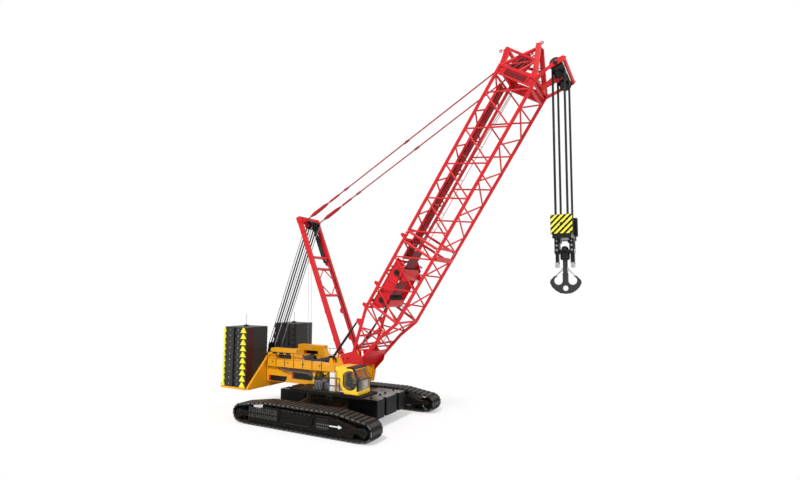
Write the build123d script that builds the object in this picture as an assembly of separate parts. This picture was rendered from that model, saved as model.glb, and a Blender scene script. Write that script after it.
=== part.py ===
from build123d import *
import os
from math import acos, atan2, cos, hypot, pi, radians, sin

# Crawler crane with a lattice boom, a box mast and two counterweight stacks.
# Millimetres. +X points to the boom side, +Y to the crane's left, +Z up.
# The origin lies on the ground under the slewing axis.

os.makedirs("parts", exist_ok=True)

# Fits and clearances
SEAT = 0.3
RUNNING = 6.0
PIN_FIT = 0.05
WELD = 10.0
CUT_OVER = 2.0

# Tracks
TRACK_Y = 4445.0
SHOE_WIDTH = 1250.0
TRACK_TOP = 1560.0
CARRIER_X = 2850.0
CARRIER_RADIUS = 160.0
IDLER_X = 4960.0
IDLER_Z = 685.0
IDLER_RADIUS = 450.0
BOTTOM_X = 4450.0
ROLLER_RADIUS = 150.0
SHOE_THICKNESS = 110.0
LUG_HEIGHT = 50.0
SHOE_COUNT = 60
SHOE_VALLEY = 0.14
SHOE_SLOPE = 0.06
SHOE_CREST = 0.76
ROLLER_COUNT = 7
ROLLER_END = 700.0
ROLLER_INSET = 120.0
AXLE_RADIUS = 60.0

# Side frames between the track runs
FRAME_BOTTOM = LUG_HEIGHT + SHOE_THICKNESS + 2 * ROLLER_RADIUS + 2 * SEAT
FRAME_INSET = 25.0
FRAME_TOP = 1290.0
FRAME_GAP = 280.0
FRAME_SHOULDER = 2700.0
FRAME_CORNER = 420.0
FRAME_NOSE_LOW = 110.0
FRAME_NOSE_HIGH = 160.0
PANEL_DEPTH = 90.0
PILLAR_REAR = -1420.0
PILLAR_FRONT = 1250.0
PILLAR_WIDTH = 170.0
PILLAR_WAIST = 75.0
POCKET_REAR = -264.0
POCKET_FRONT = 708.0
POCKET_DEPTH = 240.0
SLOT_REAR = 1600.0
SLOT_LENGTH = 850.0
SLOT_HEIGHT = 75.0
SLOT_TOP = 1150.0
SLOT_PITCH = 160.0
SEAM_X = 3530.0
SEAM_WIDTH = 30.0
YOKE_THICKNESS = 200.0
YOKE_REACH = 160.0
YOKE_HALF = 150.0
WHEEL_INSET = 230.0
RIM_WIDTH = 180.0
RIM_HEIGHT = 50.0
HUB_RADIUS = 265.0
HUB_REACH = 60.0

# Carbody and its weights
BODY_HALF_LENGTH = 1900.0
BODY_HALF_WIDTH = 1750.0
BODY_BOTTOM = 620.0
BODY_TOP = 1800.0
ARM_X = 1350.0
ARM_WIDTH = 820.0
ARM_TOP = 1450.0
ARM_END_TOP = 1170.0
ARM_BOTTOM = 700.0
WEIGHT_REACH = 4080.0
WEIGHT_HALF_WIDTH = 1950.0
WEIGHT_BOTTOM = 660.0
WEIGHT_TOP = 1860.0
WEIGHT_GROOVE_Y = 875.0
WEIGHT_GROOVE_WIDTH = 310.0
WEIGHT_GROOVE_DEPTH = 220.0

# Slewing ring
RING_RADIUS = 1650.0
RING_LOWER_HEIGHT = 200.0
RING_UPPER_RADIUS = 1520.0
PLATFORM_BOTTOM = 2400.0

# Platform frame
BEAM_INNER = 1270.0
BEAM_OUTER = 1900.0
BEAM_TOP = 3920.0
BEAM_REAR = -5500.0
BEAM_REAR_DROP = 100.0
BEAM_TOP_FRONT = 1300.0
BEAM_NOSE = 1700.0
BEAM_NOSE_Z = 3130.0
BEAM_TOE = 1550.0
REAR_BOX_FRONT = -2520.0
REAR_BOX_TOP = 4700.0
REAR_BOX_RAIL = 270.0
REAR_BOX_SLOPE = 240.0
REAR_BOX_STEP = 320.0
WINDOW_FRONT = -3220.0
WINDOW_REAR = -4600.0
WINDOW_SILL = 60.0
WINDOW_HEAD = 420.0
BAND_REAR = -5340.0
BAND_FRONT = 750.0
BAND_OUTER = 2100.0
BAND_BOTTOM = 3430.0
BAND_SLOT_FIRST = -4900.0
BAND_SLOT_PITCH = 1425.0
BAND_SLOT_COUNT = 4
BAND_SLOT_LENGTH = 180.0
BAND_SLOT_TOP = 3790.0
BAND_SLOT_HEIGHT = 80.0
BRACKET_COUNT = 7
BRACKET_BOTTOM = 3130.0
BRACKET_THICKNESS = 30.0
FLOOR_THICKNESS = 180.0
WALL = 60.0
WALL_TOP = 3030.0
LUG_THICKNESS = 60.0
FOOT_LUG_REAR = 1000.0
FOOT_LUG_REACH = 240.0
FOOT_LUG_RISE = 270.0
FOOT_SLOT_FRONT = 4830.0
TIE_LUG_X = 1140.0
TIE_LUG_HALF = 180.0
TIE_LUG_RISE = 210.0
TIE_HOLE_RISE = 50.0
TIE_HOLE_RADIUS = 60.0

# Engine house on the left
HOUSE_FRONT = 700.0
HOUSE_REAR = -5350.0
HOUSE_OUTER = 3350.0
HOUSE_TOP = 3300.0
HOUSE_SLOPE = 260.0

# Deck on the cab side, with its tank and boxes
DECK_TOP = 2440.0
DECK_THICKNESS = 120.0
DECK_REAR = -1560.0
DECK_FRONT = 4050.0
DECK_OUTER = 3950.0
TANK_REAR = 1220.0
TANK_FRONT = 1680.0
TANK_OUTER = 3300.0
TANK_INNER = 2650.0
TANK_TOP = 3620.0
BOX_GAP = 40.0
VALVE_BOXES = (
    # rear x, front x, outer side, top
    (-100.0, 560.0, 3250.0, 2900.0),
    (660.0, 1120.0, 3050.0, 2780.0),
)

# Handrails
RAIL_RADIUS = 20.0
RAIL_HEIGHT = 1000.0
RAIL_MIDDLE = 500.0
RAIL_INSET = 50.0
BAND_RAIL_BOTTOM = 3500.0
BAND_RAIL_TOP = 4480.0
BAND_RAIL_MIDDLE = 4150.0
BAND_RAIL_FRONT = -350.0
BAND_POSTS = 7
HOUSE_RAIL_REAR = -4910.0
HOUSE_RAIL_FRONT = -2150.0
HOUSE_POSTS = 3
DECK_RAIL_FRONT = 2420.0

# Cab, outline in side view
CAB_OUTER = 3840.0
CAB_INNER = 2400.0
CAB_REAR = 2040.0
CAB_BACK_LOW = 2100.0
CAB_FRONT = 3790.0
CAB_BOTTOM = 2500.0
CAB_TOP = 4140.0
CAB_WALL = 50.0
CAB_NOSE_Z = 3380.0
CAB_NOSE_TOP = 3400.0
CAB_NOSE_LOW = 3750.0
CAB_HEEL_Z = 3380.0
CAB_HEEL_X = 2740.0
CAB_POST = 110.0
CAB_SILL_Z = 2720.0
CAB_HEAD_Z = 4010.0
CAB_SIDE_WINDOW_REAR = 2360.0
CAB_SIDE_WINDOW_FRONT = 3270.0
CAB_FOOT_LENGTH = 100.0
DOOR_REAR = 2560.0
DOOR_FRAME = 60.0
DOOR_GAP = 6.0
DOOR_WINDOW_X = 3130.0
DOOR_WINDOW_Z = 3340.0
DOOR_WINDOW_RADIUS = 590.0
DOOR_STILE = 60.0
HINGE_RADIUS = 22.0
HINGE_PIN_RADIUS = 10.0
HINGE_BACK = 14.0
HINGE_OUT = 26.0
HINGE_LOW = 2960.0
HINGE_HIGH = 3720.0
HINGE_HEIGHT = 80.0
SEAT_REAR = 2560.0
SEAT_FRONT = 3060.0
SEAT_Y = 3130.0
SEAT_HALF = 250.0
SEAT_LOW = 2860.0
SEAT_CUSHION = 130.0
SEAT_BACK_TOP = 3700.0
SEAT_BACK = 120.0
CONSOLE_REAR = 3300.0
CONSOLE_FRONT = 3480.0
CONSOLE_TOP = 3240.0
CONSOLE_HALF = 270.0

# Counterweight
STACK_FRONT = -5767.0
STACK_REAR = -7960.0
STACK_INNER = 1678.0
STACK_OUTER = 3777.0
SLAB_HEIGHT = 428.0
SLAB_COUNT = 10
SLAB_GROOVE_X = -6950.0
SLAB_GROOVE_WIDTH = 280.0
SLAB_GROOVE_DEPTH = 90.0
TRAY_BOTTOM = 1860.0
TRAY_THICKNESS = 140.0
TRAY_LIP = 176.0
TRAY_SIDE = 63.0
TRAY_EAR_LENGTH = 150.0
TRAY_EAR_HEIGHT = 260.0
BRIDGE_TOP = 3680.0
BRIDGE_GAP = 30.0
GUSSET_TOP = 4320.0
GUSSET_INNER = 1450.0
GUSSET_SHELF = 190.0
GUSSET_EDGE = 60.0

# Winches between the beams
DRUM_RADIUS = 330.0
DRUM_SHAFT_RADIUS = 90.0
DRUM_SIDE_GAP = 60.0
FLANGE_RADIUS = 480.0
FLANGE_THICKNESS = 50.0
DRUM_Z = 3560.0
DRUM_PLACES = (-3700.0, -1850.0, -500.0)

# Rear sheave pack of the boom hoist
REAR_SHEAVE_X = -6500.0
REAR_SHEAVE_Z = 4630.0
REAR_SHEAVE_RADIUS = 310.0
REAR_SHEAVE_HALF = 460.0
REAR_SHEAVE_COUNT = 4
REAR_SHEAVE_THICKNESS = 80.0
REAR_AXLE_RADIUS = 60.0
REAR_FOOT_HALF = 420.0
REAR_HEAD_HALF = 130.0
REAR_PLATE = 50.0

# Mast, s runs along it from its foot pin, n towards the boom
MAST_X = 600.0
MAST_Z = 4440.0
MAST_Y = 1080.0
MAST_ANGLE = 112.2
MAST_DEPTH = 320.0
MAST_WIDTH = 240.0
MAST_PIN_RADIUS = 70.0
MAST_EYE_RADIUS = 230.0
MAST_LEG_START = 160.0
MAST_CROSSBARS = (4524.0, 6636.0, 7584.0)
CROSSBAR_HALF_DEPTH = 90.0
CROSSBAR_HALF_LENGTH = 70.0
MAST_BRACE_RADIUS = 40.0
CROSSHEAD_START = 10450.0
CROSSHEAD_END = 10900.0
CROSSHEAD_HALF = 1240.0
MAST_SHEAVE_S = 10210.0
MAST_SHEAVE_N = 230.0
MAST_SHEAVE_RADIUS = 330.0
MAST_SHEAVE_HALF = 520.0
MAST_SHEAVE_COUNT = 4
MAST_SHEAVE_THICKNESS = 90.0
MAST_SHEAVE_AXLE = 60.0
SHEAVE_ROOM = 25.0
MAST_SHEAVE_HEAD = 130.0
MAST_SHEAVE_PLATE = 50.0
MAST_LUG_BASE = 380.0
MAST_LUG_SHOULDER = 150.0
MAST_CYLINDER_START = 7340.0
MAST_CYLINDER_END = 10210.0
MAST_CYLINDER_RADIUS = 100.0
MAST_CYLINDER_Y = 850.0
MAST_CYLINDER_N = -250.0
CLAMP_LENGTH = 120.0
CLAMP_HALF = 75.0
CLAMP_RISE = 110.0

# Boom, s runs along the boom from its foot pin, n towards its lower face
BOOM_X = 1570.0
BOOM_Z = 3480.0
BOOM_ANGLE = 57.83
BOOM_Y = 1476.0
BOOM_DEPTH = 1270.0
CHORD_RADIUS = 85.0
LACE_RADIUS = 38.0
FRAME_TUBE_RADIUS = 60.0
LACE_INSET = 70.0
CHORD_START_UPPER = (1380.0, -480.0)
CHORD_START_LOWER = (1280.0, 350.0)
CHORD_BEND_LOWER = (3270.0, 740.0)
KINK_UPPER = 4390.0
KINK_LOWER = 4750.0
BASE_START = 4800.0
BASE_END = 9650.0
BASE_BAYS = 4
JOINT_S = 10260.0
TOP_MARGIN = 110.0
TOP_BAYS = 9
HEAD_S = 21620.0
HEAD_MARGIN = 60.0
FOOT_RADIUS = 380.0
FOOT_PLATE = 60.0
FOOT_PIN_RADIUS = 90.0
FOOT_HOLE_RADIUS = 70.0
FOOT_COVER_START = 300.0
FOOT_COVER_END = 1900.0
FOOT_COVER_THICKNESS = 30.0
FOOT_CHAMFER = 270.0
FOOT_EDGE = (
    # along the boom, towards the lower face
    (0.0, -430.0),
    (380.0, -1150.0),
    (560.0, -1210.0),
    (650.0, -1090.0),
    (1240.0, -570.0),
    (1460.0, -560.0),
    (1440.0, -400.0),
    (1340.0, 0.0),
    (1420.0, 280.0),
    (1380.0, 440.0),
    (950.0, 570.0),
)
FOOT_HOLES = ((390.0, -870.0), (620.0, -610.0))
FOOT_KNEES = (2210.0, 3000.0, 3700.0)
FOOT_RUNG = 1500.0
FOOT_FRAME = 2700.0
CONNECTOR_RADIUS = 120.0
CONNECTOR_LENGTH = 190.0
FIN_PLACES = (4470.0, 6200.0, 9950.0)
FIN_HALF = 200.0
FIN_TIP_HALF = 80.0
FIN_HEIGHT = 380.0
FIN_THICKNESS = 40.0
CATWALK_WIDTH = 620.0
CATWALK_RISE = 60.0
CATWALK_START = 8400.0
CATWALK_END = 21400.0

# Winches in the boom's base section
BOOM_DRUM_RADIUS = 330.0
BOOM_FLANGE_RADIUS = 470.0
BOOM_DRUM_HALF = 1000.0
BOOM_DRUM_N = -620.0
BOOM_CHEEK_Y = 1100.0
BOOM_CHEEK_THICKNESS = 80.0
BOOM_SHAFT_RADIUS = 110.0
CHEEK_TAPER = 90.0
WINCH_BEAM_RADIUS = 42.0
BOOM_WINCHES = (
    # place along the boom, half length, lower edge
    (5400.0, 400.0, -250.0),
    (7560.0, 250.0, 180.0),
)

# Boom head
HEAD_AXLE_S = 23300.0
HEAD_AXLE_N = 1940.0
HEAD_AXLE_RADIUS = 80.0
HEAD_AXLE_HALF = 1900.0
HEAD_SHEAVE_RADIUS = 360.0
HEAD_SHEAVE_INNER = 300.0
HEAD_SHEAVE_OUTER = 1750.0
HEAD_FLANGES = 7
HEAD_FLANGE_WIDTH = 60.0
FALL_Y = 879.0
FALL_OFFSET = 334.0
FALL_RADIUS = 22.0
HEAD_PANEL_HALF = 80.0
HEAD_PANEL_RECESS = 60.0
HEAD_CROSS_RADIUS = 80.0
HEAD_CROSS_UPPER = (21900.0, -1200.0)
HEAD_CROSS_LOWER = (21950.0, 1200.0)
POST_FOOT = (22200.0, 1160.0)
POST_TOP = (24440.0, -200.0)
POST_TOP_Y = 370.0
POST_RADIUS = 80.0
STRUT_FOOT = (22120.0, -1240.0)
STRUT_TOP = (24100.0, -160.0)
STRUT_TOP_Y = 400.0
STRUT_RADIUS = 60.0
TOP_EYE_S = 24700.0
EYE_RADIUS = 100.0
EYE_THICKNESS = 50.0
SPIKE_Y = 1330.0
SPIKE_FOOT = (21850.0, -1250.0)
SPIKE_TIP = (23260.0, -1500.0)
SPIKE_EYE = (22970.0, -1770.0)
SPIKE_RADIUS = 60.0
ARM_Y = 1790.0
ARM_PLATE = 90.0
ARM_ROOT = (22840.0, 1670.0)
HEAD_ARM_RADIUS = 70.0
NOSE_BAR = (23700.0, 2230.0)
NOSE_BAR_RADIUS = 105.0
NOSE_EYE = (23500.0, 2400.0)
NOSE_EYE_Y = 1420.0
NOSE_EYE_RADIUS = 80.0
CENTRE_PLATE_Y = 120.0
CENTRE_PLATE = 40.0

# Pendants
PENDANT_Y = 830.0
PENDANT_RADIUS = 45.0
PENDANT_MAST_S = 10470.0
PENDANT_MAST_N = 310.0
PENDANT_PIN_S = 22300.0
PENDANT_PIN_N = -1400.0
PENDANT_EYE_RADIUS = 110.0
PENDANT_PIN_RADIUS = 45.0
PENDANT_EYE_THICKNESS = 50.0
PENDANT_LUG = 40.0
TURNBUCKLE_RADIUS = 75.0
TURNBUCKLE_LENGTH = 900.0
TURNBUCKLE_AT = 2600.0

# Backstops
STOP_X = 100.0
STOP_Z = 4236.0
STOP_Y = BOOM_Y
STOP_BARREL_RADIUS = 85.0
STOP_BARREL_START = 60.0
STOP_BARREL_LENGTH = 2400.0
STOP_BORE_START = 300.0
STOP_ROD_RADIUS = 60.0
STOP_ROD_LENGTH = 2300.0
STOP_ROD_NECK = 235.0
STOP_PIN_S = 3300.0
STOP_PIN_N = -1330.0
STOP_BASE_RADIUS = 95.0
STOP_EYE_RADIUS = 85.0
STOP_EYE_HALF = 40.0
STOP_PIN_RADIUS = 35.0
STOP_LUG = 40.0
STOP_LUG_BASE = 200.0
STOP_LUG_TOP = 90.0
STOP_FIN_BASE = 260.0
STOP_FIN_RISE = 330.0

# Hook block
BLOCK_SHEAVE_Z = 12900.0
BLOCK_AXLE_RADIUS = 90.0
BLOCK_ROPE_HALF = 70.0
BLOCK_PLATE_HALF = 612.0
BLOCK_PLATE_TOP = 13440.0
BLOCK_PLATE_BOTTOM = 12330.0
BLOCK_PLATE_THICKNESS = 40.0
BLOCK_HALF_THICKNESS = 170.0
BLOCK_FOOT_HALF = 520.0
BLOCK_FOOT_DEPTH = 260.0
BLOCK_BEAM_HALF = 260.0
BLOCK_BEAM_TOP = 12290.0
BLOCK_BEAM_BOTTOM = 12090.0
CHEEK_X = 430.0
CHEEK_HALF = 60.0
CHEEK_Y = 200.0
TRUNNION_TOP = 11480.0
TRUNNION_BOTTOM = 11240.0
CHEEK_BOTTOM = 11080.0
TRUNNION_Y = 190.0

# Double hook
HOOK_SHANK_RADIUS = 135.0
HOOK_SHANK_BOTTOM = 10000.0
HOOK_SHANK_TOP = 11560.0
HOOK_NUT_RADIUS = 200.0
HOOK_NUT_HEIGHT = 120.0
HOOK_BOTTOM = 8880.0
HOOK_HALF_WIDTH = 875.0
HOOK_THICKNESS = 240.0
HOOK_STEM_HALF = 150.0
HOOK_STEM_TOP = 10100.0
HOOK_EYE_RADIUS = 160.0
HOOK_EYE_RISE = 330.0
THROAT_X = 400.0
THROAT_RISE = 780.0
THROAT_RADIUS = 250.0
HORN_TOP = 1060.0
HORN_INNER = 480.0
HORN_OUTER = 0.69
HOOK_EDGE = (
    # share of the half width, height over the bottom
    (0.34, 40.0),
    (0.64, 190.0),
    (0.87, 400.0),
    (1.00, 640.0),
    (0.97, 800.0),
    (0.80, 960.0),
)


# Plain shapes

def block(x0, x1, y0, y1, z0, z1):
    """Box between two corners."""
    size = (abs(x1 - x0), abs(y1 - y0), abs(z1 - z0))
    centre = ((x0 + x1) / 2, (y0 + y1) / 2, (z0 + z1) / 2)
    return Pos(*centre) * Box(*size)


def tube(start, end, radius):
    """Round bar between two points."""
    start = Vector(*start)
    axis = Vector(*end) - start
    return Solid.make_cylinder(radius, axis.length, Plane(origin=start, z_dir=axis))


def pin(x, z, y0, y1, radius):
    """Round bar along Y."""
    return tube((x, min(y0, y1), z), (x, max(y0, y1), z), radius)


def post(x, y, z0, z1, radius):
    """Upright round bar."""
    return Solid.make_cylinder(radius, z1 - z0, Plane((x, y, z0)))


def profile_xz(points, y0, y1):
    """Outline of (x, z) points, extruded along Y."""
    wire = Wire.make_polygon([Vector(x, y0, z) for x, z in points], close=True)
    return Solid.extrude(Face(wire), Vector(0, y1 - y0, 0))


def profile_yz(points, x0, x1):
    """Outline of (y, z) points, extruded along X."""
    wire = Wire.make_polygon([Vector(x0, y, z) for y, z in points], close=True)
    return Solid.extrude(Face(wire), Vector(x1 - x0, 0, 0))


def profile_xy(points, z0, z1):
    """Outline of (x, y) points, extruded along Z."""
    wire = Wire.make_polygon([Vector(x, y, z0) for x, y in points], close=True)
    return Solid.extrude(Face(wire), Vector(0, 0, z1 - z0))


def joined(shapes):
    """One solid from shapes that overlap."""
    return shapes[0].fuse(*shapes[1:]).clean()


def write(name, shapes):
    """Write one node, as its solids."""
    solids = [solid for shape in shapes for solid in shape.solids()]
    export_step(Compound(children=solids), f"parts/{name}.step")


def mirrored(shape):
    """The same piece on the other side of the crane."""
    return shape.mirror(Plane.XZ)


def grown(points, by):
    """Convex outline with its edges moved outwards, or inwards by a negative distance."""
    count = len(points)
    area = 0.0
    for i in range(count):
        x0, z0 = points[i - 1]
        x1, z1 = points[i]
        area += x0 * z1 - x1 * z0
    side = 1 if area > 0 else -1
    lines = []
    for i in range(count):
        x0, z0 = points[i - 1]
        x1, z1 = points[i]
        run = hypot(x1 - x0, z1 - z0)
        nx = side * (z1 - z0) / run
        nz = -side * (x1 - x0) / run
        lines.append((nx, nz, nx * x0 + nz * z0 + by))
    corners = []
    for i in range(count):
        nx0, nz0, reach0 = lines[i - 1]
        nx1, nz1, reach1 = lines[i]
        turn = nx0 * nz1 - nx1 * nz0
        corners.append(((reach0 * nz1 - reach1 * nz0) / turn, (nx0 * reach1 - nx1 * reach0) / turn))
    return corners


def spread(first, last, count):
    """Places at equal distances from the first to the last."""
    return [first + i * (last - first) / (count - 1) for i in range(count)]


# Frame of the boom: s along it, n towards its lower face

ALONG = (cos(radians(BOOM_ANGLE)), sin(radians(BOOM_ANGLE)))


def boom_xz(s, n):
    """The x and z of a place on the boom."""
    x = BOOM_X + s * ALONG[0] + n * ALONG[1]
    z = BOOM_Z + s * ALONG[1] - n * ALONG[0]
    return x, z


def boom_point(s, y, n):
    """A place on the boom as x, y, z."""
    x, z = boom_xz(s, n)
    return x, y, z


def boom_plate(points, y0, y1):
    """Plate with an outline of (s, n) points."""
    return profile_xz([boom_xz(s, n) for s, n in points], y0, y1)


def boom_tube(start, end, radius):
    """Round bar between two places given as s, y and n."""
    return tube(boom_point(*start), boom_point(*end), radius)


# Frame of the mast: s along it, n towards the boom

MAST_ALONG = (cos(radians(MAST_ANGLE)), sin(radians(MAST_ANGLE)))


def mast_xz(s, n):
    """The x and z of a place on the mast."""
    x = MAST_X + s * MAST_ALONG[0] + n * MAST_ALONG[1]
    z = MAST_Z + s * MAST_ALONG[1] - n * MAST_ALONG[0]
    return x, z


def mast_plate(points, y0, y1):
    """Plate with an outline of (s, n) points."""
    return profile_xz([mast_xz(s, n) for s, n in points], y0, y1)


def mast_box(s0, s1, n0, n1, y0, y1):
    """Box member square to the mast."""
    return mast_plate([(s0, n0), (s1, n0), (s1, n1), (s0, n1)], y0, y1)


# Track loop: the belt line around six circles, walked clockwise in side view

CARRIER_Z = TRACK_TOP - CARRIER_RADIUS - SHOE_THICKNESS
ROLLER_Z = LUG_HEIGHT + SHOE_THICKNESS + ROLLER_RADIUS

BELT_CIRCLES = [
    # x, z, radius
    (-CARRIER_X, CARRIER_Z, CARRIER_RADIUS),
    (CARRIER_X, CARRIER_Z, CARRIER_RADIUS),
    (IDLER_X, IDLER_Z, IDLER_RADIUS),
    (BOTTOM_X, ROLLER_Z, ROLLER_RADIUS),
    (-BOTTOM_X, ROLLER_Z, ROLLER_RADIUS),
    (-IDLER_X, IDLER_Z, IDLER_RADIUS),
]


def belt_pieces():
    """Lines and arcs of the belt line, each with its length."""
    count = len(BELT_CIRCLES)
    normals = []
    for i in range(count):
        x0, z0, r0 = BELT_CIRCLES[i]
        x1, z1, r1 = BELT_CIRCLES[(i + 1) % count]
        run = hypot(x1 - x0, z1 - z0)
        normals.append(atan2(z1 - z0, x1 - x0) + acos((r0 - r1) / run))
    pieces = []
    for i in range(count):
        x0, z0, r0 = BELT_CIRCLES[i]
        x1, z1, r1 = BELT_CIRCLES[(i + 1) % count]
        angle = normals[i]
        start = (x0 + r0 * cos(angle), z0 + r0 * sin(angle))
        end = (x1 + r1 * cos(angle), z1 + r1 * sin(angle))
        length = hypot(end[0] - start[0], end[1] - start[1])
        pieces.append(("line", start, end, angle, length))
        turn = (angle - normals[(i + 1) % count]) % (2 * pi)
        pieces.append(("arc", (x1, z1), r1, angle, turn * r1))
    return pieces


def belt_point(pieces, distance, offset):
    """Point at a distance along the belt line, moved outwards by offset."""
    for kind, first, second, angle, length in pieces:
        if distance <= length:
            break
        distance -= length
    if kind == "line":
        share = distance / length
        x = first[0] + share * (second[0] - first[0])
        z = first[1] + share * (second[1] - first[1])
    else:
        angle -= distance / second
        x = first[0] + second * cos(angle)
        z = first[1] + second * sin(angle)
    return x + offset * cos(angle), z + offset * sin(angle)


def belt_hole(pieces, y0, y1):
    """The space inside the belt, as a solid of lines and arcs."""
    edges = []
    for kind, first, second, angle, length in pieces:
        if kind == "line":
            edges.append(Edge.make_line(Vector(first[0], y0, first[1]), Vector(second[0], y0, second[1])))
            continue
        places = []
        for share in (0.0, 0.5, 1.0):
            at = angle - share * length / second
            places.append(Vector(first[0] + second * cos(at), y0, first[1] + second * sin(at)))
        edges.append(Edge.make_three_point_arc(*places))
    return Solid.extrude(Face(Wire(edges)), Vector(0, y1 - y0, 0))


def track(y0, y1):
    """Loop with its shoes in the outline."""
    pieces = belt_pieces()
    total = sum(piece[4] for piece in pieces)
    pitch = total / SHOE_COUNT
    crest = SHOE_THICKNESS + LUG_HEIGHT
    outline = []
    for i in range(SHOE_COUNT):
        start = i * pitch
        rise = start + pitch * (SHOE_VALLEY + SHOE_SLOPE)
        outline.append(belt_point(pieces, start, SHOE_THICKNESS))
        outline.append(belt_point(pieces, start + pitch * SHOE_VALLEY, SHOE_THICKNESS))
        outline.append(belt_point(pieces, rise, crest))
        outline.append(belt_point(pieces, rise + pitch * SHOE_CREST, crest))
    return profile_xz(outline, y0, y1) - belt_hole(pieces, y0, y1)


def side_frame(y0, y1):
    """Box girder with recessed outer panels and forked ends."""
    half = IDLER_X - IDLER_RADIUS - FRAME_GAP
    low = IDLER_Z - FRAME_NOSE_LOW
    high = IDLER_Z + FRAME_NOSE_HIGH
    outline = [
        (-half, low),
        (-half + FRAME_CORNER, FRAME_BOTTOM),
        (half - FRAME_CORNER, FRAME_BOTTOM),
        (half, low),
        (half, high),
        (FRAME_SHOULDER, FRAME_TOP),
        (-FRAME_SHOULDER, FRAME_TOP),
        (-half, high),
    ]
    frame = profile_xz(outline, y0, y1)
    floor = y1 - PANEL_DEPTH
    face = y1 + CUT_OVER
    middle = (FRAME_BOTTOM + FRAME_TOP) / 2
    for x in (PILLAR_REAR, PILLAR_FRONT):
        notch = [
            (x - PILLAR_WIDTH, FRAME_BOTTOM - CUT_OVER),
            (x + PILLAR_WIDTH, FRAME_BOTTOM - CUT_OVER),
            (x + PILLAR_WAIST, middle),
            (x + PILLAR_WIDTH, FRAME_TOP + CUT_OVER),
            (x - PILLAR_WIDTH, FRAME_TOP + CUT_OVER),
            (x - PILLAR_WAIST, middle),
        ]
        frame = frame - profile_xz(notch, floor, face)
    cuts = [
        block(POCKET_REAR, POCKET_FRONT, floor, face, FRAME_TOP - POCKET_DEPTH, FRAME_TOP + CUT_OVER),
        block(SEAM_X, SEAM_X + SEAM_WIDTH, floor, face, FRAME_BOTTOM - CUT_OVER, FRAME_TOP + CUT_OVER),
    ]
    for top in (SLOT_TOP, SLOT_TOP - SLOT_PITCH):
        cuts.append(block(SLOT_REAR, SLOT_REAR + SLOT_LENGTH, floor, face, top - SLOT_HEIGHT, top))
    for cut in cuts:
        frame = frame - cut
    yokes = []
    for side in (-1, 1):
        root = side * (half - FRAME_GAP / 2)
        for ya, yb in ((y0, y0 + YOKE_THICKNESS), (y1 - YOKE_THICKNESS, y1)):
            arm = [
                (root, low),
                (side * IDLER_X, IDLER_Z - YOKE_HALF),
                (side * (IDLER_X + YOKE_REACH), IDLER_Z),
                (side * IDLER_X, IDLER_Z + YOKE_HALF),
                (root, high),
            ]
            yokes.append(profile_xz(arm, ya, yb))
    frame = joined([frame, *yokes])
    for side in (-1, 1):
        frame = frame - pin(side * IDLER_X, IDLER_Z, y0 - CUT_OVER, face, AXLE_RADIUS + PIN_FIT)
        frame = frame - pin(side * CARRIER_X, CARRIER_Z, y0 - CUT_OVER, face, CARRIER_RADIUS + SEAT)
    return frame


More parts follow.
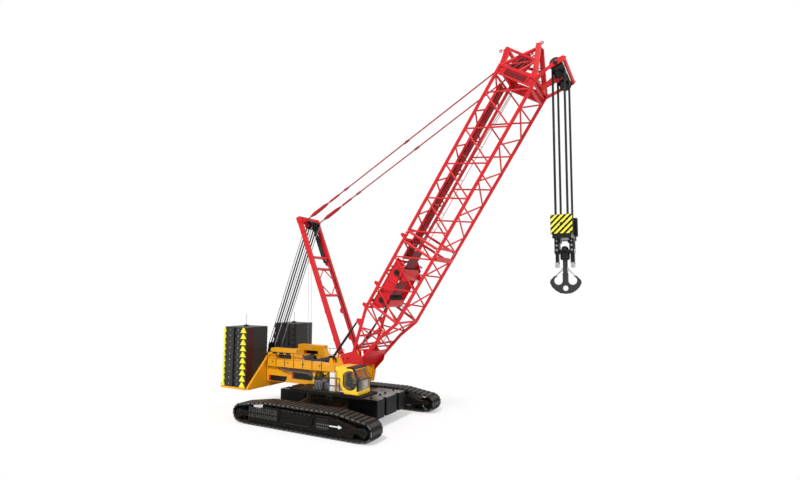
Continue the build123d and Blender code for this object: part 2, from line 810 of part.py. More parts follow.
def undercarriage():
    """Tracks, side frames, rollers, carbody and weights."""
    inner = TRACK_Y - SHOE_WIDTH / 2
    outer = TRACK_Y + SHOE_WIDTH / 2
    left_track = track(inner, outer)
    write("track_left", [left_track])
    write("track_right", [mirrored(left_track)])
    y0 = inner + FRAME_INSET
    y1 = outer - FRAME_INSET
    frame = side_frame(y0, y1)
    write("track_frame_left", [frame])
    write("track_frame_right", [mirrored(frame)])

    # Idler at the front, sprocket at the back, each on its axle with a hub disc
    for name, side in (("idler", 1), ("sprocket", -1)):
        x = side * IDLER_X
        radius = IDLER_RADIUS - SEAT
        ya = y0 + WHEEL_INSET
        yb = y1 - WHEEL_INSET
        wheel = joined(
            [
                pin(x, IDLER_Z, ya, yb, radius - RIM_HEIGHT),
                pin(x, IDLER_Z, ya, ya + RIM_WIDTH, radius),
                pin(x, IDLER_Z, yb - RIM_WIDTH, yb, radius),
                pin(x, IDLER_Z, y0, y1 + WELD, AXLE_RADIUS),
                pin(x, IDLER_Z, y1 + SEAT, y1 + HUB_REACH, HUB_RADIUS),
            ]
        )
        write(f"{name}_left", [wheel])
        write(f"{name}_right", [mirrored(wheel)])

    # Rollers: a row under the frame and two carriers on top
    ya = y0 + ROLLER_INSET
    yb = y1 - ROLLER_INSET
    rollers = []
    for x in spread(ROLLER_END - BOTTOM_X, BOTTOM_X - ROLLER_END, ROLLER_COUNT):
        rollers.append(pin(x, ROLLER_Z + SEAT, ya, yb, ROLLER_RADIUS))
    for side in (-1, 1):
        rollers.append(pin(side * CARRIER_X, CARRIER_Z, ya, yb, CARRIER_RADIUS - SEAT))
    write("rollers_left", rollers)
    write("rollers_right", [mirrored(roller) for roller in rollers])

    # Carbody: a centre box with arms that meet the side frames
    length = BODY_HALF_LENGTH
    width = BODY_HALF_WIDTH
    core = block(-length, length, -width, width, BODY_BOTTOM, BODY_TOP)
    arms = []
    for x in (-ARM_X, ARM_X):
        reach = y0 - SEAT
        outline = [
            (-reach, ARM_BOTTOM),
            (reach, ARM_BOTTOM),
            (reach, ARM_END_TOP),
            (width, ARM_TOP),
            (-width, ARM_TOP),
            (-reach, ARM_END_TOP),
        ]
        arms.append(profile_yz(outline, x - ARM_WIDTH / 2, x + ARM_WIDTH / 2))
    ring = post(0, 0, BODY_TOP, BODY_TOP + RING_LOWER_HEIGHT, RING_RADIUS)
    write("carbody", [joined([core, *arms, ring])])

    # Weights in front of and behind the carbody, each with two upright grooves
    weights = []
    for side in (-1, 1):
        near = length + SEAT
        weight = block(
            side * near, side * WEIGHT_REACH, -WEIGHT_HALF_WIDTH, WEIGHT_HALF_WIDTH, WEIGHT_BOTTOM, WEIGHT_TOP
        )
        for y in (-WEIGHT_GROOVE_Y, WEIGHT_GROOVE_Y):
            groove = block(
                side * (WEIGHT_REACH - WEIGHT_GROOVE_DEPTH), side * (WEIGHT_REACH + CUT_OVER),
                y - WEIGHT_GROOVE_WIDTH / 2, y + WEIGHT_GROOVE_WIDTH / 2,
                WEIGHT_BOTTOM - CUT_OVER, WEIGHT_TOP + CUT_OVER,
            )
            weight = weight - groove
        weights.append(weight)
    write("carbody_weights", weights)


def platform_beam(side):
    """One box beam with its raised rear box, slotted band and top rail."""
    outline = [
        (BEAM_REAR, PLATFORM_BOTTOM - BEAM_REAR_DROP),
        (BEAM_TOE, PLATFORM_BOTTOM),
        (BEAM_NOSE, BEAM_NOSE_Z),
        (BEAM_TOP_FRONT, BEAM_TOP),
        (REAR_BOX_FRONT, BEAM_TOP),
        (REAR_BOX_FRONT - REAR_BOX_SLOPE, REAR_BOX_TOP - REAR_BOX_RAIL + WELD),
        (BEAM_REAR + REAR_BOX_STEP, REAR_BOX_TOP - REAR_BOX_RAIL + WELD),
        (BEAM_REAR, REAR_BOX_TOP - 2 * REAR_BOX_RAIL),
    ]
    beam = profile_xz(outline, side * BEAM_INNER, side * BEAM_OUTER)
    window = block(
        WINDOW_FRONT, WINDOW_REAR, side * (BEAM_INNER - CUT_OVER), side * (BEAM_OUTER + CUT_OVER),
        BEAM_TOP + WINDOW_SILL, REAR_BOX_TOP - WINDOW_HEAD,
    )
    rail = block(
        REAR_BOX_FRONT - REAR_BOX_SLOPE, BEAM_REAR + REAR_BOX_STEP, side * (BEAM_INNER - RUNNING),
        side * (BEAM_OUTER + RUNNING), REAR_BOX_TOP - REAR_BOX_RAIL, REAR_BOX_TOP,
    )
    band = block(
        BAND_REAR, BAND_FRONT, side * (BEAM_OUTER - WELD), side * BAND_OUTER, BAND_BOTTOM, BEAM_TOP
    )
    for i in range(BAND_SLOT_COUNT):
        x = BAND_SLOT_FIRST + i * BAND_SLOT_PITCH
        band = band - block(
            x, x + BAND_SLOT_LENGTH, side * BEAM_OUTER, side * (BAND_OUTER + CUT_OVER),
            BAND_SLOT_TOP - BAND_SLOT_HEIGHT, BAND_SLOT_TOP,
        )
    return [beam - window, rail, band]


def band_brackets():
    """Three-cornered brackets under the band on the cab side."""
    brackets = []
    for x in spread(BAND_REAR, BAND_FRONT - BRACKET_THICKNESS, BRACKET_COUNT):
        outline = [
            (-BEAM_OUTER + WELD, BRACKET_BOTTOM),
            (-BEAM_OUTER + WELD, BAND_BOTTOM + WELD),
            (-BAND_OUTER + WELD, BAND_BOTTOM + WELD),
        ]
        brackets.append(profile_yz(outline, x, x + BRACKET_THICKNESS))
    return brackets


def platform_frame():
    """Ring, floor, beams and the lugs for boom, mast and backstops."""
    ring_bottom = BODY_TOP + RING_LOWER_HEIGHT + SEAT
    ring = post(0, 0, ring_bottom, PLATFORM_BOTTOM + WELD, RING_UPPER_RADIUS)
    inner = BEAM_INNER + WELD
    floor = block(
        BEAM_REAR, BEAM_TOE, -inner, inner, PLATFORM_BOTTOM, PLATFORM_BOTTOM + FLOOR_THICKNESS
    )
    pieces = [floor, ring, *platform_beam(-1), *platform_beam(1), *band_brackets()]
    for x in (BEAM_REAR, REAR_BOX_FRONT, BEAM_TOE - 2 * WALL):
        pieces.append(block(x, x + WALL, -inner, inner, PLATFORM_BOTTOM, WALL_TOP))
    foot_gap = FOOT_PLATE / 2 + RUNNING
    mast_gap = MAST_WIDTH / 2 + RUNNING
    stop_gap = STOP_BARREL_RADIUS + RUNNING
    for side in (-1, 1):
        foot_lug = [
            (FOOT_LUG_REAR, PLATFORM_BOTTOM + WELD),
            (BEAM_NOSE, PLATFORM_BOTTOM + WELD),
            (BOOM_X + FOOT_LUG_REACH, BOOM_Z - 2 * FOOT_PIN_RADIUS),
            (BOOM_X + FOOT_LUG_REACH, BOOM_Z + FOOT_PIN_RADIUS),
            (BOOM_X + FOOT_PIN_RADIUS, BOOM_Z + FOOT_LUG_RISE),
            (BOOM_X - FOOT_PIN_RADIUS, BOOM_Z + FOOT_LUG_RISE),
            (FOOT_LUG_REAR, BEAM_TOP - WELD),
        ]
        for y in (BOOM_Y - foot_gap - LUG_THICKNESS, BOOM_Y + foot_gap):
            pieces.append(profile_xz(foot_lug, side * y, side * (y + LUG_THICKNESS)))
        mast_lug = [
            (MAST_X - MAST_LUG_BASE, BEAM_TOP - MAST_LUG_BASE),
            (MAST_X + MAST_LUG_BASE, BEAM_TOP - MAST_LUG_BASE),
            (MAST_X + MAST_LUG_SHOULDER, MAST_Z + MAST_PIN_RADIUS),
            (MAST_X, MAST_Z + 2 * MAST_PIN_RADIUS),
            (MAST_X - MAST_LUG_SHOULDER, MAST_Z + MAST_PIN_RADIUS),
        ]
        for y in (MAST_Y - mast_gap - LUG_THICKNESS, MAST_Y + mast_gap):
            pieces.append(profile_xz(mast_lug, side * y, side * (y + LUG_THICKNESS)))
        shelf_top = BEAM_TOP - MAST_LUG_BASE + LUG_THICKNESS
        pieces.append(
            block(
                MAST_X - MAST_LUG_BASE, MAST_X + MAST_LUG_BASE, side * (MAST_Y - mast_gap - LUG_THICKNESS),
                side * (BEAM_INNER + WELD), shelf_top - LUG_THICKNESS, shelf_top,
            )
        )
        stop_lug = [
            (STOP_X - STOP_LUG_BASE, BEAM_TOP - WELD),
            (STOP_X + STOP_LUG_BASE, BEAM_TOP - WELD),
            (STOP_X + STOP_LUG_TOP, STOP_Z + STOP_EYE_HALF),
            (STOP_X - STOP_LUG_TOP, STOP_Z + STOP_EYE_HALF),
        ]
        for y in (STOP_Y - stop_gap - STOP_LUG, STOP_Y + stop_gap):
            pieces.append(profile_xz(stop_lug, side * y, side * (y + STOP_LUG)))
        tie_lug = [
            (TIE_LUG_X - TIE_LUG_HALF, BEAM_TOP - WELD),
            (TIE_LUG_X + TIE_LUG_HALF, BEAM_TOP - WELD),
            (TIE_LUG_X + TIE_LUG_HALF / 2, BEAM_TOP + TIE_LUG_RISE),
            (TIE_LUG_X - TIE_LUG_HALF / 2, BEAM_TOP + TIE_LUG_RISE),
        ]
        pieces.append(profile_xz(tie_lug, side * (BEAM_OUTER - LUG_THICKNESS), side * BEAM_OUTER))
    frame = joined(pieces)
    reach = BAND_OUTER + CUT_OVER
    for side in (-1, 1):
        frame = frame - block(
            STOP_X + STOP_LUG_BASE + RUNNING, FOOT_SLOT_FRONT, side * (BOOM_Y - foot_gap),
            side * (BOOM_Y + foot_gap), PLATFORM_BOTTOM + FOOT_RADIUS, BEAM_TOP + TIE_LUG_RISE,
        )
    frame = frame - pin(BOOM_X, BOOM_Z, -reach, reach, FOOT_PIN_RADIUS + PIN_FIT)
    frame = frame - pin(MAST_X, MAST_Z, -reach, reach, MAST_PIN_RADIUS + PIN_FIT)
    frame = frame - pin(STOP_X, STOP_Z, -reach, reach, STOP_PIN_RADIUS + PIN_FIT)
    frame = frame - pin(TIE_LUG_X, BEAM_TOP + TIE_HOLE_RISE, -reach, reach, TIE_HOLE_RADIUS)
    write("platform_frame", [frame])

    # Pins at the boom foot, the mast foot and the backstops
    pins = []
    for side in (-1, 1):
        for x, z, y, half, radius in (
            # place, middle along Y, half length, radius
            (BOOM_X, BOOM_Z, BOOM_Y, foot_gap + LUG_THICKNESS + STOP_LUG, FOOT_PIN_RADIUS),
            (MAST_X, MAST_Z, MAST_Y, mast_gap + LUG_THICKNESS + STOP_LUG, MAST_PIN_RADIUS),
            (STOP_X, STOP_Z, STOP_Y, stop_gap + STOP_LUG + WELD, STOP_PIN_RADIUS),
        ):
            pins.append(pin(x, z, side * (y - half), side * (y + half), radius))
    write("hinge_pins", pins)


def handrails():
    """Rails on the cab deck, on the band and on the engine house."""
    rails = []
    # Row: first x, last x, y, foot z, middle z, top z, number of posts
    house_y = HOUSE_OUTER - RAIL_INSET
    band_y = -BAND_OUTER - SEAT - RAIL_RADIUS
    deck_y = -DECK_OUTER + RAIL_INSET
    rows = [
        (HOUSE_RAIL_REAR, HOUSE_RAIL_FRONT, house_y, HOUSE_TOP + SEAT,
         HOUSE_TOP + RAIL_MIDDLE, HOUSE_TOP + RAIL_HEIGHT, HOUSE_POSTS),
        (BAND_REAR + RAIL_INSET, BAND_RAIL_FRONT, band_y, BAND_RAIL_BOTTOM,
         BAND_RAIL_MIDDLE, BAND_RAIL_TOP, BAND_POSTS),
        (TANK_FRONT - RAIL_INSET, DECK_RAIL_FRONT, deck_y, DECK_TOP + SEAT,
         DECK_TOP + RAIL_MIDDLE, DECK_TOP + RAIL_HEIGHT, 2),
    ]
    for x0, x1, y, foot, middle, top, posts in rows:
        pieces = [post(x, y, foot, top, RAIL_RADIUS) for x in spread(x0, x1, posts)]
        for z in (middle, top - RAIL_RADIUS):
            pieces.append(tube((x0, y, z), (x1, y, z), RAIL_RADIUS))
        rails.append(joined(pieces))
    write("handrails", rails)


def platform():
    """Everything that slews and stays fixed to the platform frame."""
    platform_frame()
    handrails()

    # Winches between the beams
    half = BEAM_INNER - DRUM_SIDE_GAP
    drums = []
    for x in DRUM_PLACES:
        drums.append(
            joined(
                [
                    pin(x, DRUM_Z, -half + WELD, half - WELD, DRUM_RADIUS),
                    pin(x, DRUM_Z, -half, -half + FLANGE_THICKNESS, FLANGE_RADIUS),
                    pin(x, DRUM_Z, half - FLANGE_THICKNESS, half, FLANGE_RADIUS),
                    pin(x, DRUM_Z, -BEAM_INNER + SEAT, BEAM_INNER - SEAT, DRUM_SHAFT_RADIUS),
                ]
            )
        )
    write("platform_winches", drums)

    # Engine house with the heavy engine inside as part of its solid
    house = [
        (HOUSE_REAR, PLATFORM_BOTTOM),
        (HOUSE_FRONT, PLATFORM_BOTTOM),
        (HOUSE_FRONT, HOUSE_TOP - HOUSE_SLOPE),
        (HOUSE_FRONT - HOUSE_SLOPE, HOUSE_TOP),
        (HOUSE_REAR, HOUSE_TOP),
    ]
    write("engine_house", [profile_xz(house, BEAM_OUTER + SEAT, HOUSE_OUTER)])

    # Deck on the cab side with the tank and the valve boxes
    deck = block(
        DECK_REAR, DECK_FRONT, -BEAM_OUTER - SEAT, -DECK_OUTER, DECK_TOP - DECK_THICKNESS, DECK_TOP
    )
    write("cab_deck", [deck])
    write("side_tank", [block(TANK_REAR, TANK_FRONT, -TANK_OUTER, -TANK_INNER, DECK_TOP + SEAT, TANK_TOP)])
    boxes = []
    for x0, x1, outer, top in VALVE_BOXES:
        boxes.append(block(x0, x1, -BEAM_OUTER - BOX_GAP, -outer, DECK_TOP + SEAT, top))
    write("valve_boxes", boxes)

    # Rear sheave pack on two brackets that stand on the counterweight bridge
    foot = BRIDGE_TOP + SEAT
    reach = REAR_SHEAVE_HALF + 2 * REAR_PLATE
    pieces = [
        block(
            REAR_SHEAVE_X - REAR_FOOT_HALF, REAR_SHEAVE_X + REAR_FOOT_HALF, -reach, reach,
            foot, foot + REAR_PLATE,
        ),
        pin(REAR_SHEAVE_X, REAR_SHEAVE_Z, -reach, reach, REAR_AXLE_RADIUS),
    ]
    bracket = [
        (REAR_SHEAVE_X - REAR_FOOT_HALF, foot),
        (REAR_SHEAVE_X + REAR_FOOT_HALF, foot),
        (REAR_SHEAVE_X + REAR_HEAD_HALF, REAR_SHEAVE_Z + REAR_HEAD_HALF),
        (REAR_SHEAVE_X - REAR_HEAD_HALF, REAR_SHEAVE_Z + REAR_HEAD_HALF),
    ]
    for side in (-1, 1):
        y = side * (REAR_SHEAVE_HALF + REAR_PLATE / 2)
        pieces.append(profile_xz(bracket, y, y + side * REAR_PLATE))
    end = REAR_SHEAVE_HALF - REAR_SHEAVE_THICKNESS
    for y in spread(-end, end, REAR_SHEAVE_COUNT):
        pieces.append(
            pin(
                REAR_SHEAVE_X, REAR_SHEAVE_Z, y - REAR_SHEAVE_THICKNESS / 2,
                y + REAR_SHEAVE_THICKNESS / 2, REAR_SHEAVE_RADIUS,
            )
        )
    write("rear_sheaves", [joined(pieces)])


def counterweight():
    """Tray with its gussets and the two stacks of slabs."""
    rear = STACK_REAR - TRAY_LIP
    side_y = STACK_OUTER + TRAY_SIDE
    tray_top = TRAY_BOTTOM + TRAY_THICKNESS
    inner = STACK_INNER - BRIDGE_GAP
    front = BEAM_REAR - SEAT
    pieces = [
        block(rear, STACK_FRONT + BRIDGE_GAP, -side_y, side_y, TRAY_BOTTOM, tray_top),
        block(rear, front, -inner, inner, TRAY_BOTTOM, BRIDGE_TOP),
    ]
    gusset_rear = STACK_FRONT + BRIDGE_GAP - WELD
    for side in (-1, 1):
        outline = [
            (side * (STACK_OUTER - TRAY_LIP / 2), TRAY_BOTTOM),
            (side * (STACK_OUTER - TRAY_LIP / 2), TRAY_BOTTOM + GUSSET_SHELF),
            (side * (GUSSET_INNER + GUSSET_EDGE), GUSSET_TOP),
            (side * GUSSET_INNER, GUSSET_TOP),
            (side * GUSSET_INNER, TRAY_BOTTOM),
        ]
        pieces.append(profile_yz(outline, gusset_rear, front - GUSSET_EDGE))
        pieces.append(
            block(
                rear, rear + TRAY_EAR_LENGTH, side * (side_y - GUSSET_EDGE), side * side_y,
                TRAY_BOTTOM, tray_top + TRAY_EAR_HEIGHT,
            )
        )
    write("counterweight_tray", [joined(pieces)])
    x0 = SLAB_GROOVE_X - SLAB_GROOVE_WIDTH / 2
    x1 = SLAB_GROOVE_X + SLAB_GROOVE_WIDTH / 2
    for name, side in (("left", 1), ("right", -1)):
        outline = [
            (STACK_FRONT, side * STACK_INNER),
            (STACK_FRONT, side * STACK_OUTER),
            (x1, side * STACK_OUTER),
            (x1, side * (STACK_OUTER - SLAB_GROOVE_DEPTH)),
            (x0, side * (STACK_OUTER - SLAB_GROOVE_DEPTH)),
            (x0, side * STACK_OUTER),
            (STACK_REAR, side * STACK_OUTER),
            (STACK_REAR, side * STACK_INNER),
        ]
        slabs = []
        for i in range(SLAB_COUNT):
            z = tray_top + SEAT + i * (SLAB_HEIGHT + SEAT)
            slabs.append(profile_xy(outline, z, z + SLAB_HEIGHT))
        write(f"counterweight_stack_{name}", slabs)


def cab():
    """Hollow cab with its door, seat and console."""
    outline = [
        (CAB_REAR, CAB_TOP),
        (CAB_BACK_LOW, CAB_HEEL_Z),
        (CAB_HEEL_X, CAB_BOTTOM),
        (CAB_NOSE_LOW, CAB_BOTTOM),
        (CAB_FRONT, CAB_NOSE_Z),
        (CAB_NOSE_TOP, CAB_TOP),
    ]
    wall = CAB_WALL
    face = -CAB_OUTER
    inside = grown(outline, -wall)
    shell = profile_xz(outline, face, -CAB_INNER) - profile_xz(inside, face + wall, -CAB_INNER - wall)
    door_outline = [
        (DOOR_REAR, CAB_TOP - DOOR_FRAME),
        (DOOR_REAR, CAB_SILL_Z + DOOR_FRAME),
        (CAB_HEEL_X, CAB_BOTTOM + DOOR_FRAME),
        (CAB_NOSE_LOW - DOOR_FRAME, CAB_BOTTOM + DOOR_FRAME),
        (CAB_FRONT - DOOR_FRAME, CAB_NOSE_Z),
        (CAB_NOSE_TOP - DOOR_FRAME, CAB_TOP - DOOR_FRAME),
    ]
    door_hole = profile_xz(door_outline, face - CUT_OVER, face + wall + CUT_OVER)
    windscreen = block(
        CAB_NOSE_TOP - DOOR_FRAME, CAB_FRONT + CUT_OVER, face + CAB_POST, -CAB_INNER - CAB_POST,
        CAB_SILL_Z, CAB_HEAD_Z,
    )
    side_window = block(
        CAB_SIDE_WINDOW_REAR, CAB_SIDE_WINDOW_FRONT, -CAB_INNER - wall - CUT_OVER, -CAB_INNER + CUT_OVER,
        CAB_HEEL_Z, CAB_HEAD_Z,
    )
    shell = shell - door_hole - windscreen - side_window

    # Seams between the panels: both sides, roof, floor, and the halves of back and front
    rear_end = CAB_REAR - CUT_OVER
    front_end = CAB_FRONT + CUT_OVER
    side_outer = face + wall
    side_inner = -CAB_INNER - wall
    for y in (side_outer, side_inner - SEAT):
        shell = shell - block(rear_end, front_end, y, y + SEAT, CAB_BOTTOM - CUT_OVER, CAB_TOP + CUT_OVER)
    for z in (CAB_BOTTOM + wall, CAB_HEEL_Z - SEAT / 2, CAB_TOP - wall - SEAT):
        shell = shell - block(rear_end, front_end, side_outer, side_inner, z, z + SEAT)
    pieces = [shell]
    foot_outer = face + CAB_POST
    foot_inner = -CAB_INNER - CAB_POST
    foot_top = CAB_BOTTOM + WELD
    for x in (CAB_HEEL_X + DOOR_FRAME, CAB_NOSE_LOW - DOOR_FRAME - CAB_FOOT_LENGTH):
        pieces.append(block(x, x + CAB_FOOT_LENGTH, foot_outer, foot_inner, DECK_TOP + SEAT, foot_top))
    hinge_x = DOOR_REAR - HINGE_BACK
    hinge_y = face - HINGE_OUT
    ear_rear = hinge_x - 2 * HINGE_RADIUS
    for z in (HINGE_LOW, HINGE_HIGH):
        pieces.append(post(hinge_x, hinge_y, z - HINGE_HEIGHT / 2, z + HINGE_HEIGHT, HINGE_PIN_RADIUS))
        pieces.append(
            block(
                ear_rear, hinge_x + HINGE_PIN_RADIUS, hinge_y - HINGE_PIN_RADIUS, face + WELD,
                z - HINGE_HEIGHT / 2, z - SEAT,
            )
        )
    write("cab_shell", [joined(pieces)])

    door = profile_xz(grown(door_outline, -DOOR_GAP), face, face + wall)
    window = pin(DOOR_WINDOW_X, DOOR_WINDOW_Z, face - CUT_OVER, face + wall + CUT_OVER, DOOR_WINDOW_RADIUS)
    limit = profile_xz(grown(door_outline, -DOOR_GAP - DOOR_STILE), face - CUT_OVER, face + wall + CUT_OVER)
    door = door - (window & limit)
    pad_front = DOOR_REAR + DOOR_STILE
    for z in (HINGE_LOW, HINGE_HIGH):
        sleeve = post(hinge_x, hinge_y, z, z + HINGE_HEIGHT, HINGE_RADIUS)
        top = z + HINGE_HEIGHT
        strap = block(hinge_x, pad_front, hinge_y - HINGE_PIN_RADIUS, face - DOOR_GAP / 2, z, top)
        pad = block(DOOR_REAR + DOOR_GAP, pad_front, hinge_y, face + WELD, z, top)
        door = joined([door, sleeve, strap, pad])
    bore_top = HINGE_HIGH + HINGE_HEIGHT + WELD
    bore = post(hinge_x, hinge_y, HINGE_LOW - WELD, bore_top, HINGE_PIN_RADIUS + PIN_FIT)
    write("cab_door", [door - bore])

    floor = CAB_BOTTOM + wall + SEAT
    cushion_top = SEAT_LOW + SEAT_CUSHION
    left = -SEAT_Y - SEAT_HALF
    right = -SEAT_Y + SEAT_HALF
    seat = joined(
        [
            block(SEAT_REAR, SEAT_FRONT, left, right, SEAT_LOW, cushion_top),
            block(SEAT_REAR, SEAT_REAR + SEAT_BACK, left, right, cushion_top - WELD, SEAT_BACK_TOP),
            block(
                SEAT_REAR + SEAT_HALF, SEAT_FRONT - SEAT_BACK, left + SEAT_CUSHION, right - SEAT_CUSHION,
                floor, SEAT_LOW + WELD,
            ),
        ]
    )
    console = block(
        CONSOLE_REAR, CONSOLE_FRONT, -SEAT_Y - CONSOLE_HALF, -SEAT_Y + CONSOLE_HALF, floor, CONSOLE_TOP
    )
    write("cab_interior", [seat, console])


def mast():
    """Two box legs with cross members, crosshead, sheave pack and cylinder."""
    half = MAST_DEPTH / 2
    leg_inner = MAST_Y - MAST_WIDTH / 2
    leg_outer = MAST_Y + MAST_WIDTH / 2
    lug_base = half - WELD
    members = []
    for side in (-1, 1):
        members.append(
            mast_box(MAST_LEG_START, CROSSHEAD_END - WELD, -half, half, side * leg_inner, side * leg_outer)
        )
        members.append(pin(MAST_X, MAST_Z, side * leg_inner, side * leg_outer, MAST_EYE_RADIUS))
    for s in MAST_CROSSBARS:
        members.append(
            mast_box(
                s - CROSSBAR_HALF_LENGTH, s + CROSSBAR_HALF_LENGTH, -CROSSBAR_HALF_DEPTH, CROSSBAR_HALF_DEPTH,
                -MAST_Y, MAST_Y,
            )
        )
    middle_s = (MAST_CROSSBARS[0] + MAST_CROSSBARS[1]) / 2
    middle_x, middle_z = mast_xz(middle_s, 0)
    for side in (-1, 1):
        for s in MAST_CROSSBARS[:2]:
            x, z = mast_xz(s, 0)
            members.append(tube((x, 0, z), (middle_x, side * MAST_Y, middle_z), MAST_BRACE_RADIUS))
    members.append(
        mast_box(CROSSHEAD_START, CROSSHEAD_END, -half - WELD, half + WELD, -CROSSHEAD_HALF, CROSSHEAD_HALF)
    )

    # Sheave brackets and pendant lugs on the crosshead's front
    sheave_x, sheave_z = mast_xz(MAST_SHEAVE_S, MAST_SHEAVE_N)
    tip_x, tip_z = mast_xz(PENDANT_MAST_S, PENDANT_MAST_N)
    sheave_plate = [
        (MAST_SHEAVE_S - MAST_SHEAVE_HEAD, MAST_SHEAVE_N - MAST_SHEAVE_HEAD),
        (MAST_SHEAVE_S - MAST_SHEAVE_HEAD, MAST_SHEAVE_N + MAST_SHEAVE_HEAD),
        (CROSSHEAD_START + MAST_SHEAVE_HEAD, half),
        (CROSSHEAD_START + MAST_SHEAVE_HEAD, -half),
    ]
    pendant_plate = [
        (CROSSHEAD_START + WELD, lug_base),
        (PENDANT_MAST_S - PENDANT_EYE_RADIUS, PENDANT_MAST_N),
        (PENDANT_MAST_S - PENDANT_PIN_RADIUS, PENDANT_MAST_N + PENDANT_EYE_RADIUS),
        (PENDANT_MAST_S + PENDANT_PIN_RADIUS, PENDANT_MAST_N + PENDANT_EYE_RADIUS),
        (CROSSHEAD_END - WELD, lug_base),
    ]
    eye_gap = PENDANT_RADIUS + RUNNING
    lug_reach = eye_gap + PENDANT_LUG
    for side in (-1, 1):
        y = side * (MAST_SHEAVE_HALF + SHEAVE_ROOM)
        members.append(mast_plate(sheave_plate, y, y + side * MAST_SHEAVE_PLATE))
        for y in (PENDANT_Y - lug_reach, PENDANT_Y + eye_gap):
            members.append(mast_plate(pendant_plate, side * y, side * (y + PENDANT_LUG)))
        pin_ends = (side * (PENDANT_Y - lug_reach), side * (PENDANT_Y + lug_reach))
        members.append(pin(tip_x, tip_z, *pin_ends, PENDANT_PIN_RADIUS))
    frame = joined(members)
    room = MAST_SHEAVE_HALF + SHEAVE_ROOM
    axle_end = room + MAST_SHEAVE_PLATE + SHEAVE_ROOM
    frame = frame - pin(sheave_x, sheave_z, -room, room, MAST_SHEAVE_RADIUS + SHEAVE_ROOM)
    frame = frame - pin(sheave_x, sheave_z, -axle_end, axle_end, MAST_SHEAVE_AXLE + SEAT)
    frame = frame - pin(MAST_X, MAST_Z, -CROSSHEAD_HALF, CROSSHEAD_HALF, MAST_PIN_RADIUS + PIN_FIT)
    write("mast", [frame])

    discs = [pin(sheave_x, sheave_z, -axle_end, axle_end, MAST_SHEAVE_AXLE)]
    end = MAST_SHEAVE_HALF - MAST_SHEAVE_THICKNESS
    thick = MAST_SHEAVE_THICKNESS / 2
    for y in spread(-end, end, MAST_SHEAVE_COUNT):
        discs.append(pin(sheave_x, sheave_z, y - thick, y + thick, MAST_SHEAVE_RADIUS))
    write("mast_sheaves", [joined(discs)])

    # Cylinder beside the far leg, held by two clamps
    start_x, start_z = mast_xz(MAST_CYLINDER_START, MAST_CYLINDER_N)
    end_x, end_z = mast_xz(MAST_CYLINDER_END, MAST_CYLINDER_N)
    pieces = [
        tube((start_x, MAST_CYLINDER_Y, start_z), (end_x, MAST_CYLINDER_Y, end_z), MAST_CYLINDER_RADIUS)
    ]
    for s in (MAST_CYLINDER_START + 3 * CLAMP_LENGTH, MAST_CYLINDER_END - 2 * CLAMP_LENGTH):
        pieces.append(
            mast_box(
                s, s + CLAMP_LENGTH, MAST_CYLINDER_N - CLAMP_HALF, MAST_CYLINDER_N + CLAMP_HALF + CLAMP_RISE,
                MAST_CYLINDER_Y + WELD, leg_inner - SEAT,
            )
        )
    write("mast_cylinder", [joined(pieces)])
    pendants(tip_x, tip_z)


def pendants(top_x, top_z):
    """Pendant bars from the crosshead to the boom head's upper corners."""
    end_x, end_z = boom_xz(PENDANT_PIN_S, PENDANT_PIN_N)
    run = hypot(end_x - top_x, end_z - top_z)
    ux = (end_x - top_x) / run
    uz = (end_z - top_z) / run
    half = PENDANT_EYE_THICKNESS / 2
    bars = []
    for side in (-1, 1):
        y = side * PENDANT_Y
        pieces = [
            tube((top_x, y, top_z), (end_x, y, end_z), PENDANT_RADIUS),
            pin(top_x, top_z, y - half, y + half, PENDANT_EYE_RADIUS),
            pin(end_x, end_z, y - half, y + half, PENDANT_EYE_RADIUS),
        ]
        near = TURNBUCKLE_AT
        far = TURNBUCKLE_AT + TURNBUCKLE_LENGTH
        pieces.append(
            tube(
                (top_x + ux * near, y, top_z + uz * near), (top_x + ux * far, y, top_z + uz * far),
                TURNBUCKLE_RADIUS,
            )
        )
        bar = joined(pieces)
        for x, z in ((top_x, top_z), (end_x, end_z)):
            for end in (-1, 1):
                bar = bar - pin(
                    x, z, y + end * half, y + end * (PENDANT_RADIUS + CUT_OVER), PENDANT_EYE_RADIUS
                )
            bar = bar - pin(x, z, y - PENDANT_RADIUS, y + PENDANT_RADIUS, PENDANT_PIN_RADIUS + PIN_FIT)
        bars.append(bar)
    write("pendants", bars)


def upper_chord(s):
    """The upper chord's n at a place along the boom."""
    s0, n0 = CHORD_START_UPPER
    if s > KINK_UPPER:
        return -BOOM_DEPTH
    return n0 + (s - s0) * (-BOOM_DEPTH - n0) / (KINK_UPPER - s0)


def lower_chord(s):
    """The lower chord's n at a place along the boom."""
    s0, n0 = CHORD_START_LOWER
    s1, n1 = CHORD_BEND_LOWER
    if s > KINK_LOWER:
        return BOOM_DEPTH
    if s > s1:
        return n1 + (s - s1) * (BOOM_DEPTH - n1) / (KINK_LOWER - s1)
    return n0 + (s - s0) * (n1 - n0) / (s1 - s0)


def chord_lines(y, radius):
    """Round bars along the chords on one side, upper and lower, from foot to head."""
    upper = [CHORD_START_UPPER, (KINK_UPPER, -BOOM_DEPTH), (HEAD_S, -BOOM_DEPTH)]
    lower = [CHORD_START_LOWER, CHORD_BEND_LOWER, (KINK_LOWER, BOOM_DEPTH), (HEAD_S, BOOM_DEPTH)]
    bars = []
    for line in (upper, lower):
        for (s0, n0), (s1, n1) in zip(line, line[1:]):
            bars.append(boom_tube((s0, y, n0), (s1, y, n1), radius))
    return bars


def zigzag(places, radius):
    """Bars from each place to the next."""
    return [boom_tube(start, end, radius) for start, end in zip(places, places[1:])]


def side_places(y, stations, lower_first):
    """Nodes of the side lacing, in turn on the lower and the upper chord."""
    places = []
    for i, s in enumerate(stations):
        on_lower = (i % 2 == 0) == lower_first
        places.append((s, y, lower_chord(s) if on_lower else upper_chord(s)))
    return places


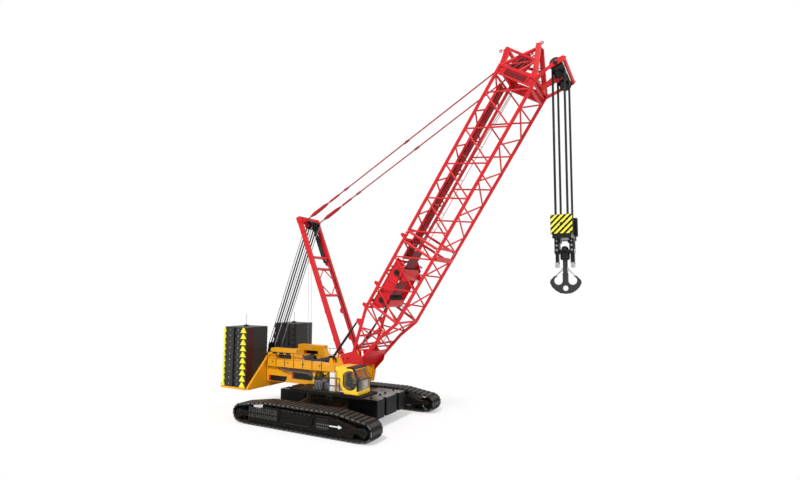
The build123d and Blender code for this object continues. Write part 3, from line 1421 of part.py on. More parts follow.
def face_places(chord, stations, near_first):
    """Nodes of the face lacing, in turn on the near and the far chord."""
    places = []
    for i, s in enumerate(stations):
        near = (i % 2 == 0) == near_first
        y = LACE_INSET - BOOM_Y if near else BOOM_Y - LACE_INSET
        places.append((s, y, chord(s)))
    return places


def face_lacing(places, s_ends, chord):
    """One face: lacing and the tubes across at its ends, fitted to the chords."""
    reach = BOOM_Y - LACE_INSET
    pieces = zigzag(places, LACE_RADIUS)
    for s in s_ends:
        pieces.append(boom_tube((s, -reach, chord(s)), (s, reach, chord(s)), FRAME_TUBE_RADIUS))
    return pieces


def trimmed(shape):
    """Cut where the chords pass."""
    for side in (-1, 1):
        y = side * BOOM_Y
        for bar in chord_lines(y, CHORD_RADIUS + SEAT):
            shape = shape - bar
        reach = CONNECTOR_LENGTH + 2 * SEAT
        for n in (-BOOM_DEPTH, BOOM_DEPTH):
            ends = ((JOINT_S - reach, y, n), (JOINT_S + reach, y, n))
            shape = shape - boom_tube(*ends, CONNECTOR_RADIUS + SEAT)
    return shape


def connectors(y, s, away):
    """Thicker ends of the chords at the joint between the sections."""
    pieces = []
    for n in (-BOOM_DEPTH, BOOM_DEPTH):
        pieces.append(boom_tube((s, y, n), (s + away * CONNECTOR_LENGTH, y, n), CONNECTOR_RADIUS))
    return pieces


def boom_base():
    """Two side frames from the foot to the joint, and the lacing between them."""
    stations = spread(BASE_START, BASE_END, BASE_BAYS + 1)
    foot_outline = [
        (-FOOT_RADIUS, 0),
        (-FOOT_CHAMFER, -FOOT_CHAMFER),
        *FOOT_EDGE,
        (0, FOOT_RADIUS),
        (-FOOT_CHAMFER, FOOT_CHAMFER),
    ]
    half = FOOT_PLATE / 2
    frames = []
    for side in (-1, 1):
        y = side * BOOM_Y
        members = [boom_plate(foot_outline, y - half, y + half)]
        upper = [CHORD_START_UPPER, (KINK_UPPER, -BOOM_DEPTH), (JOINT_S, -BOOM_DEPTH)]
        lower = [CHORD_START_LOWER, CHORD_BEND_LOWER, (KINK_LOWER, BOOM_DEPTH), (JOINT_S, BOOM_DEPTH)]
        for line in (upper, lower):
            for (s0, n0), (s1, n1) in zip(line, line[1:]):
                members.append(boom_tube((s0, y, n0), (s1, y, n1), CHORD_RADIUS))
        places = []
        for i, s in enumerate((CHORD_START_UPPER[0], *FOOT_KNEES, KINK_UPPER)):
            places.append((s, y, lower_chord(s) if i % 2 else upper_chord(s)))
        members += zigzag(places, LACE_RADIUS)
        members += zigzag(side_places(y, stations, side < 0), LACE_RADIUS)
        for s in (BASE_START, BASE_END):
            members.append(boom_tube((s, y, -BOOM_DEPTH), (s, y, BOOM_DEPTH), LACE_RADIUS))
        members += connectors(y, JOINT_S, -1)
        for s in FIN_PLACES:
            fin = [
                (s - FIN_HALF, -BOOM_DEPTH),
                (s + FIN_HALF, -BOOM_DEPTH),
                (s + FIN_TIP_HALF, -BOOM_DEPTH - FIN_HEIGHT),
                (s - FIN_TIP_HALF, -BOOM_DEPTH - FIN_HEIGHT),
            ]
            members.append(boom_plate(fin, y - FIN_THICKNESS / 2, y + FIN_THICKNESS / 2))
        stop_fin = [
            (STOP_PIN_S - STOP_FIN_BASE, STOP_PIN_N + STOP_FIN_RISE),
            (STOP_PIN_S + STOP_FIN_BASE, STOP_PIN_N + STOP_FIN_RISE - STOP_LUG),
            (STOP_PIN_S + STOP_LUG_TOP, STOP_PIN_N - STOP_LUG_TOP),
            (STOP_PIN_S - STOP_LUG_TOP, STOP_PIN_N - STOP_LUG_TOP),
        ]
        for gap in (-STOP_EYE_HALF - RUNNING - STOP_LUG, STOP_EYE_HALF + RUNNING):
            members.append(boom_plate(stop_fin, side * STOP_Y + gap, side * STOP_Y + gap + STOP_LUG))
        frame = joined(members)
        reach = y - BOOM_Y, y + BOOM_Y
        frame = frame - pin(BOOM_X, BOOM_Z, *reach, FOOT_PIN_RADIUS + PIN_FIT)
        for s, n in FOOT_HOLES:
            frame = frame - pin(*boom_xz(s, n), *reach, FOOT_HOLE_RADIUS)
        frames.append(frame)
    write("boom_base", frames)

    # Upper face, and lower face with the closed plate near the foot
    upper_places = face_places(upper_chord, [FOOT_RUNG, FOOT_FRAME, *stations], True)
    upper_ends = (FOOT_RUNG, KINK_UPPER, BASE_START + 2 * FRAME_TUBE_RADIUS, BASE_END)
    upper = joined(face_lacing(upper_places, upper_ends, upper_chord))
    lower_places = face_places(lower_chord, [FOOT_COVER_END, CHORD_BEND_LOWER[0], *stations], False)
    reach = BOOM_Y - CHORD_RADIUS
    s0 = FOOT_COVER_START
    s1 = FOOT_COVER_END
    cover = boom_plate(
        [
            (s0, lower_chord(s0)),
            (s1, lower_chord(s1)),
            (s1, lower_chord(s1) + FOOT_COVER_THICKNESS),
            (s0, lower_chord(s0) + FOOT_COVER_THICKNESS),
        ],
        -reach, reach,
    )
    lower = joined(face_lacing(lower_places, (FOOT_RUNG, BASE_START, BASE_END), lower_chord) + [cover])
    write("boom_base_lacing", [trimmed(upper), trimmed(lower)])


def boom_top():
    """Two side frames from the joint to the head, and the lacing between them."""
    stations = spread(JOINT_S + TOP_MARGIN, HEAD_S - HEAD_MARGIN, TOP_BAYS + 1)
    s0 = JOINT_S + SEAT
    frames = []
    for side in (-1, 1):
        y = side * BOOM_Y
        members = []
        for n in (-BOOM_DEPTH, BOOM_DEPTH):
            members.append(boom_tube((s0, y, n), (HEAD_S, y, n), CHORD_RADIUS))
        members += zigzag(side_places(y, stations, side > 0), LACE_RADIUS)
        members.append(boom_tube((stations[0], y, -BOOM_DEPTH), (stations[0], y, BOOM_DEPTH), LACE_RADIUS))
        members += connectors(y, s0, 1)
        frames.append(joined(members))
    write("boom_top_section", frames)
    faces = []
    for chord, near_first in ((upper_chord, False), (lower_chord, True)):
        places = face_places(chord, stations, near_first)
        ends = (stations[0] + CONNECTOR_RADIUS, stations[-1])
        faces.append(trimmed(joined(face_lacing(places, ends, chord))))
    write("boom_top_lacing", faces)


def eye_plate(s, n, foot_s, foot_n, y, radius):
    """Round eye on a short plate that starts at the foot."""
    half = EYE_THICKNESS / 2
    stem = boom_tube((foot_s, y, foot_n), (s, y, n), half)
    disc = pin(*boom_xz(s, n), y - half, y + half, radius)
    return joined([stem, disc]) - pin(*boom_xz(s, n), y - 2 * half, y + 2 * half, radius / 2)


def boom_head():
    """Side panels, posts, spikes, sheave arms and the bar in front of the sheaves."""
    members = []
    for s, n in (HEAD_CROSS_UPPER, HEAD_CROSS_LOWER):
        members.append(boom_tube((s, -BOOM_Y, n), (s, BOOM_Y, n), HEAD_CROSS_RADIUS))
    edge = BOOM_DEPTH + CHORD_RADIUS + RUNNING
    panel = [
        (HEAD_S + SEAT, -edge),
        (POST_FOOT[0] + WELD, -edge),
        (POST_FOOT[0] + 2 * HEAD_PANEL_HALF, lower_chord(HEAD_S)),
        (POST_FOOT[0], edge),
        (HEAD_S + SEAT, edge),
    ]
    recess = grown(
        [
            (HEAD_S + SEAT, -BOOM_DEPTH),
            (POST_FOOT[0], -BOOM_DEPTH),
            (POST_FOOT[0], BOOM_DEPTH),
            (HEAD_S + SEAT, BOOM_DEPTH),
        ],
        -HEAD_PANEL_HALF - WELD,
    )
    axle_x, axle_z = boom_xz(HEAD_AXLE_S, HEAD_AXLE_N)
    mid_s = (POST_FOOT[0] + POST_TOP[0]) / 2
    mid_n = (POST_FOOT[1] + POST_TOP[1]) / 2
    mid_y = (BOOM_Y + POST_TOP_Y) / 2
    arm_middle = ARM_Y + ARM_PLATE / 2
    for side in (-1, 1):
        y = side * BOOM_Y
        plate = boom_plate(panel, y - HEAD_PANEL_HALF, y + HEAD_PANEL_HALF)
        outer = side * (BOOM_Y + HEAD_PANEL_HALF + CUT_OVER)
        floor = side * (BOOM_Y + HEAD_PANEL_HALF - HEAD_PANEL_RECESS)
        members.append(plate - boom_plate(recess, outer, floor))
        rods = [
            # start, end, radius
            ((*POST_FOOT, y), (*POST_TOP, side * POST_TOP_Y), POST_RADIUS),
            ((*STRUT_FOOT, y), (*STRUT_TOP, side * STRUT_TOP_Y), STRUT_RADIUS),
            ((*STRUT_TOP, side * STRUT_TOP_Y), (*POST_TOP, side * POST_TOP_Y), STRUT_RADIUS),
            ((*SPIKE_FOOT, side * SPIKE_Y), (*SPIKE_TIP, side * SPIKE_Y), SPIKE_RADIUS),
            ((*SPIKE_TIP, side * SPIKE_Y), (mid_s, mid_n, side * mid_y), STRUT_RADIUS),
            ((*STRUT_FOOT, y), (mid_s, mid_n, side * mid_y), LACE_RADIUS),
            ((STRUT_FOOT[0], 0, y), (mid_s, mid_n, side * mid_y), LACE_RADIUS),
            ((STRUT_FOOT[0], HEAD_CROSS_LOWER[1], y), (*ARM_ROOT, side * arm_middle), HEAD_ARM_RADIUS),
        ]
        for (s0, n0, y0), (s1, n1, y1), radius in rods:
            members.append(boom_tube((s0, y0, n0), (s1, y1, n1), radius))
        arm = [
            (ARM_ROOT[0] - HEAD_ARM_RADIUS, ARM_ROOT[1] - HEAD_ARM_RADIUS),
            (HEAD_AXLE_S + HEAD_AXLE_RADIUS, HEAD_AXLE_N - 2 * HEAD_AXLE_RADIUS),
            (NOSE_BAR[0] + NOSE_BAR_RADIUS, NOSE_BAR[1] - NOSE_BAR_RADIUS),
            (NOSE_BAR[0] + NOSE_BAR_RADIUS, NOSE_BAR[1] + NOSE_BAR_RADIUS),
            (NOSE_BAR[0] - NOSE_BAR_RADIUS, NOSE_BAR[1] + NOSE_BAR_RADIUS),
            (ARM_ROOT[0] - HEAD_ARM_RADIUS, ARM_ROOT[1] + HEAD_ARM_RADIUS),
        ]
        members.append(boom_plate(arm, side * ARM_Y, side * (ARM_Y + ARM_PLATE)))
        eye_foot = (SPIKE_TIP[0] - 2 * SPIKE_RADIUS, SPIKE_TIP[1])
        members.append(eye_plate(*SPIKE_EYE, *eye_foot, side * SPIKE_Y, EYE_RADIUS))
        members.append(eye_plate(*NOSE_EYE, *NOSE_BAR, side * NOSE_EYE_Y, NOSE_EYE_RADIUS))
        centre = [
            (HEAD_CROSS_LOWER[0] - HEAD_CROSS_RADIUS / 2, HEAD_CROSS_LOWER[1]),
            (HEAD_CROSS_LOWER[0] + HEAD_CROSS_RADIUS / 2, HEAD_CROSS_LOWER[1] - HEAD_CROSS_RADIUS / 2),
            (HEAD_AXLE_S + 2 * HEAD_AXLE_RADIUS, HEAD_AXLE_N - 2 * HEAD_AXLE_RADIUS),
            (HEAD_AXLE_S + 2 * HEAD_AXLE_RADIUS, HEAD_AXLE_N + 2 * HEAD_AXLE_RADIUS),
            (HEAD_AXLE_S - 2 * HEAD_AXLE_RADIUS, HEAD_AXLE_N + 2 * HEAD_AXLE_RADIUS),
        ]
        members.append(boom_plate(centre, side * CENTRE_PLATE_Y, side * (CENTRE_PLATE_Y + CENTRE_PLATE)))
        lug = [
            (HEAD_CROSS_UPPER[0] - HEAD_CROSS_RADIUS / 2, HEAD_CROSS_UPPER[1] - HEAD_CROSS_RADIUS / 2),
            (HEAD_CROSS_UPPER[0] + HEAD_CROSS_RADIUS / 2, HEAD_CROSS_UPPER[1] + HEAD_CROSS_RADIUS / 2),
            (PENDANT_PIN_S + PENDANT_EYE_RADIUS, PENDANT_PIN_N + PENDANT_PIN_RADIUS),
            (PENDANT_PIN_S + PENDANT_EYE_RADIUS, PENDANT_PIN_N - PENDANT_PIN_RADIUS),
            (PENDANT_PIN_S - PENDANT_EYE_RADIUS, PENDANT_PIN_N - PENDANT_PIN_RADIUS),
        ]
        gap = PENDANT_RADIUS + RUNNING
        for lug_y in (PENDANT_Y - gap - PENDANT_LUG, PENDANT_Y + gap):
            members.append(boom_plate(lug, side * lug_y, side * (lug_y + PENDANT_LUG)))
    for s, n, y_end, radius in (
        # tubes across: place, half length, radius
        (*POST_TOP, POST_TOP_Y, POST_RADIUS),
        (*SPIKE_TIP, SPIKE_Y, SPIKE_RADIUS),
        (*NOSE_BAR, ARM_Y + ARM_PLATE, NOSE_BAR_RADIUS),
    ):
        members.append(boom_tube((s, -y_end, n), (s, y_end, n), radius))
    members.append(eye_plate(TOP_EYE_S, POST_TOP[1], *POST_TOP, 0, EYE_RADIUS))
    head = joined(members)
    head = head - pin(axle_x, axle_z, -HEAD_AXLE_HALF, HEAD_AXLE_HALF, HEAD_AXLE_RADIUS + PIN_FIT)
    write("boom_head", [head])

    # Head sheaves on their axle, with grooves between flanges
    pieces = [pin(axle_x, axle_z, -HEAD_AXLE_HALF, HEAD_AXLE_HALF, HEAD_AXLE_RADIUS)]
    groove = FALL_OFFSET - FALL_RADIUS - SEAT
    width = HEAD_FLANGE_WIDTH / 2
    for side in (-1, 1):
        pieces.append(pin(axle_x, axle_z, side * HEAD_SHEAVE_INNER, side * HEAD_SHEAVE_OUTER, groove))
        for y in spread(HEAD_SHEAVE_INNER + width, HEAD_SHEAVE_OUTER - width, HEAD_FLANGES):
            pieces.append(pin(axle_x, axle_z, side * (y - width), side * (y + width), HEAD_SHEAVE_RADIUS))
    write("head_sheaves", [joined(pieces)])


def boom_fittings():
    """Catwalk under the upper face and the two winches."""
    n0 = -BOOM_DEPTH + FRAME_TUBE_RADIUS + SEAT
    n1 = n0 + CATWALK_RISE
    strip = boom_plate(
        [(CATWALK_START, n0), (CATWALK_END, n0), (CATWALK_END, n1), (CATWALK_START, n1)],
        -CATWALK_WIDTH / 2, CATWALK_WIDTH / 2,
    )
    write("boom_catwalk", [strip])
    top = -BOOM_DEPTH + LACE_RADIUS + 2 * SEAT
    beam_n = top + WINCH_BEAM_RADIUS
    reach = BOOM_Y - LACE_RADIUS - 2 * SEAT
    winches = []
    for middle, half, low in BOOM_WINCHES:
        x, z = boom_xz(middle, BOOM_DRUM_N)
        pieces = [
            pin(x, z, -BOOM_DRUM_HALF, BOOM_DRUM_HALF, BOOM_DRUM_RADIUS),
            pin(x, z, -BOOM_CHEEK_Y, BOOM_CHEEK_Y, BOOM_SHAFT_RADIUS),
        ]
        cheek = [
            (middle - half, beam_n),
            (middle + half, beam_n),
            (middle + half - CHEEK_TAPER, low),
            (middle - half + CHEEK_TAPER, low),
        ]
        for side in (-1, 1):
            y = side * BOOM_CHEEK_Y
            pieces.append(boom_plate(cheek, y, y + side * BOOM_CHEEK_THICKNESS))
            edge = side * BOOM_DRUM_HALF
            pieces.append(pin(x, z, edge, edge + side * FLANGE_THICKNESS, BOOM_FLANGE_RADIUS))
            pieces.append(pin(x, z, edge, y + side * WELD, BOOM_SHAFT_RADIUS))
        for s in (middle - half + CHEEK_TAPER, middle + half - CHEEK_TAPER):
            pieces.append(boom_tube((s, -reach, beam_n), (s, reach, beam_n), WINCH_BEAM_RADIUS))
        winches.append(trimmed(joined(pieces)))
    write("boom_winches", winches)


def backstops():
    """Telescopic struts between the platform and the boom."""
    ex, ez = boom_xz(STOP_PIN_S, STOP_PIN_N)
    run = hypot(ex - STOP_X, ez - STOP_Z)
    ux = (ex - STOP_X) / run
    uz = (ez - STOP_Z) / run
    barrels = []
    rods = []
    for side in (-1, 1):
        y = side * STOP_Y

        def along(distance):
            return STOP_X + ux * distance, y, STOP_Z + uz * distance

        half = STOP_BARREL_RADIUS
        barrel = joined(
            [
                tube(along(STOP_BARREL_START), along(STOP_BARREL_LENGTH), half),
                pin(STOP_X, STOP_Z, y - half, y + half, STOP_BASE_RADIUS),
            ]
        )
        bore = tube(along(STOP_BORE_START), along(STOP_BARREL_LENGTH + CUT_OVER), STOP_ROD_RADIUS + PIN_FIT)
        hole = pin(STOP_X, STOP_Z, y - 2 * half, y + 2 * half, STOP_PIN_RADIUS + PIN_FIT)
        barrels.append(barrel - bore - hole)
        neck = run - STOP_ROD_NECK
        rods.append(
            joined(
                [
                    tube(along(run - STOP_ROD_LENGTH), along(neck), STOP_ROD_RADIUS),
                    tube(along(neck - WELD), along(run), STOP_EYE_HALF),
                    pin(ex, ez, y - STOP_EYE_HALF, y + STOP_EYE_HALF, STOP_EYE_RADIUS),
                ]
            )
        )
    write("backstop_barrels", barrels)
    write("backstop_rods", rods)


def hook_block():
    """Falls, block halves, crosshead and double hook."""
    ax, az = boom_xz(HEAD_AXLE_S, HEAD_AXLE_N)
    core = FALL_OFFSET - FALL_RADIUS - SEAT
    thick = BLOCK_HALF_THICKNESS
    falls = []
    pieces = []
    for side in (-1, 1):
        y = side * FALL_Y
        for x in (ax - FALL_OFFSET, ax + FALL_OFFSET):
            falls.append(tube((x, y, BLOCK_SHEAVE_Z), (x, y, az), FALL_RADIUS))
        for y0 in (y - thick, y + thick - BLOCK_PLATE_THICKNESS):
            pieces.append(
                block(
                    ax - BLOCK_PLATE_HALF, ax + BLOCK_PLATE_HALF, y0, y0 + BLOCK_PLATE_THICKNESS,
                    BLOCK_PLATE_BOTTOM, BLOCK_PLATE_TOP,
                )
            )
        pieces.append(pin(ax, BLOCK_SHEAVE_Z, y - thick - WELD, y + thick + WELD, BLOCK_AXLE_RADIUS))
        pieces.append(pin(ax, BLOCK_SHEAVE_Z, y - BLOCK_ROPE_HALF, y + BLOCK_ROPE_HALF, core))
        pieces.append(
            block(
                ax - BLOCK_FOOT_HALF, ax + BLOCK_FOOT_HALF, y - thick + WELD, y + thick - WELD,
                BLOCK_PLATE_BOTTOM - BLOCK_FOOT_DEPTH, BLOCK_PLATE_BOTTOM + BLOCK_PLATE_THICKNESS,
            )
        )
        pieces.append(
            block(
                ax + side * (CHEEK_X - CHEEK_HALF), ax + side * (CHEEK_X + CHEEK_HALF), -CHEEK_Y, CHEEK_Y,
                CHEEK_BOTTOM, BLOCK_BEAM_TOP,
            )
        )
    write("falls", falls)
    cross = CHEEK_X + CHEEK_HALF
    beam = BLOCK_BEAM_HALF
    body = joined(
        [
            *pieces,
            block(ax - beam, ax + beam, -FALL_Y, FALL_Y, BLOCK_BEAM_BOTTOM, BLOCK_BEAM_TOP),
            block(ax - cross, ax + cross, -CHEEK_Y, CHEEK_Y, BLOCK_BEAM_BOTTOM, BLOCK_BEAM_TOP - WELD),
            block(ax - CHEEK_X, ax + CHEEK_X, -TRUNNION_Y, TRUNNION_Y, TRUNNION_BOTTOM, TRUNNION_TOP),
        ]
    )
    body = body - post(ax, 0, CHEEK_BOTTOM, TRUNNION_TOP + CUT_OVER, HOOK_SHANK_RADIUS + PIN_FIT)
    write("hook_block", [body])

    # Double hook: a flat outline with two round throats and a hole, plus its shank
    thick = HOOK_THICKNESS / 2
    right = [*HOOK_EDGE, (HORN_OUTER, HORN_TOP)]
    outline = [(ax, HOOK_BOTTOM)]
    for share, rise in right:
        outline.append((ax + share * HOOK_HALF_WIDTH, HOOK_BOTTOM + rise))
    outline.append((ax + HORN_INNER, HOOK_BOTTOM + HORN_TOP))
    outline.append((ax - HORN_INNER, HOOK_BOTTOM + HORN_TOP))
    for share, rise in reversed(right):
        outline.append((ax - share * HOOK_HALF_WIDTH, HOOK_BOTTOM + rise))
    hook = profile_xz(outline, -thick, thick)
    for side in (-1, 1):
        x = ax + side * THROAT_X
        z = HOOK_BOTTOM + THROAT_RISE
        hook = hook - pin(x, z, -HOOK_THICKNESS, HOOK_THICKNESS, THROAT_RADIUS)
        mouth = [
            (ax + side * HOOK_STEM_HALF, z),
            (ax + side * HOOK_STEM_HALF, HOOK_BOTTOM + HORN_TOP + CUT_OVER),
            (ax + side * HORN_INNER, HOOK_BOTTOM + HORN_TOP + CUT_OVER),
            (ax + side * (HORN_INNER + WELD), z),
        ]
        hook = hook - profile_xz(mouth, -HOOK_THICKNESS, HOOK_THICKNESS)
    stem = block(
        ax - HOOK_STEM_HALF, ax + HOOK_STEM_HALF, -thick, thick, HOOK_BOTTOM + HOOK_EYE_RISE, HOOK_STEM_TOP
    )
    shank = post(ax, 0, HOOK_SHANK_BOTTOM, HOOK_SHANK_TOP, HOOK_SHANK_RADIUS)
    nut = post(ax, 0, TRUNNION_TOP + SEAT, TRUNNION_TOP + HOOK_NUT_HEIGHT, HOOK_NUT_RADIUS)
    hook = joined([hook, stem, shank, nut])
    hook = hook - pin(ax, HOOK_BOTTOM + HOOK_EYE_RISE, -HOOK_THICKNESS, HOOK_THICKNESS, HOOK_EYE_RADIUS)
    write("hook", [hook])


undercarriage()
platform()
counterweight()
cab()
mast()
boom_base()
boom_top()
boom_head()
boom_fittings()
backstops()
hook_block()
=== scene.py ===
"""Scene of the crawler crane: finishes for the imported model, and its ropes, glass, pipes and fittings.

Lengths are metres. +X points to the boom side, +Y to the crane's left and +Z up.
"""

from __future__ import annotations

import logging
from dataclasses import dataclass
from enum import Enum
from math import acos, atan2, cos, hypot, pi, radians, sin
from typing import Iterable, Sequence

import bmesh
import bpy
from mathutils import Matrix, Vector


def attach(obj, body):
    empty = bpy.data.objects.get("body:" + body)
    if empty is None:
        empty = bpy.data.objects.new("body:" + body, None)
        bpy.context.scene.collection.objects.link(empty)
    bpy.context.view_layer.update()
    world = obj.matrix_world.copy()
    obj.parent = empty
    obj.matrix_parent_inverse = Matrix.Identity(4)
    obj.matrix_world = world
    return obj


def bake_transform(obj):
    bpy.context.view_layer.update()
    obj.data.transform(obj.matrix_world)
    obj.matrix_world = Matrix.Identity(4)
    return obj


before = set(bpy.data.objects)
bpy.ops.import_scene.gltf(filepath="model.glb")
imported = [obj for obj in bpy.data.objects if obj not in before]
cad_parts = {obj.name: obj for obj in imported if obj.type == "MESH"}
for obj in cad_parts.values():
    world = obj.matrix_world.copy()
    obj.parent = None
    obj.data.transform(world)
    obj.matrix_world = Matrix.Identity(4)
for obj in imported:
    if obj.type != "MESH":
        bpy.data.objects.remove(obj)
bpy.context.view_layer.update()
log = logging.getLogger("crane")

Point = Sequence[float]
Pair = tuple[float, float]
Colour = tuple[float, float, float]
SIDES = (-1, 1)
UP = (0.0, 0.0, 1.0)


class Body(Enum):
    """The moving bodies that a piece can ride on."""

    UNDERCARRIAGE = "undercarriage"
    PLATFORM = "platform"
    DOOR = "cab_door"
    MAST = "mast"
    PENDANTS = "pendants"
    BOOM = "boom"
    BLOCK = "hook_block"
    HOOK = "hook"


class Slot(Enum):
    """Names of material slots, which each piece is handed but does not use."""

    BLACK = "black_paint"
    DARK = "dark_steel"
    YELLOW = "yellow_paint"
    RED = "red_paint"
    GREY = "grey_paint"
    ROPE = "rope"
    WHITE = "white_paint"
    STEEL = "steel"


class Pattern(Enum):
    """What a finish has besides its base colour."""

    PLAIN = "plain"
    HAZARD = "hazard"
    GRATING = "grating"
    STRANDS = "strands"
    WEAVE = "weave"
    GLASS = "glass"


class Effect(Enum):
    """The shader effects that several finishes share."""

    MOTTLE = "mottle"
    DUST = "dust"
    EDGE_WEAR = "edge_wear"
    GRAIN = "grain"
    BANDS = "bands"


class Graph:
    """Places and links the nodes of one tree."""

    def __init__(self, tree: bpy.types.NodeTree) -> None:
        """Keep the tree that the nodes go to."""
        self.tree = tree

    def add(
        self, kind: str, inputs: dict[str | int, object] | None = None, **settings: object
    ) -> bpy.types.Node:
        """Place a node.

        Args:
            kind: The node's type name.
            inputs: Values or sockets by input name or number.
            settings: Properties of the node.

        Returns:
            The new node.
        """
        node = self.tree.nodes.new(kind)
        for key, value in settings.items():
            setattr(node, key, value)
        for key, value in (inputs or {}).items():
            if isinstance(value, bpy.types.NodeSocket):
                self.tree.links.new(value, node.inputs[key])
            else:
                node.inputs[key].default_value = value
        return node

    def join(self, source: bpy.types.NodeSocket, target: bpy.types.NodeSocket) -> None:
        """Link an output to an input."""
        self.tree.links.new(source, target)

    def math(self, operation: str, a: object, b: object = 0.0) -> bpy.types.NodeSocket:
        """Return the result of a math node on two values."""
        return self.add("ShaderNodeMath", {0: a, 1: b}, operation=operation).outputs[0]

    def dot(self, a: object, b: object) -> bpy.types.NodeSocket:
        """Return the dot product of two vectors."""
        return self.add("ShaderNodeVectorMath", {0: a, 1: b}, operation="DOT_PRODUCT").outputs["Value"]

    def ranged(self, value: object, source: Pair, target: Pair = (0.0, 1.0)) -> bpy.types.NodeSocket:
        """Return the value moved from one range to another and held within it."""
        settings = {0: value, 1: source[0], 2: source[1], 3: target[0], 4: target[1]}
        return self.add("ShaderNodeMapRange", settings).outputs[0]

    def mix(self, share: object, a: object, b: object) -> bpy.types.NodeSocket:
        """Return the colour between a and b at the share."""
        return self.add("ShaderNodeMix", {0: share, 6: a, 7: b}, data_type="RGBA").outputs[2]

    def place(self) -> bpy.types.NodeSocket:
        """Return the surface point in the object's own frame."""
        return self.add("ShaderNodeTexCoord").outputs["Object"]

    def noise(self, scale: object, detail: float = 4.0) -> bpy.types.NodeSocket:
        """Return smooth noise around one half."""
        settings = {"Vector": self.place(), "Scale": scale, "Detail": detail}
        return self.add("ShaderNodeTexNoise", settings).outputs[0]


def opaque(colour: Colour) -> tuple[float, float, float, float]:
    """Return the colour with full alpha."""
    return (*colour, 1.0)


class Effects:
    """The shader node groups that the finishes share, each built once."""

    def __init__(self) -> None:
        """Start with no group built."""
        self.built: dict[Effect, bpy.types.NodeTree] = {}

    def group(self, effect: Effect) -> bpy.types.NodeTree:
        """Return an effect's node group, building it the first time.

        Args:
            effect: The effect that a finish needs.

        Returns:
            The effect's node group.
        """
        if effect not in self.built:
            self.built[effect] = getattr(self, effect.value)()
        return self.built[effect]

    @staticmethod
    def start(
        name: str, inputs: dict[str, object], outputs: Iterable[str]
    ) -> tuple[bpy.types.NodeTree, Graph, bpy.types.Node, bpy.types.Node]:
        """Begin a node group.

        Args:
            name: The group's name.
            inputs: Input names with a number, colour or vector as default.
            outputs: Output names; "Colour" is a colour and the rest are numbers.

        Returns:
            The group, its graph, its input node and its output node.
        """
        tree = bpy.data.node_groups.new(name, "ShaderNodeTree")
        for label, default in inputs.items():
            kind = "NodeSocketFloat"
            if isinstance(default, tuple):
                kind = "NodeSocketColor" if len(default) == 4 else "NodeSocketVector"
            tree.interface.new_socket(label, in_out="INPUT", socket_type=kind).default_value = default
        for label in outputs:
            kind = "NodeSocketColor" if label == "Colour" else "NodeSocketFloat"
            tree.interface.new_socket(label, in_out="OUTPUT", socket_type=kind)
        graph = Graph(tree)
        return tree, graph, graph.add("NodeGroupInput"), graph.add("NodeGroupOutput")

    def mottle(self) -> bpy.types.NodeTree:
        """Build the uneven brightness of paint, in large clouds and small specks.

        Returns:
            A group that puts out the colour and the mask of the clouds.
        """
        inputs = {"Colour": opaque((0.5, 0.5, 0.5)), "Scale": 1.0, "Amount": 0.1}
        tree, graph, given, out = self.start("mottled_paint", inputs, ("Colour", "Mask"))
        cloud = graph.noise(given.outputs["Scale"], 5.0)
        fine = graph.noise(graph.math("MULTIPLY", given.outputs["Scale"], 9.0), 3.0)
        both = graph.math("ADD", graph.math("MULTIPLY", cloud, 1.4), graph.math("MULTIPLY", fine, 0.6))
        shift = graph.math("MULTIPLY", graph.math("SUBTRACT", both, 1.0), given.outputs["Amount"])
        value = graph.math("ADD", shift, 1.0)
        hue = graph.add("ShaderNodeHueSaturation", {"Value": value, "Color": given.outputs["Colour"]})
        graph.join(hue.outputs[0], out.inputs["Colour"])
        graph.join(graph.math("MULTIPLY", both, 0.5), out.inputs["Mask"])
        return tree

    def dust(self) -> bpy.types.NodeTree:
        """Build the dust on what faces up, with more dirt near the ground.

        Returns:
            A group that puts out the dusty colour and the mask of the dust.
        """
        inputs = {"Colour": opaque((0.5, 0.5, 0.5)), "Dust": opaque((0.3, 0.25, 0.2)), "Amount": 0.2}
        inputs["Low"] = 0.0
        tree, graph, given, out = self.start("settled_dust", inputs, ("Colour", "Mask"))
        normal = graph.add("ShaderNodeNewGeometry").outputs["Normal"]
        up = graph.add("ShaderNodeSeparateXYZ", {0: normal}).outputs["Z"]
        height = graph.add("ShaderNodeSeparateXYZ", {0: graph.place()}).outputs["Z"]
        low = graph.math("MULTIPLY", graph.ranged(height, (1.7, 0.1)), given.outputs["Low"])
        lying = graph.math("MULTIPLY", graph.math("MAXIMUM", up, 0.0), given.outputs["Amount"])
        share = graph.math("ADD", lying, low)
        patches = graph.ranged(graph.noise(2.2, 6.0), (0.35, 0.65), (0.25, 1.2))
        mask = graph.math("MINIMUM", graph.math("MULTIPLY", share, patches), 0.9)
        graph.join(graph.mix(mask, given.outputs["Colour"], given.outputs["Dust"]), out.inputs["Colour"])
        graph.join(mask, out.inputs["Mask"])
        return tree

    def edge_wear(self) -> bpy.types.NodeTree:
        """Build the wear of paint along edges, in broken patches.

        Returns:
            A group that puts out the worn colour and the mask of the bare patches.
        """
        inputs = {"Colour": opaque((0.5, 0.5, 0.5)), "Bare": opaque((0.3, 0.3, 0.3)), "Amount": 0.3}
        inputs["Width"] = 0.012
        tree, graph, given, out = self.start("edge_wear", inputs, ("Colour", "Mask"))
        rounded = graph.add("ShaderNodeBevel", {"Radius": given.outputs["Width"]}, samples=3).outputs[0]
        flat = graph.add("ShaderNodeNewGeometry").outputs["Normal"]
        edge = graph.ranged(graph.dot(rounded, flat), (0.98, 0.75))
        broken = graph.ranged(graph.noise(14.0, 6.0), (0.42, 0.62))
        mask = graph.math("MULTIPLY", graph.math("MULTIPLY", edge, broken), given.outputs["Amount"])
        graph.join(graph.mix(mask, given.outputs["Colour"], given.outputs["Bare"]), out.inputs["Colour"])
        graph.join(mask, out.inputs["Mask"])
        return tree

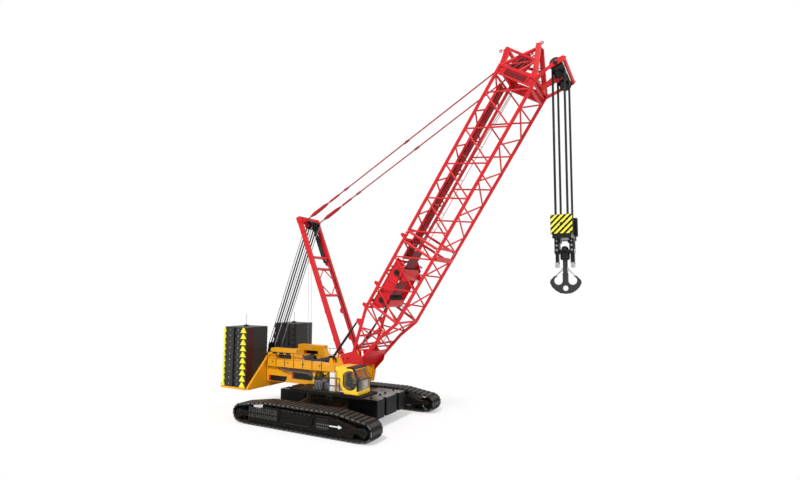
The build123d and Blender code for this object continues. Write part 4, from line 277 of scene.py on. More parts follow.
    def grain(self) -> bpy.types.NodeTree:
        """Build the fine relief of sprayed paint or rolled steel.

        Returns:
            A group that puts out the height.
        """
        tree, graph, given, out = self.start("surface_grain", {"Scale": 60.0}, ("Height",))
        fine = graph.noise(given.outputs["Scale"], 6.0)
        coarse = graph.noise(graph.math("MULTIPLY", given.outputs["Scale"], 0.08), 3.0)
        height = graph.math("ADD", graph.math("MULTIPLY", fine, 0.35), coarse)
        graph.join(height, out.inputs["Height"])
        return tree

    def bands(self) -> bpy.types.NodeTree:
        """Build parallel bands across a direction.

        Returns:
            A group that puts out the mask of the bands.
        """
        inputs = {"Direction": (1.0, 0.0, 0.0), "Pitch": 0.1, "Share": 0.5}
        tree, graph, given, out = self.start("parallel_bands", inputs, ("Mask",))
        along = graph.dot(graph.place(), given.outputs["Direction"])
        phase = graph.math("FRACT", graph.math("DIVIDE", along, given.outputs["Pitch"]))
        graph.join(graph.math("LESS_THAN", phase, given.outputs["Share"]), out.inputs["Mask"])
        return tree


EFFECTS = Effects()


@dataclass(frozen=True)
class Finish:
    """One finish of the crane, with the wear and dust that it shows."""

    name: str
    colour: Colour
    roughness: float = 0.42
    metallic: float = 0.0
    coat: float = 0.0
    specular: float = 0.4
    mottle: float = 0.16
    mottle_scale: float = 0.7
    dust: float = 0.18
    low_dirt: float = 0.0
    dust_colour: Colour = (0.27, 0.23, 0.18)
    wear: float = 0.35
    wear_width: float = 0.012
    bare: Colour = (0.24, 0.22, 0.20)
    grain: float = 45.0
    relief: float = 0.12
    pattern: Pattern = Pattern.PLAIN
    second: Colour = (0.012, 0.012, 0.012)
    alpha: float = 1.0

    @staticmethod
    def effect(graph: Graph, effect: Effect, inputs: dict[str, object]) -> bpy.types.Node:
        """Place one shared effect in a finish's tree."""
        return graph.add("ShaderNodeGroup", inputs, node_tree=EFFECTS.group(effect))

    def bands(self, graph: Graph, direction: Point, pitch: float, share: float) -> bpy.types.NodeSocket:
        """Return the mask of bands across a direction."""
        inputs = {"Direction": direction, "Pitch": pitch, "Share": share}
        return self.effect(graph, Effect.BANDS, inputs).outputs["Mask"]

    def patterned(self, graph: Graph) -> tuple[object, bpy.types.NodeSocket | None]:
        """Add the finish's pattern.

        Args:
            graph: The material's graph.

        Returns:
            The base colour and the pattern's relief, or None where it has none.
        """
        base = opaque(self.colour)
        other = opaque(self.second)
        if self.pattern is Pattern.HAZARD:
            return graph.mix(self.bands(graph, (1.0, 0.0, -1.0), 0.335, 0.5), base, other), None
        if self.pattern is Pattern.GRATING:
            across = self.bands(graph, (0.0, 1.0, 0.0), 0.05, 0.25)
            along = self.bands(graph, (0.532, 0.0, 0.846), 0.09, 0.3)
            bars = graph.math("MAXIMUM", across, along)
            return graph.mix(bars, other, base), bars
        # The darker second colour between the strands is painted shade in the grooves.
        if self.pattern is Pattern.STRANDS:
            lay = self.bands(graph, (0.6, 0.6, 1.0), 0.09, 0.55)
            return graph.mix(lay, other, base), lay
        if self.pattern is Pattern.WEAVE:
            warp = self.bands(graph, (1.0, 0.0, 1.0), 0.012, 0.5)
            weft = self.bands(graph, (0.0, 1.0, 1.0), 0.012, 0.5)
            threads = graph.math("ABSOLUTE", graph.math("SUBTRACT", warp, weft))
            return graph.mix(threads, base, other), threads
        return base, None

    def material(self) -> bpy.types.Material:
        """Build the finish's material the first time that it is needed.

        Returns:
            The material.
        """
        found = bpy.data.materials.get(self.name)
        if found is not None:
            return found
        material = bpy.data.materials.new(self.name)
        material.use_nodes = True
        graph = Graph(material.node_tree)
        shader = material.node_tree.nodes["Principled BSDF"]
        shader.inputs["Metallic"].default_value = self.metallic
        shader.inputs["Specular IOR Level"].default_value = self.specular
        shader.inputs["Coat Weight"].default_value = self.coat
        shader.inputs["Coat Roughness"].default_value = 0.12
        colour, extra = self.patterned(graph)
        inputs = {"Colour": colour, "Scale": self.mottle_scale, "Amount": self.mottle}
        mottled = self.effect(graph, Effect.MOTTLE, inputs)
        if self.pattern is Pattern.GLASS:
            self.glaze(graph, shader, mottled)
        else:
            self.coat_over(graph, shader, mottled, extra)
        return material

    def glaze(self, graph: Graph, shader: bpy.types.Node, mottled: bpy.types.Node) -> None:
        """Finish a glass.

        Args:
            graph: The material's graph.
            shader: The shader that the light goes through.
            mottled: The node with the glass's colour and its smears.
        """
        shader.inputs["Transmission Weight"].default_value = 0.93
        shader.inputs["IOR"].default_value = 1.15
        shader.inputs["Alpha"].default_value = self.alpha
        graph.join(mottled.outputs["Colour"], shader.inputs["Base Color"])
        rough = graph.ranged(mottled.outputs["Mask"], (0.0, 1.0), (0.03, self.roughness))
        graph.join(rough, shader.inputs["Roughness"])

    def coat_over(
        self,
        graph: Graph,
        shader: bpy.types.Node,
        mottled: bpy.types.Node,
        extra: bpy.types.NodeSocket | None,
    ) -> None:
        """Add wear, dust and relief over the mottled colour.

        Args:
            graph: The material's graph.
            shader: The shader that they go to.
            mottled: The node with the mottled colour and its mask.
            extra: The pattern's relief, or None.
        """
        inputs = {"Colour": mottled.outputs["Colour"], "Bare": opaque(self.bare)}
        inputs |= {"Amount": self.wear, "Width": self.wear_width}
        worn = self.effect(graph, Effect.EDGE_WEAR, inputs)
        inputs = {"Colour": worn.outputs["Colour"], "Dust": opaque(self.dust_colour)}
        inputs |= {"Amount": self.dust, "Low": self.low_dirt}
        dusted = self.effect(graph, Effect.DUST, inputs)
        graph.join(dusted.outputs["Colour"], shader.inputs["Base Color"])
        cloudy = graph.math("MULTIPLY", graph.math("SUBTRACT", mottled.outputs["Mask"], 0.5), 0.35)
        dull = graph.math("MULTIPLY", dusted.outputs["Mask"], 0.35)
        rough = graph.math("ADD", graph.math("ADD", cloudy, dull), self.roughness)
        graph.join(rough, shader.inputs["Roughness"])
        height = self.effect(graph, Effect.GRAIN, {"Scale": self.grain}).outputs["Height"]
        if extra is not None:
            height = graph.math("ADD", height, graph.math("MULTIPLY", extra, 2.0))
        bump = graph.add("ShaderNodeBump", {"Strength": self.relief, "Distance": 0.01, "Height": height})
        graph.join(bump.outputs[0], shader.inputs["Normal"])


# Lighter steel with bright worn edges: partly wear, partly a painted highlight.
WORN_STEEL_AND_PAINTED_HIGHLIGHT = Finish(
    "worn_steel_and_painted_highlight", (0.085, 0.084, 0.083), roughness=0.36, metallic=0.2, mottle=0.9, mottle_scale=3.0,
    dust=0.05, wear=0.8, bare=(0.36, 0.36, 0.36),
)
# Lighter face of the shoe pads and ribs: partly wear and dust, partly a painted highlight.
SHOE_FACE_AND_PAINTED_HIGHLIGHT = Finish(
    "shoe_face_and_painted_highlight", (0.030, 0.029, 0.028), roughness=0.4, specular=0.1, mottle=0.7, mottle_scale=2.5, dust=0.3,
    dust_colour=(0.15, 0.10, 0.06), wear=0.8, bare=(0.3, 0.3, 0.3),
)
RED = Finish("boom_red", (0.60, 0.012, 0.018), roughness=0.38, specular=0.28, mottle=0.14, dust=0.03)
PENDANT_RED = Finish("pendant_red", (0.40, 0.009, 0.014), roughness=0.4, specular=0.25, dust=0.03)
# A shaded copy of the boom red: painted shade in recesses and inside the boom.
PAINTED_SHADE_RED = Finish("painted_shade_red", (0.16, 0.006, 0.008), roughness=0.5, specular=0.2, dust=0.02, wear=0.2)
# Dark red of the strip on the stacks' front faces: a painted reddish reflection.
PAINTED_REFLECTION_RED = Finish("painted_reflection_red", (0.050, 0.006, 0.009), roughness=0.45, specular=0.25, dust=0.03, wear=0.1)
YELLOW = Finish(
    "cab_yellow", (0.90, 0.56, 0.022), roughness=0.34, specular=0.3, coat=0.1, mottle=0.08, dust=0.05,
    wear=0.2,
)
ORANGE = Finish("beam_orange", (0.82, 0.36, 0.008), roughness=0.36, specular=0.28, mottle=0.14, dust=0.07)
BLACK = Finish("gloss_black", (0.006, 0.006, 0.007), roughness=0.34, specular=0.25, dust=0.06, wear=0.25)
CHASSIS = Finish(
    "chassis_black", (0.010, 0.0095, 0.009), roughness=0.36, specular=0.03, mottle=1.0, mottle_scale=5.0,
    dust=0.24, dust_colour=(0.17, 0.095, 0.045), wear=0.6, wear_width=0.02, bare=(0.16, 0.16, 0.16),
    relief=0.3,
)
CARBODY = Finish(
    "carbody_black", (0.030, 0.025, 0.020), roughness=0.4, specular=0.08, mottle=0.9, mottle_scale=1.6,
    dust=0.5, dust_colour=(0.17, 0.095, 0.045), low_dirt=1.2, wear=0.6, wear_width=0.02,
    bare=(0.16, 0.16, 0.16), relief=0.3,
)
TRACK_STEEL = Finish(
    "track_steel", (0.008, 0.008, 0.008), roughness=0.36, specular=0.03, mottle=1.0, mottle_scale=5.0,
    dust=0.16, dust_colour=(0.17, 0.13, 0.10), wear=0.9, wear_width=0.02, bare=(0.22, 0.21, 0.20), relief=0.4,
)
STACK_GREY = Finish(
    "stack_grey", (0.026, 0.027, 0.026), roughness=0.5, specular=0.22, mottle=0.22, dust=0.1, wear=0.4,
)
WEIGHT_GREY = Finish(
    "weight_grey", (0.008, 0.008, 0.009), roughness=0.3, specular=0.08, mottle=0.5, dust=0.55,
    dust_colour=(0.40, 0.385, 0.36),
)
BOX_GREY = Finish(
    "box_grey", (0.15, 0.15, 0.16), roughness=0.42, specular=0.3, mottle=0.4, mottle_scale=2.5, dust=0.3,
)
RAIL_GREY = Finish("rail_grey", (0.045, 0.045, 0.050), roughness=0.4, specular=0.3, dust=0.05)
WHITE = Finish("tank_white", (0.80, 0.80, 0.78), roughness=0.35, coat=0.2, mottle=0.08, dust=0.1)
LINING = Finish(
    "cab_lining_grey", (0.86, 0.86, 0.85), roughness=0.6, mottle=0.25, mottle_scale=3.0, dust=0.05, wear=0.0,
)
STEEL = Finish("bare_steel", (0.48, 0.48, 0.50), roughness=0.3, metallic=0.9, dust=0.05, wear=0.1)
SILVER = Finish(
    "silver_plate", (0.42, 0.42, 0.43), roughness=0.35, metallic=0.6, mottle=0.5, mottle_scale=3.5, dust=0.06
)
HOOK_STEEL = Finish("hook_steel", (0.026, 0.026, 0.028), roughness=0.42, specular=0.3, dust=0.05, wear=0.5)
# The ropes' second colour darkens the grooves between strands, as painted shade.
ROPE = Finish(
    "dark_rope", (0.009, 0.009, 0.010), roughness=0.5, specular=0.3, dust=0.02, wear=0.0,
    relief=0.5, pattern=Pattern.STRANDS, second=(0.008, 0.008, 0.008),
)
BRIGHT_ROPE = Finish(
    "bright_rope", (0.42, 0.43, 0.45), roughness=0.4, metallic=0.4, dust=0.02, wear=0.0,
    relief=0.4, pattern=Pattern.STRANDS, second=(0.14, 0.145, 0.15),
)
RUBBER = Finish("hose_rubber", (0.008, 0.008, 0.009), roughness=0.5, specular=0.25, dust=0.06, wear=0.0)
# The hose's default second colour darkens the grooves between strands, as painted shade.
GREY_HOSE = Finish(
    "grey_hose", (0.10, 0.10, 0.10), roughness=0.45, dust=0.1, wear=0.0, pattern=Pattern.STRANDS,
)
SEAT_CLOTH = Finish(
    "seat_cloth", (0.030, 0.031, 0.036), roughness=0.85, dust=0.02, wear=0.0, relief=0.5,
    pattern=Pattern.WEAVE, second=(0.016, 0.016, 0.02),
)
GRATING = Finish(
    "walkway_grating", (0.34, 0.010, 0.014), roughness=0.5, specular=0.2, dust=0.02, relief=0.8,
    pattern=Pattern.GRATING, second=(0.07, 0.005, 0.006),
)
HAZARD = Finish(
    "hazard_stripes", (0.86, 0.80, 0.055), roughness=0.35, specular=0.3, dust=0.02, pattern=Pattern.HAZARD,
    second=(0.004, 0.004, 0.004),
)
LUG_YELLOW = Finish("lug_yellow", (0.84, 0.78, 0.03), roughness=0.4, specular=0.3, dust=0.04)
CLEAR_GLASS = Finish(
    "clear_glass", (0.86, 0.90, 0.92), roughness=0.05, mottle=0.05, pattern=Pattern.GLASS, alpha=0.25
)
BROWN_GLASS = Finish(
    "brown_glass", (0.55, 0.33, 0.18), roughness=0.08, mottle=0.08, pattern=Pattern.GLASS, alpha=0.75,
)

NODE_FINISHES: dict[str, Finish] = {
    "backstop_barrels": BLACK,
    "backstop_rods": BLACK,
    "boom_base": RED,
    "boom_base_lacing": RED,
    "boom_catwalk": GRATING,
    "boom_head": RED,
    "boom_top_lacing": RED,
    "boom_top_section": RED,
    "boom_winches": RED,
    "cab_deck": CHASSIS,
    "cab_door": YELLOW,
    "cab_interior": SEAT_CLOTH,
    "cab_shell": YELLOW,
    "carbody": CARBODY,
    "carbody_weights": WEIGHT_GREY,
    "counterweight_stack_left": STACK_GREY,
    "counterweight_stack_right": STACK_GREY,
    "counterweight_tray": ORANGE,
    "engine_house": ORANGE,
    "falls": ROPE,
    "handrails": RAIL_GREY,
    "head_sheaves": BLACK,
    "hinge_pins": STEEL,
    "hook": HOOK_STEEL,
    "hook_block": BLACK,
    "idler_left": TRACK_STEEL,
    "idler_right": TRACK_STEEL,
    "mast": RED,
    "mast_cylinder": BLACK,
    "mast_sheaves": BLACK,
    "pendants": PENDANT_RED,
    "platform_frame": ORANGE,
    "platform_winches": BLACK,
    "rear_sheaves": BLACK,
    "rollers_left": TRACK_STEEL,
    "rollers_right": TRACK_STEEL,
    "side_tank": WHITE,
    "sprocket_left": TRACK_STEEL,
    "sprocket_right": TRACK_STEEL,
    "track_frame_left": CHASSIS,
    "track_frame_right": CHASSIS,
    "track_left": TRACK_STEEL,
    "track_right": TRACK_STEEL,
    "valve_boxes": BOX_GREY,
}


class Form:
    """Collects solids into one mesh and makes a piece of it."""

    def __init__(self) -> None:
        """Start an empty mesh."""
        self.mesh = bmesh.new()

    def prism(self, outline: Iterable[Point], depth: Point) -> None:
        """Extrude a flat outline.

        Args:
            outline: The corners of the outline.
            depth: The vector that it is moved by.
        """
        low = [self.mesh.verts.new(Vector(point)) for point in outline]
        high = [self.mesh.verts.new(vertex.co + Vector(depth)) for vertex in low]
        self.mesh.faces.new(low)
        self.mesh.faces.new(reversed(high))
        for i, vertex in enumerate(low):
            after = (i + 1) % len(low)
            self.mesh.faces.new((low[after], vertex, high[i], high[after]))

    def slab(self, low: Point, high: Point) -> None:
        """Add a block between two corners."""
        outline = [(low[0], low[1]), (high[0], low[1]), (high[0], high[1]), (low[0], high[1])]
        self.prism([(x, y, low[2]) for x, y in outline], (0.0, 0.0, high[2] - low[2]))

    def upright(self, outline: Iterable[Pair], y: float, depth: float) -> None:
        """Extrude an outline of x and z from a y by a depth."""
        self.prism([(x, y, z) for x, z in outline], (0.0, depth, 0.0))

    def sided(self, side: int, low: Point, high: Point) -> None:
        """Add a block on one side of the crane from its two corners on the left side."""
        y0, y1 = sorted((side * low[1], side * high[1]))
        self.slab((low[0], y0, low[2]), (high[0], y1, high[2]))

    def rings(self, rings: Sequence[Sequence[Point]], capped: bool = True) -> None:
        """Join rings of points with faces.

        Args:
            rings: The rings, all with as many points.
            capped: Whether the first and last ring are closed.
        """
        rows = [[self.mesh.verts.new(Vector(point)) for point in ring] for ring in rings]
        for row, after in zip(rows, rows[1:]):
            for i in range(len(row)):
                j = (i + 1) % len(row)
                self.mesh.faces.new((row[i], row[j], after[j], after[i]))
        if capped:
            self.mesh.faces.new(reversed(rows[0]))
            self.mesh.faces.new(rows[-1])

    @staticmethod
    def square_to(axis: Vector) -> tuple[Vector, Vector]:
        """Find two directions across an axis.

        Args:
            axis: The direction of the axis.

        Returns:
            Two unit vectors square to the axis and to each other.
        """
        helper = Vector((0.0, 0.0, 1.0)) if abs(axis.z) < 0.9 else Vector((1.0, 0.0, 0.0))
        first = axis.cross(helper).normalized()
        return first, axis.cross(first).normalized()

    def turned(self, start: Point, axis: Point, profile: Iterable[Pair], sides: int = 20) -> None:
        """Add a turned shape.

        Args:
            start: The point on the axis that the profile starts from.
            axis: The direction of the axis.
            profile: Rows of distance along the axis and radius.
            sides: How many sides the shape has.
        """
        direction = Vector(axis).normalized()
        u, v = self.square_to(direction)
        rings = []
        for along, radius in profile:
            centre = Vector(start) + direction * along
            angles = [2 * pi * i / sides for i in range(sides)]
            rings.append([centre + (u * cos(a) + v * sin(a)) * radius for a in angles])
        self.rings(rings)

    def rod(self, start: Point, end: Point, radius: float, sides: int = 12) -> None:
        """Add a round bar between two points."""
        run = Vector(end) - Vector(start)
        self.turned(start, run, [(0.0, radius), (run.length, radius)], sides)

    def beam(self, start: Point, end: Point, width: float, depth: float) -> None:
        """Add a straight bar of rectangular section.

        Args:
            start: The middle of one end.
            end: The middle of the other end.
            width: Its width across the boom's side view.
            depth: Its depth along Y, or along Z where the bar itself runs along Y.
        """
        ahead = (Vector(end) - Vector(start)).normalized()
        level = Vector((0.0, 1.0, 0.0)) if abs(ahead.y) < 0.9 else Vector((0.0, 0.0, 1.0))
        u = ahead.cross(level).normalized() * (width / 2)
        v = ahead.cross(u).normalized() * (depth / 2)
        corners = [Vector(start) + u + v, Vector(start) - u + v, Vector(start) - u - v, Vector(start) + u - v]
        self.prism(corners, Vector(end) - Vector(start))

    def bolt(self, place: Point, axis: Point, radius: float = 0.03, height: float = 0.02) -> None:
        """Add a hexagon head with a smaller washer under it."""
        self.turned(place, axis, [(0.0, radius * 1.3), (height * 0.25, radius * 1.3)], 10)
        self.turned(place, axis, [(0.0, radius), (height, radius), (height * 1.1, radius * 0.8)], 6)

    def pipe(self, points: Sequence[Point], radius: float, sides: int = 8, bend: float = 0.08) -> None:
        """Add a pipe along straight runs with rounded bends.

        Args:
            points: The corners of the run.
            radius: The pipe's radius.
            sides: How many sides it has.
            bend: How far before a corner the bend starts.
        """
        corners = [Vector(point) for point in points]
        line = [corners[0]]
        for before, corner, after in zip(corners, corners[1:], corners[2:]):
            reach = min(bend, (corner - before).length / 2.2, (after - corner).length / 2.2)
            first = corner + (before - corner).normalized() * reach
            last = corner + (after - corner).normalized() * reach
            for t in (0.0, 0.33, 0.67, 1.0):
                line.append(first * (1 - t) ** 2 + corner * 2 * t * (1 - t) + last * t**2)
        line.append(corners[-1])
        u, _ = self.square_to((line[1] - line[0]).normalized())
        rings = []
        for i, point in enumerate(line):
            ahead = (line[min(i + 1, len(line) - 1)] - line[max(i - 1, 0)]).normalized()
            u = (u - ahead * u.dot(ahead)).normalized()
            v = ahead.cross(u)
            angles = [2 * pi * k / sides for k in range(sides)]
            rings.append([point + (u * cos(a) + v * sin(a)) * radius for a in angles])
        self.rings(rings)

    def piece(
        self, name: str, finish: Finish, body: Body | None, slot: Slot | None = None, bevel: float = 0.0
    ) -> bpy.types.Object:
        """Turn the collected mesh into a piece.

        Args:
            name: The piece's name.
            finish: Its finish.
            body: The body it rides on, or None where it rides on none.
            slot: Not used.
            bevel: The width of its rounded edges.

        Returns:
            The new object.
        """
        bmesh.ops.recalc_face_normals(self.mesh, faces=self.mesh.faces)
        data = bpy.data.meshes.new(name)
        self.mesh.to_mesh(data)
        self.mesh.free()
        data.materials.append(finish.material())
        data.shade_smooth()
        data.set_sharp_from_angle(angle=radians(32.0))
        made = bpy.data.objects.new(name, data)
        bpy.context.scene.collection.objects.link(made)
        if bevel:
            rounding = made.modifiers.new("rounding", "BEVEL")
            rounding.width = bevel
            rounding.segments = 2
            rounding.limit_method = "ANGLE"
            rounding.angle_limit = radians(40.0)
            rounding.harden_normals = True
        if body is not None:
            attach(made, body.value)
        log.info("%s: %d faces on %s", name, len(data.polygons), body.value if body else "two bodies")
        return made


def spread(first: float, last: float, count: int) -> list[float]:
    """Return evenly spaced numbers from first to last."""
    return [first + (last - first) * i / (count - 1) for i in range(count)]


@dataclass(frozen=True)
class BeltSpan:
    """A straight run of the shoe belt, or an arc where it has a radius."""

    start: Pair
    end: Pair
    radius: float
    angle: float
    length: float

    def at(self, distance: float, offset: float) -> Pair:
        """Find a place on the span.

        Args:
            distance: How far along the span it is.
            offset: How far outwards it is moved.

        Returns:
            The place's x and z.
        """
        angle = self.angle
        if self.radius:
            angle -= distance / self.radius
            x, z = self.start[0] + self.radius * cos(angle), self.start[1] + self.radius * sin(angle)
        else:
            x, z = (a + (b - a) * distance / self.length for a, b in zip(self.start, self.end))
        return x + offset * cos(angle), z + offset * sin(angle)


@dataclass
class Undercarriage:
    """Bolts, guards, drives and steps on the tracks and the carbody."""

    outer: float = 5.05
    wheel_x: float = 4.96
    wheel_z: float = 0.685
    hub_face: float = 5.105
    ring_radius: float = 1.58
    teeth_foot: float = 1.645
    teeth_tip: float = 1.70
    shoes: int = 60
    shoe_outer: float = 5.07
    shoe_inner: float = 3.82
    plate_thickness: float = 0.022
    circles: tuple[tuple[float, float, float], ...] = (
        (-2.85, 1.29, 0.16), (2.85, 1.29, 0.16), (4.96, 0.685, 0.45),
        (4.45, 0.31, 0.15), (-4.45, 0.31, 0.15), (-4.96, 0.685, 0.45),
    )

    def build(self) -> None:
        """Build every piece of the undercarriage."""
        self.shoe_ends()
        self.hubs()
        self.panels()
        self.guards()
        self.arrows()
        self.slewing_ring()
        self.weight_fittings()
        self.steps()

    def shoe_ends(self) -> None:
        """End plates of lighter worn steel, partly a painted highlight, pin heads, and raised pads whose
        lighter face is partly a painted highlight.
        """
        ends = Form()
        pins = Form()
        pads = Form()
        corners = ((0.26, 0.055), (0.90, 0.055), (0.90, 0.150), (0.26, 0.150))
        head = [(0, 0.034), (0.034, 0.034)]
        for side in SIDES:
            for face, turn in ((self.shoe_outer, 1), (self.shoe_inner, -1)):
                y0, y1 = sorted((side * face, side * (face + turn * self.plate_thickness)))
                for i in range(self.shoes):
                    outline = [self.belt((i + share) / self.shoes, out) for share, out in corners]
                    ends.upright(outline, y0, y1 - y0)
                    x, z = self.belt((i + 0.05) / self.shoes, 0.035)
                    pins.turned((x, side * (face - turn * 0.01), z), (0, side * turn, 0), head, 10)
        for side in SIDES:
            y0, y1 = sorted((side * 3.88, side * 5.02))
            for i in range(self.shoes):
                face = [self.belt((i + share) / self.shoes, 0.150) for share in (0.34, 0.82)]
                rim = [self.belt((i + share) / self.shoes, 0.166) for share in (0.80, 0.36)]
                if rim[0][1] > 0.05:
                    pads.upright(face + rim, y0, y1 - y0)
        # The pads' lighter face is partly a painted highlight.
        pads.piece("shoe_pads", SHOE_FACE_AND_PAINTED_HIGHLIGHT, Body.UNDERCARRIAGE, Slot.DARK)
        ends.piece("shoe_ends", WORN_STEEL_AND_PAINTED_HIGHLIGHT, Body.UNDERCARRIAGE, Slot.DARK)
        pins.piece("shoe_pins", TRACK_STEEL, Body.UNDERCARRIAGE, Slot.DARK)

    def belt(self, share: float, offset: float) -> Pair:
        """Find a place on the shoe belt.

        Args:
            share: How far round the belt it is, from 0 to 1.
            offset: How far outwards it is moved.

        Returns:
            The place's x and z.
        """
        spans = self.belt_spans()
        distance = share * sum(span.length for span in spans)
        for span in spans:
            if distance <= span.length:
                break
            distance -= span.length
        return span.at(distance, offset)

    def belt_spans(self) -> list[BeltSpan]:
        """Lay the belt round the wheels.

        Returns:
            The straight runs and arcs in order.
        """
        count = len(self.circles)
        normals = []
        for i, (x0, z0, r0) in enumerate(self.circles):
            x1, z1, r1 = self.circles[(i + 1) % count]
            normals.append(atan2(z1 - z0, x1 - x0) + acos((r0 - r1) / hypot(x1 - x0, z1 - z0)))
        spans = []
        for i, (x0, z0, r0) in enumerate(self.circles):
            x1, z1, r1 = self.circles[(i + 1) % count]
            a = normals[i]
            start, end = (x0 + r0 * cos(a), z0 + r0 * sin(a)), (x1 + r1 * cos(a), z1 + r1 * sin(a))
            spans.append(BeltSpan(start, end, 0.0, a, hypot(end[0] - start[0], end[1] - start[1])))
            turn = (a - normals[(i + 1) % count]) % (2 * pi)
            spans.append(BeltSpan((x1, z1), (x1, z1), r1, a, turn * r1))
        return spans

    def hubs(self) -> None:
        """Caps and bolt circles on the idlers and drives."""
        form = Form()
        for side in SIDES:
            for x in (-self.wheel_x, self.wheel_x):
                axis = (0.0, side, 0.0)
                start = (x, side * (self.hub_face - 0.03), self.wheel_z)
                form.turned(start, axis, [(0.0, 0.16), (0.035, 0.16), (0.05, 0.13), (0.052, 0.05)], 24)
                for i in range(12):
                    a = 2 * pi * i / 12
                    place = (x + 0.21 * cos(a), side * (self.hub_face - 0.005), self.wheel_z + 0.21 * sin(a))
                    form.bolt(place, axis, 0.02, 0.02)
        form.piece("hub_caps", TRACK_STEEL, Body.UNDERCARRIAGE, Slot.DARK)

    def panels(self) -> None:
        """Bolt rows, ribs and covers on the outer side frames."""
        form = Form()
        covers = Form()
        ribs = Form()
        y = self.outer
        bars = (
            (-0.92, -0.10, 0.50), (0.05, 0.95, 0.50), (1.55, 2.4, 1.10), (1.55, 2.4, 0.95), (1.6, 2.3, 0.50),
        )
        for side in SIDES:
            axis = (0.0, side, 0.0)
            for i, x in enumerate(spread(-4.05, -1.72, 15)):
                for z in (1.14, 1.02, 0.90, 0.70, 0.58):
                    form.bolt((x, side * y, z + 0.03 * (i % 2)), axis, 0.034, 0.035)
            for x in spread(-1.05, 0.95, 7):
                form.bolt((x, side * y, 1.22), axis, 0.024, 0.022)
            for x in spread(1.6, 2.4, 6):
                for z in (0.62, 0.80):
                    form.turned((x, side * y, z), axis, [(0, 0.055), (0.03, 0.055), (0.035, 0.03)], 14)
            for x0, x1 in ((-3.95, -3.0), (-2.85, -1.85)):
                covers.sided(side, (x0, y, 0.765), (x1, y + 0.03, 0.86))
            for x in spread(-4.0, -1.8, 6):
                for z in (1.09, 0.73):
                    ribs.sided(side, (x - 0.035, y, z - 0.14), (x + 0.035, y + 0.045, z + 0.10))
            for x0, x1, z in bars:
                ribs.sided(side, (x0, y, z - 0.02), (x1, y + 0.035, z + 0.02))
            for x in (-1.42, 1.25):
                for z in (1.12, 0.58):
                    covers.sided(side, (x - 0.05, y - 0.085, z - 0.05), (x + 0.05, y - 0.01, z + 0.05))
        # The bolts' lighter steel is partly a painted highlight.
        form.piece("side_frame_bolts", WORN_STEEL_AND_PAINTED_HIGHLIGHT, Body.UNDERCARRIAGE, Slot.DARK)
        # The ribs' lighter face is partly a painted highlight.
        ribs.piece("side_frame_ribs", SHOE_FACE_AND_PAINTED_HIGHLIGHT, Body.UNDERCARRIAGE, Slot.DARK, bevel=0.01)
        covers.piece("side_frame_covers", CHASSIS, Body.UNDERCARRIAGE, Slot.BLACK, bevel=0.008)

    def guards(self) -> None:
        """Scalloped guards in front of the lower rollers."""
        form = Form()
        profile = [(0.0, 0.075), (0.05, 0.075), (0.065, 0.05)]
        for side in SIDES:
            outline = [(-4.2, 0.56), (-4.2, 0.30)]
            for x in spread(-3.95, 3.95, 12):
                outline += [(x - 0.22, 0.24), (x - 0.12, 0.17), (x + 0.12, 0.17), (x + 0.22, 0.24)]
            outline += [(4.2, 0.30), (4.2, 0.56)]
            form.upright(outline, side * 4.95, side * 0.05)
            for x in spread(-3.95, 3.95, 12):
                form.turned((x, side * 4.99, 0.31), (0.0, side, 0.0), profile, 14)
        form.piece("roller_guards", CHASSIS, Body.UNDERCARRIAGE, Slot.DARK, bevel=0.006)

    def arrows(self) -> None:
        """Plain white travel arrows on the outer side frames."""
        form = Form()
        outline = [(2.50, 0.745), (3.16, 0.745), (3.16, 0.66), (3.42, 0.78)]
        outline += [(3.16, 0.90), (3.16, 0.815), (2.50, 0.815)]
        for side in SIDES:
            form.upright(outline, side * (self.outer + 0.001), side * 0.004)
        form.piece("travel_arrows", WHITE, Body.UNDERCARRIAGE, Slot.WHITE)

    def slewing_ring(self) -> None:
        """Bolts on the slewing ring and teeth round its edge."""
        form = Form()
        for i in range(60):
            a = 2 * pi * i / 60
            place = (self.ring_radius * cos(a), self.ring_radius * sin(a), 1.998)
            form.bolt(place, (0.0, 0.0, 1.0), 0.028, 0.03)
        for i in range(90):
            a = 2 * pi * i / 90
            u, v = Vector((cos(a), sin(a), 0.0)), Vector((-sin(a), cos(a), 0.0))
            root = u * self.teeth_foot
            tip = u * self.teeth_tip
            outline = [root - v * 0.035, tip - v * 0.018, tip + v * 0.018, root + v * 0.035]
            form.prism([(p.x, p.y, 1.83) for p in outline], (0.0, 0.0, 0.13))
        form.piece("slewing_ring_teeth", TRACK_STEEL, Body.UNDERCARRIAGE, Slot.DARK)

    def weight_fittings(self) -> None:
        """Lifting lugs and round covers on the carbody weights."""
        form = Form()
        for end in SIDES:
            for y in (-1.55, -0.35, 0.35, 1.55):
                x = end * 3.35
                outline = ((x - 0.10, 1.85), (x + 0.10, 1.85), (x + 0.05, 1.99), (x - 0.05, 1.99))
                form.upright(outline, y - 0.02, 0.04)
            for y in (-1.2, 1.2):
                form.turned((end * 2.6, y, 1.86), UP, [(0.0, 0.10), (0.04, 0.10), (0.06, 0.06)], 16)
        form.piece("weight_lugs", WEIGHT_GREY, Body.UNDERCARRIAGE, Slot.GREY, bevel=0.006)

    def steps(self) -> None:
        """Ladders and step plates between the tracks and the carbody."""
        form = Form()
        for side in SIDES:
            for x in (-0.3, 0.3):
                form.rod((x, side * 2.35, 0.95), (x, side * 2.35, 1.78), 0.02, 8)
                form.rod((x, side * 2.35, 1.78), (x, side * 1.72, 1.78), 0.02, 8)
            for z in (1.05, 1.3, 1.55, 1.78):
                form.slab((-0.3, side * 2.35 - 0.03, z - 0.012), (0.3, side * 2.35 + 0.03, z + 0.012))
        form.piece("access_steps", CHASSIS, Body.UNDERCARRIAGE, Slot.BLACK)


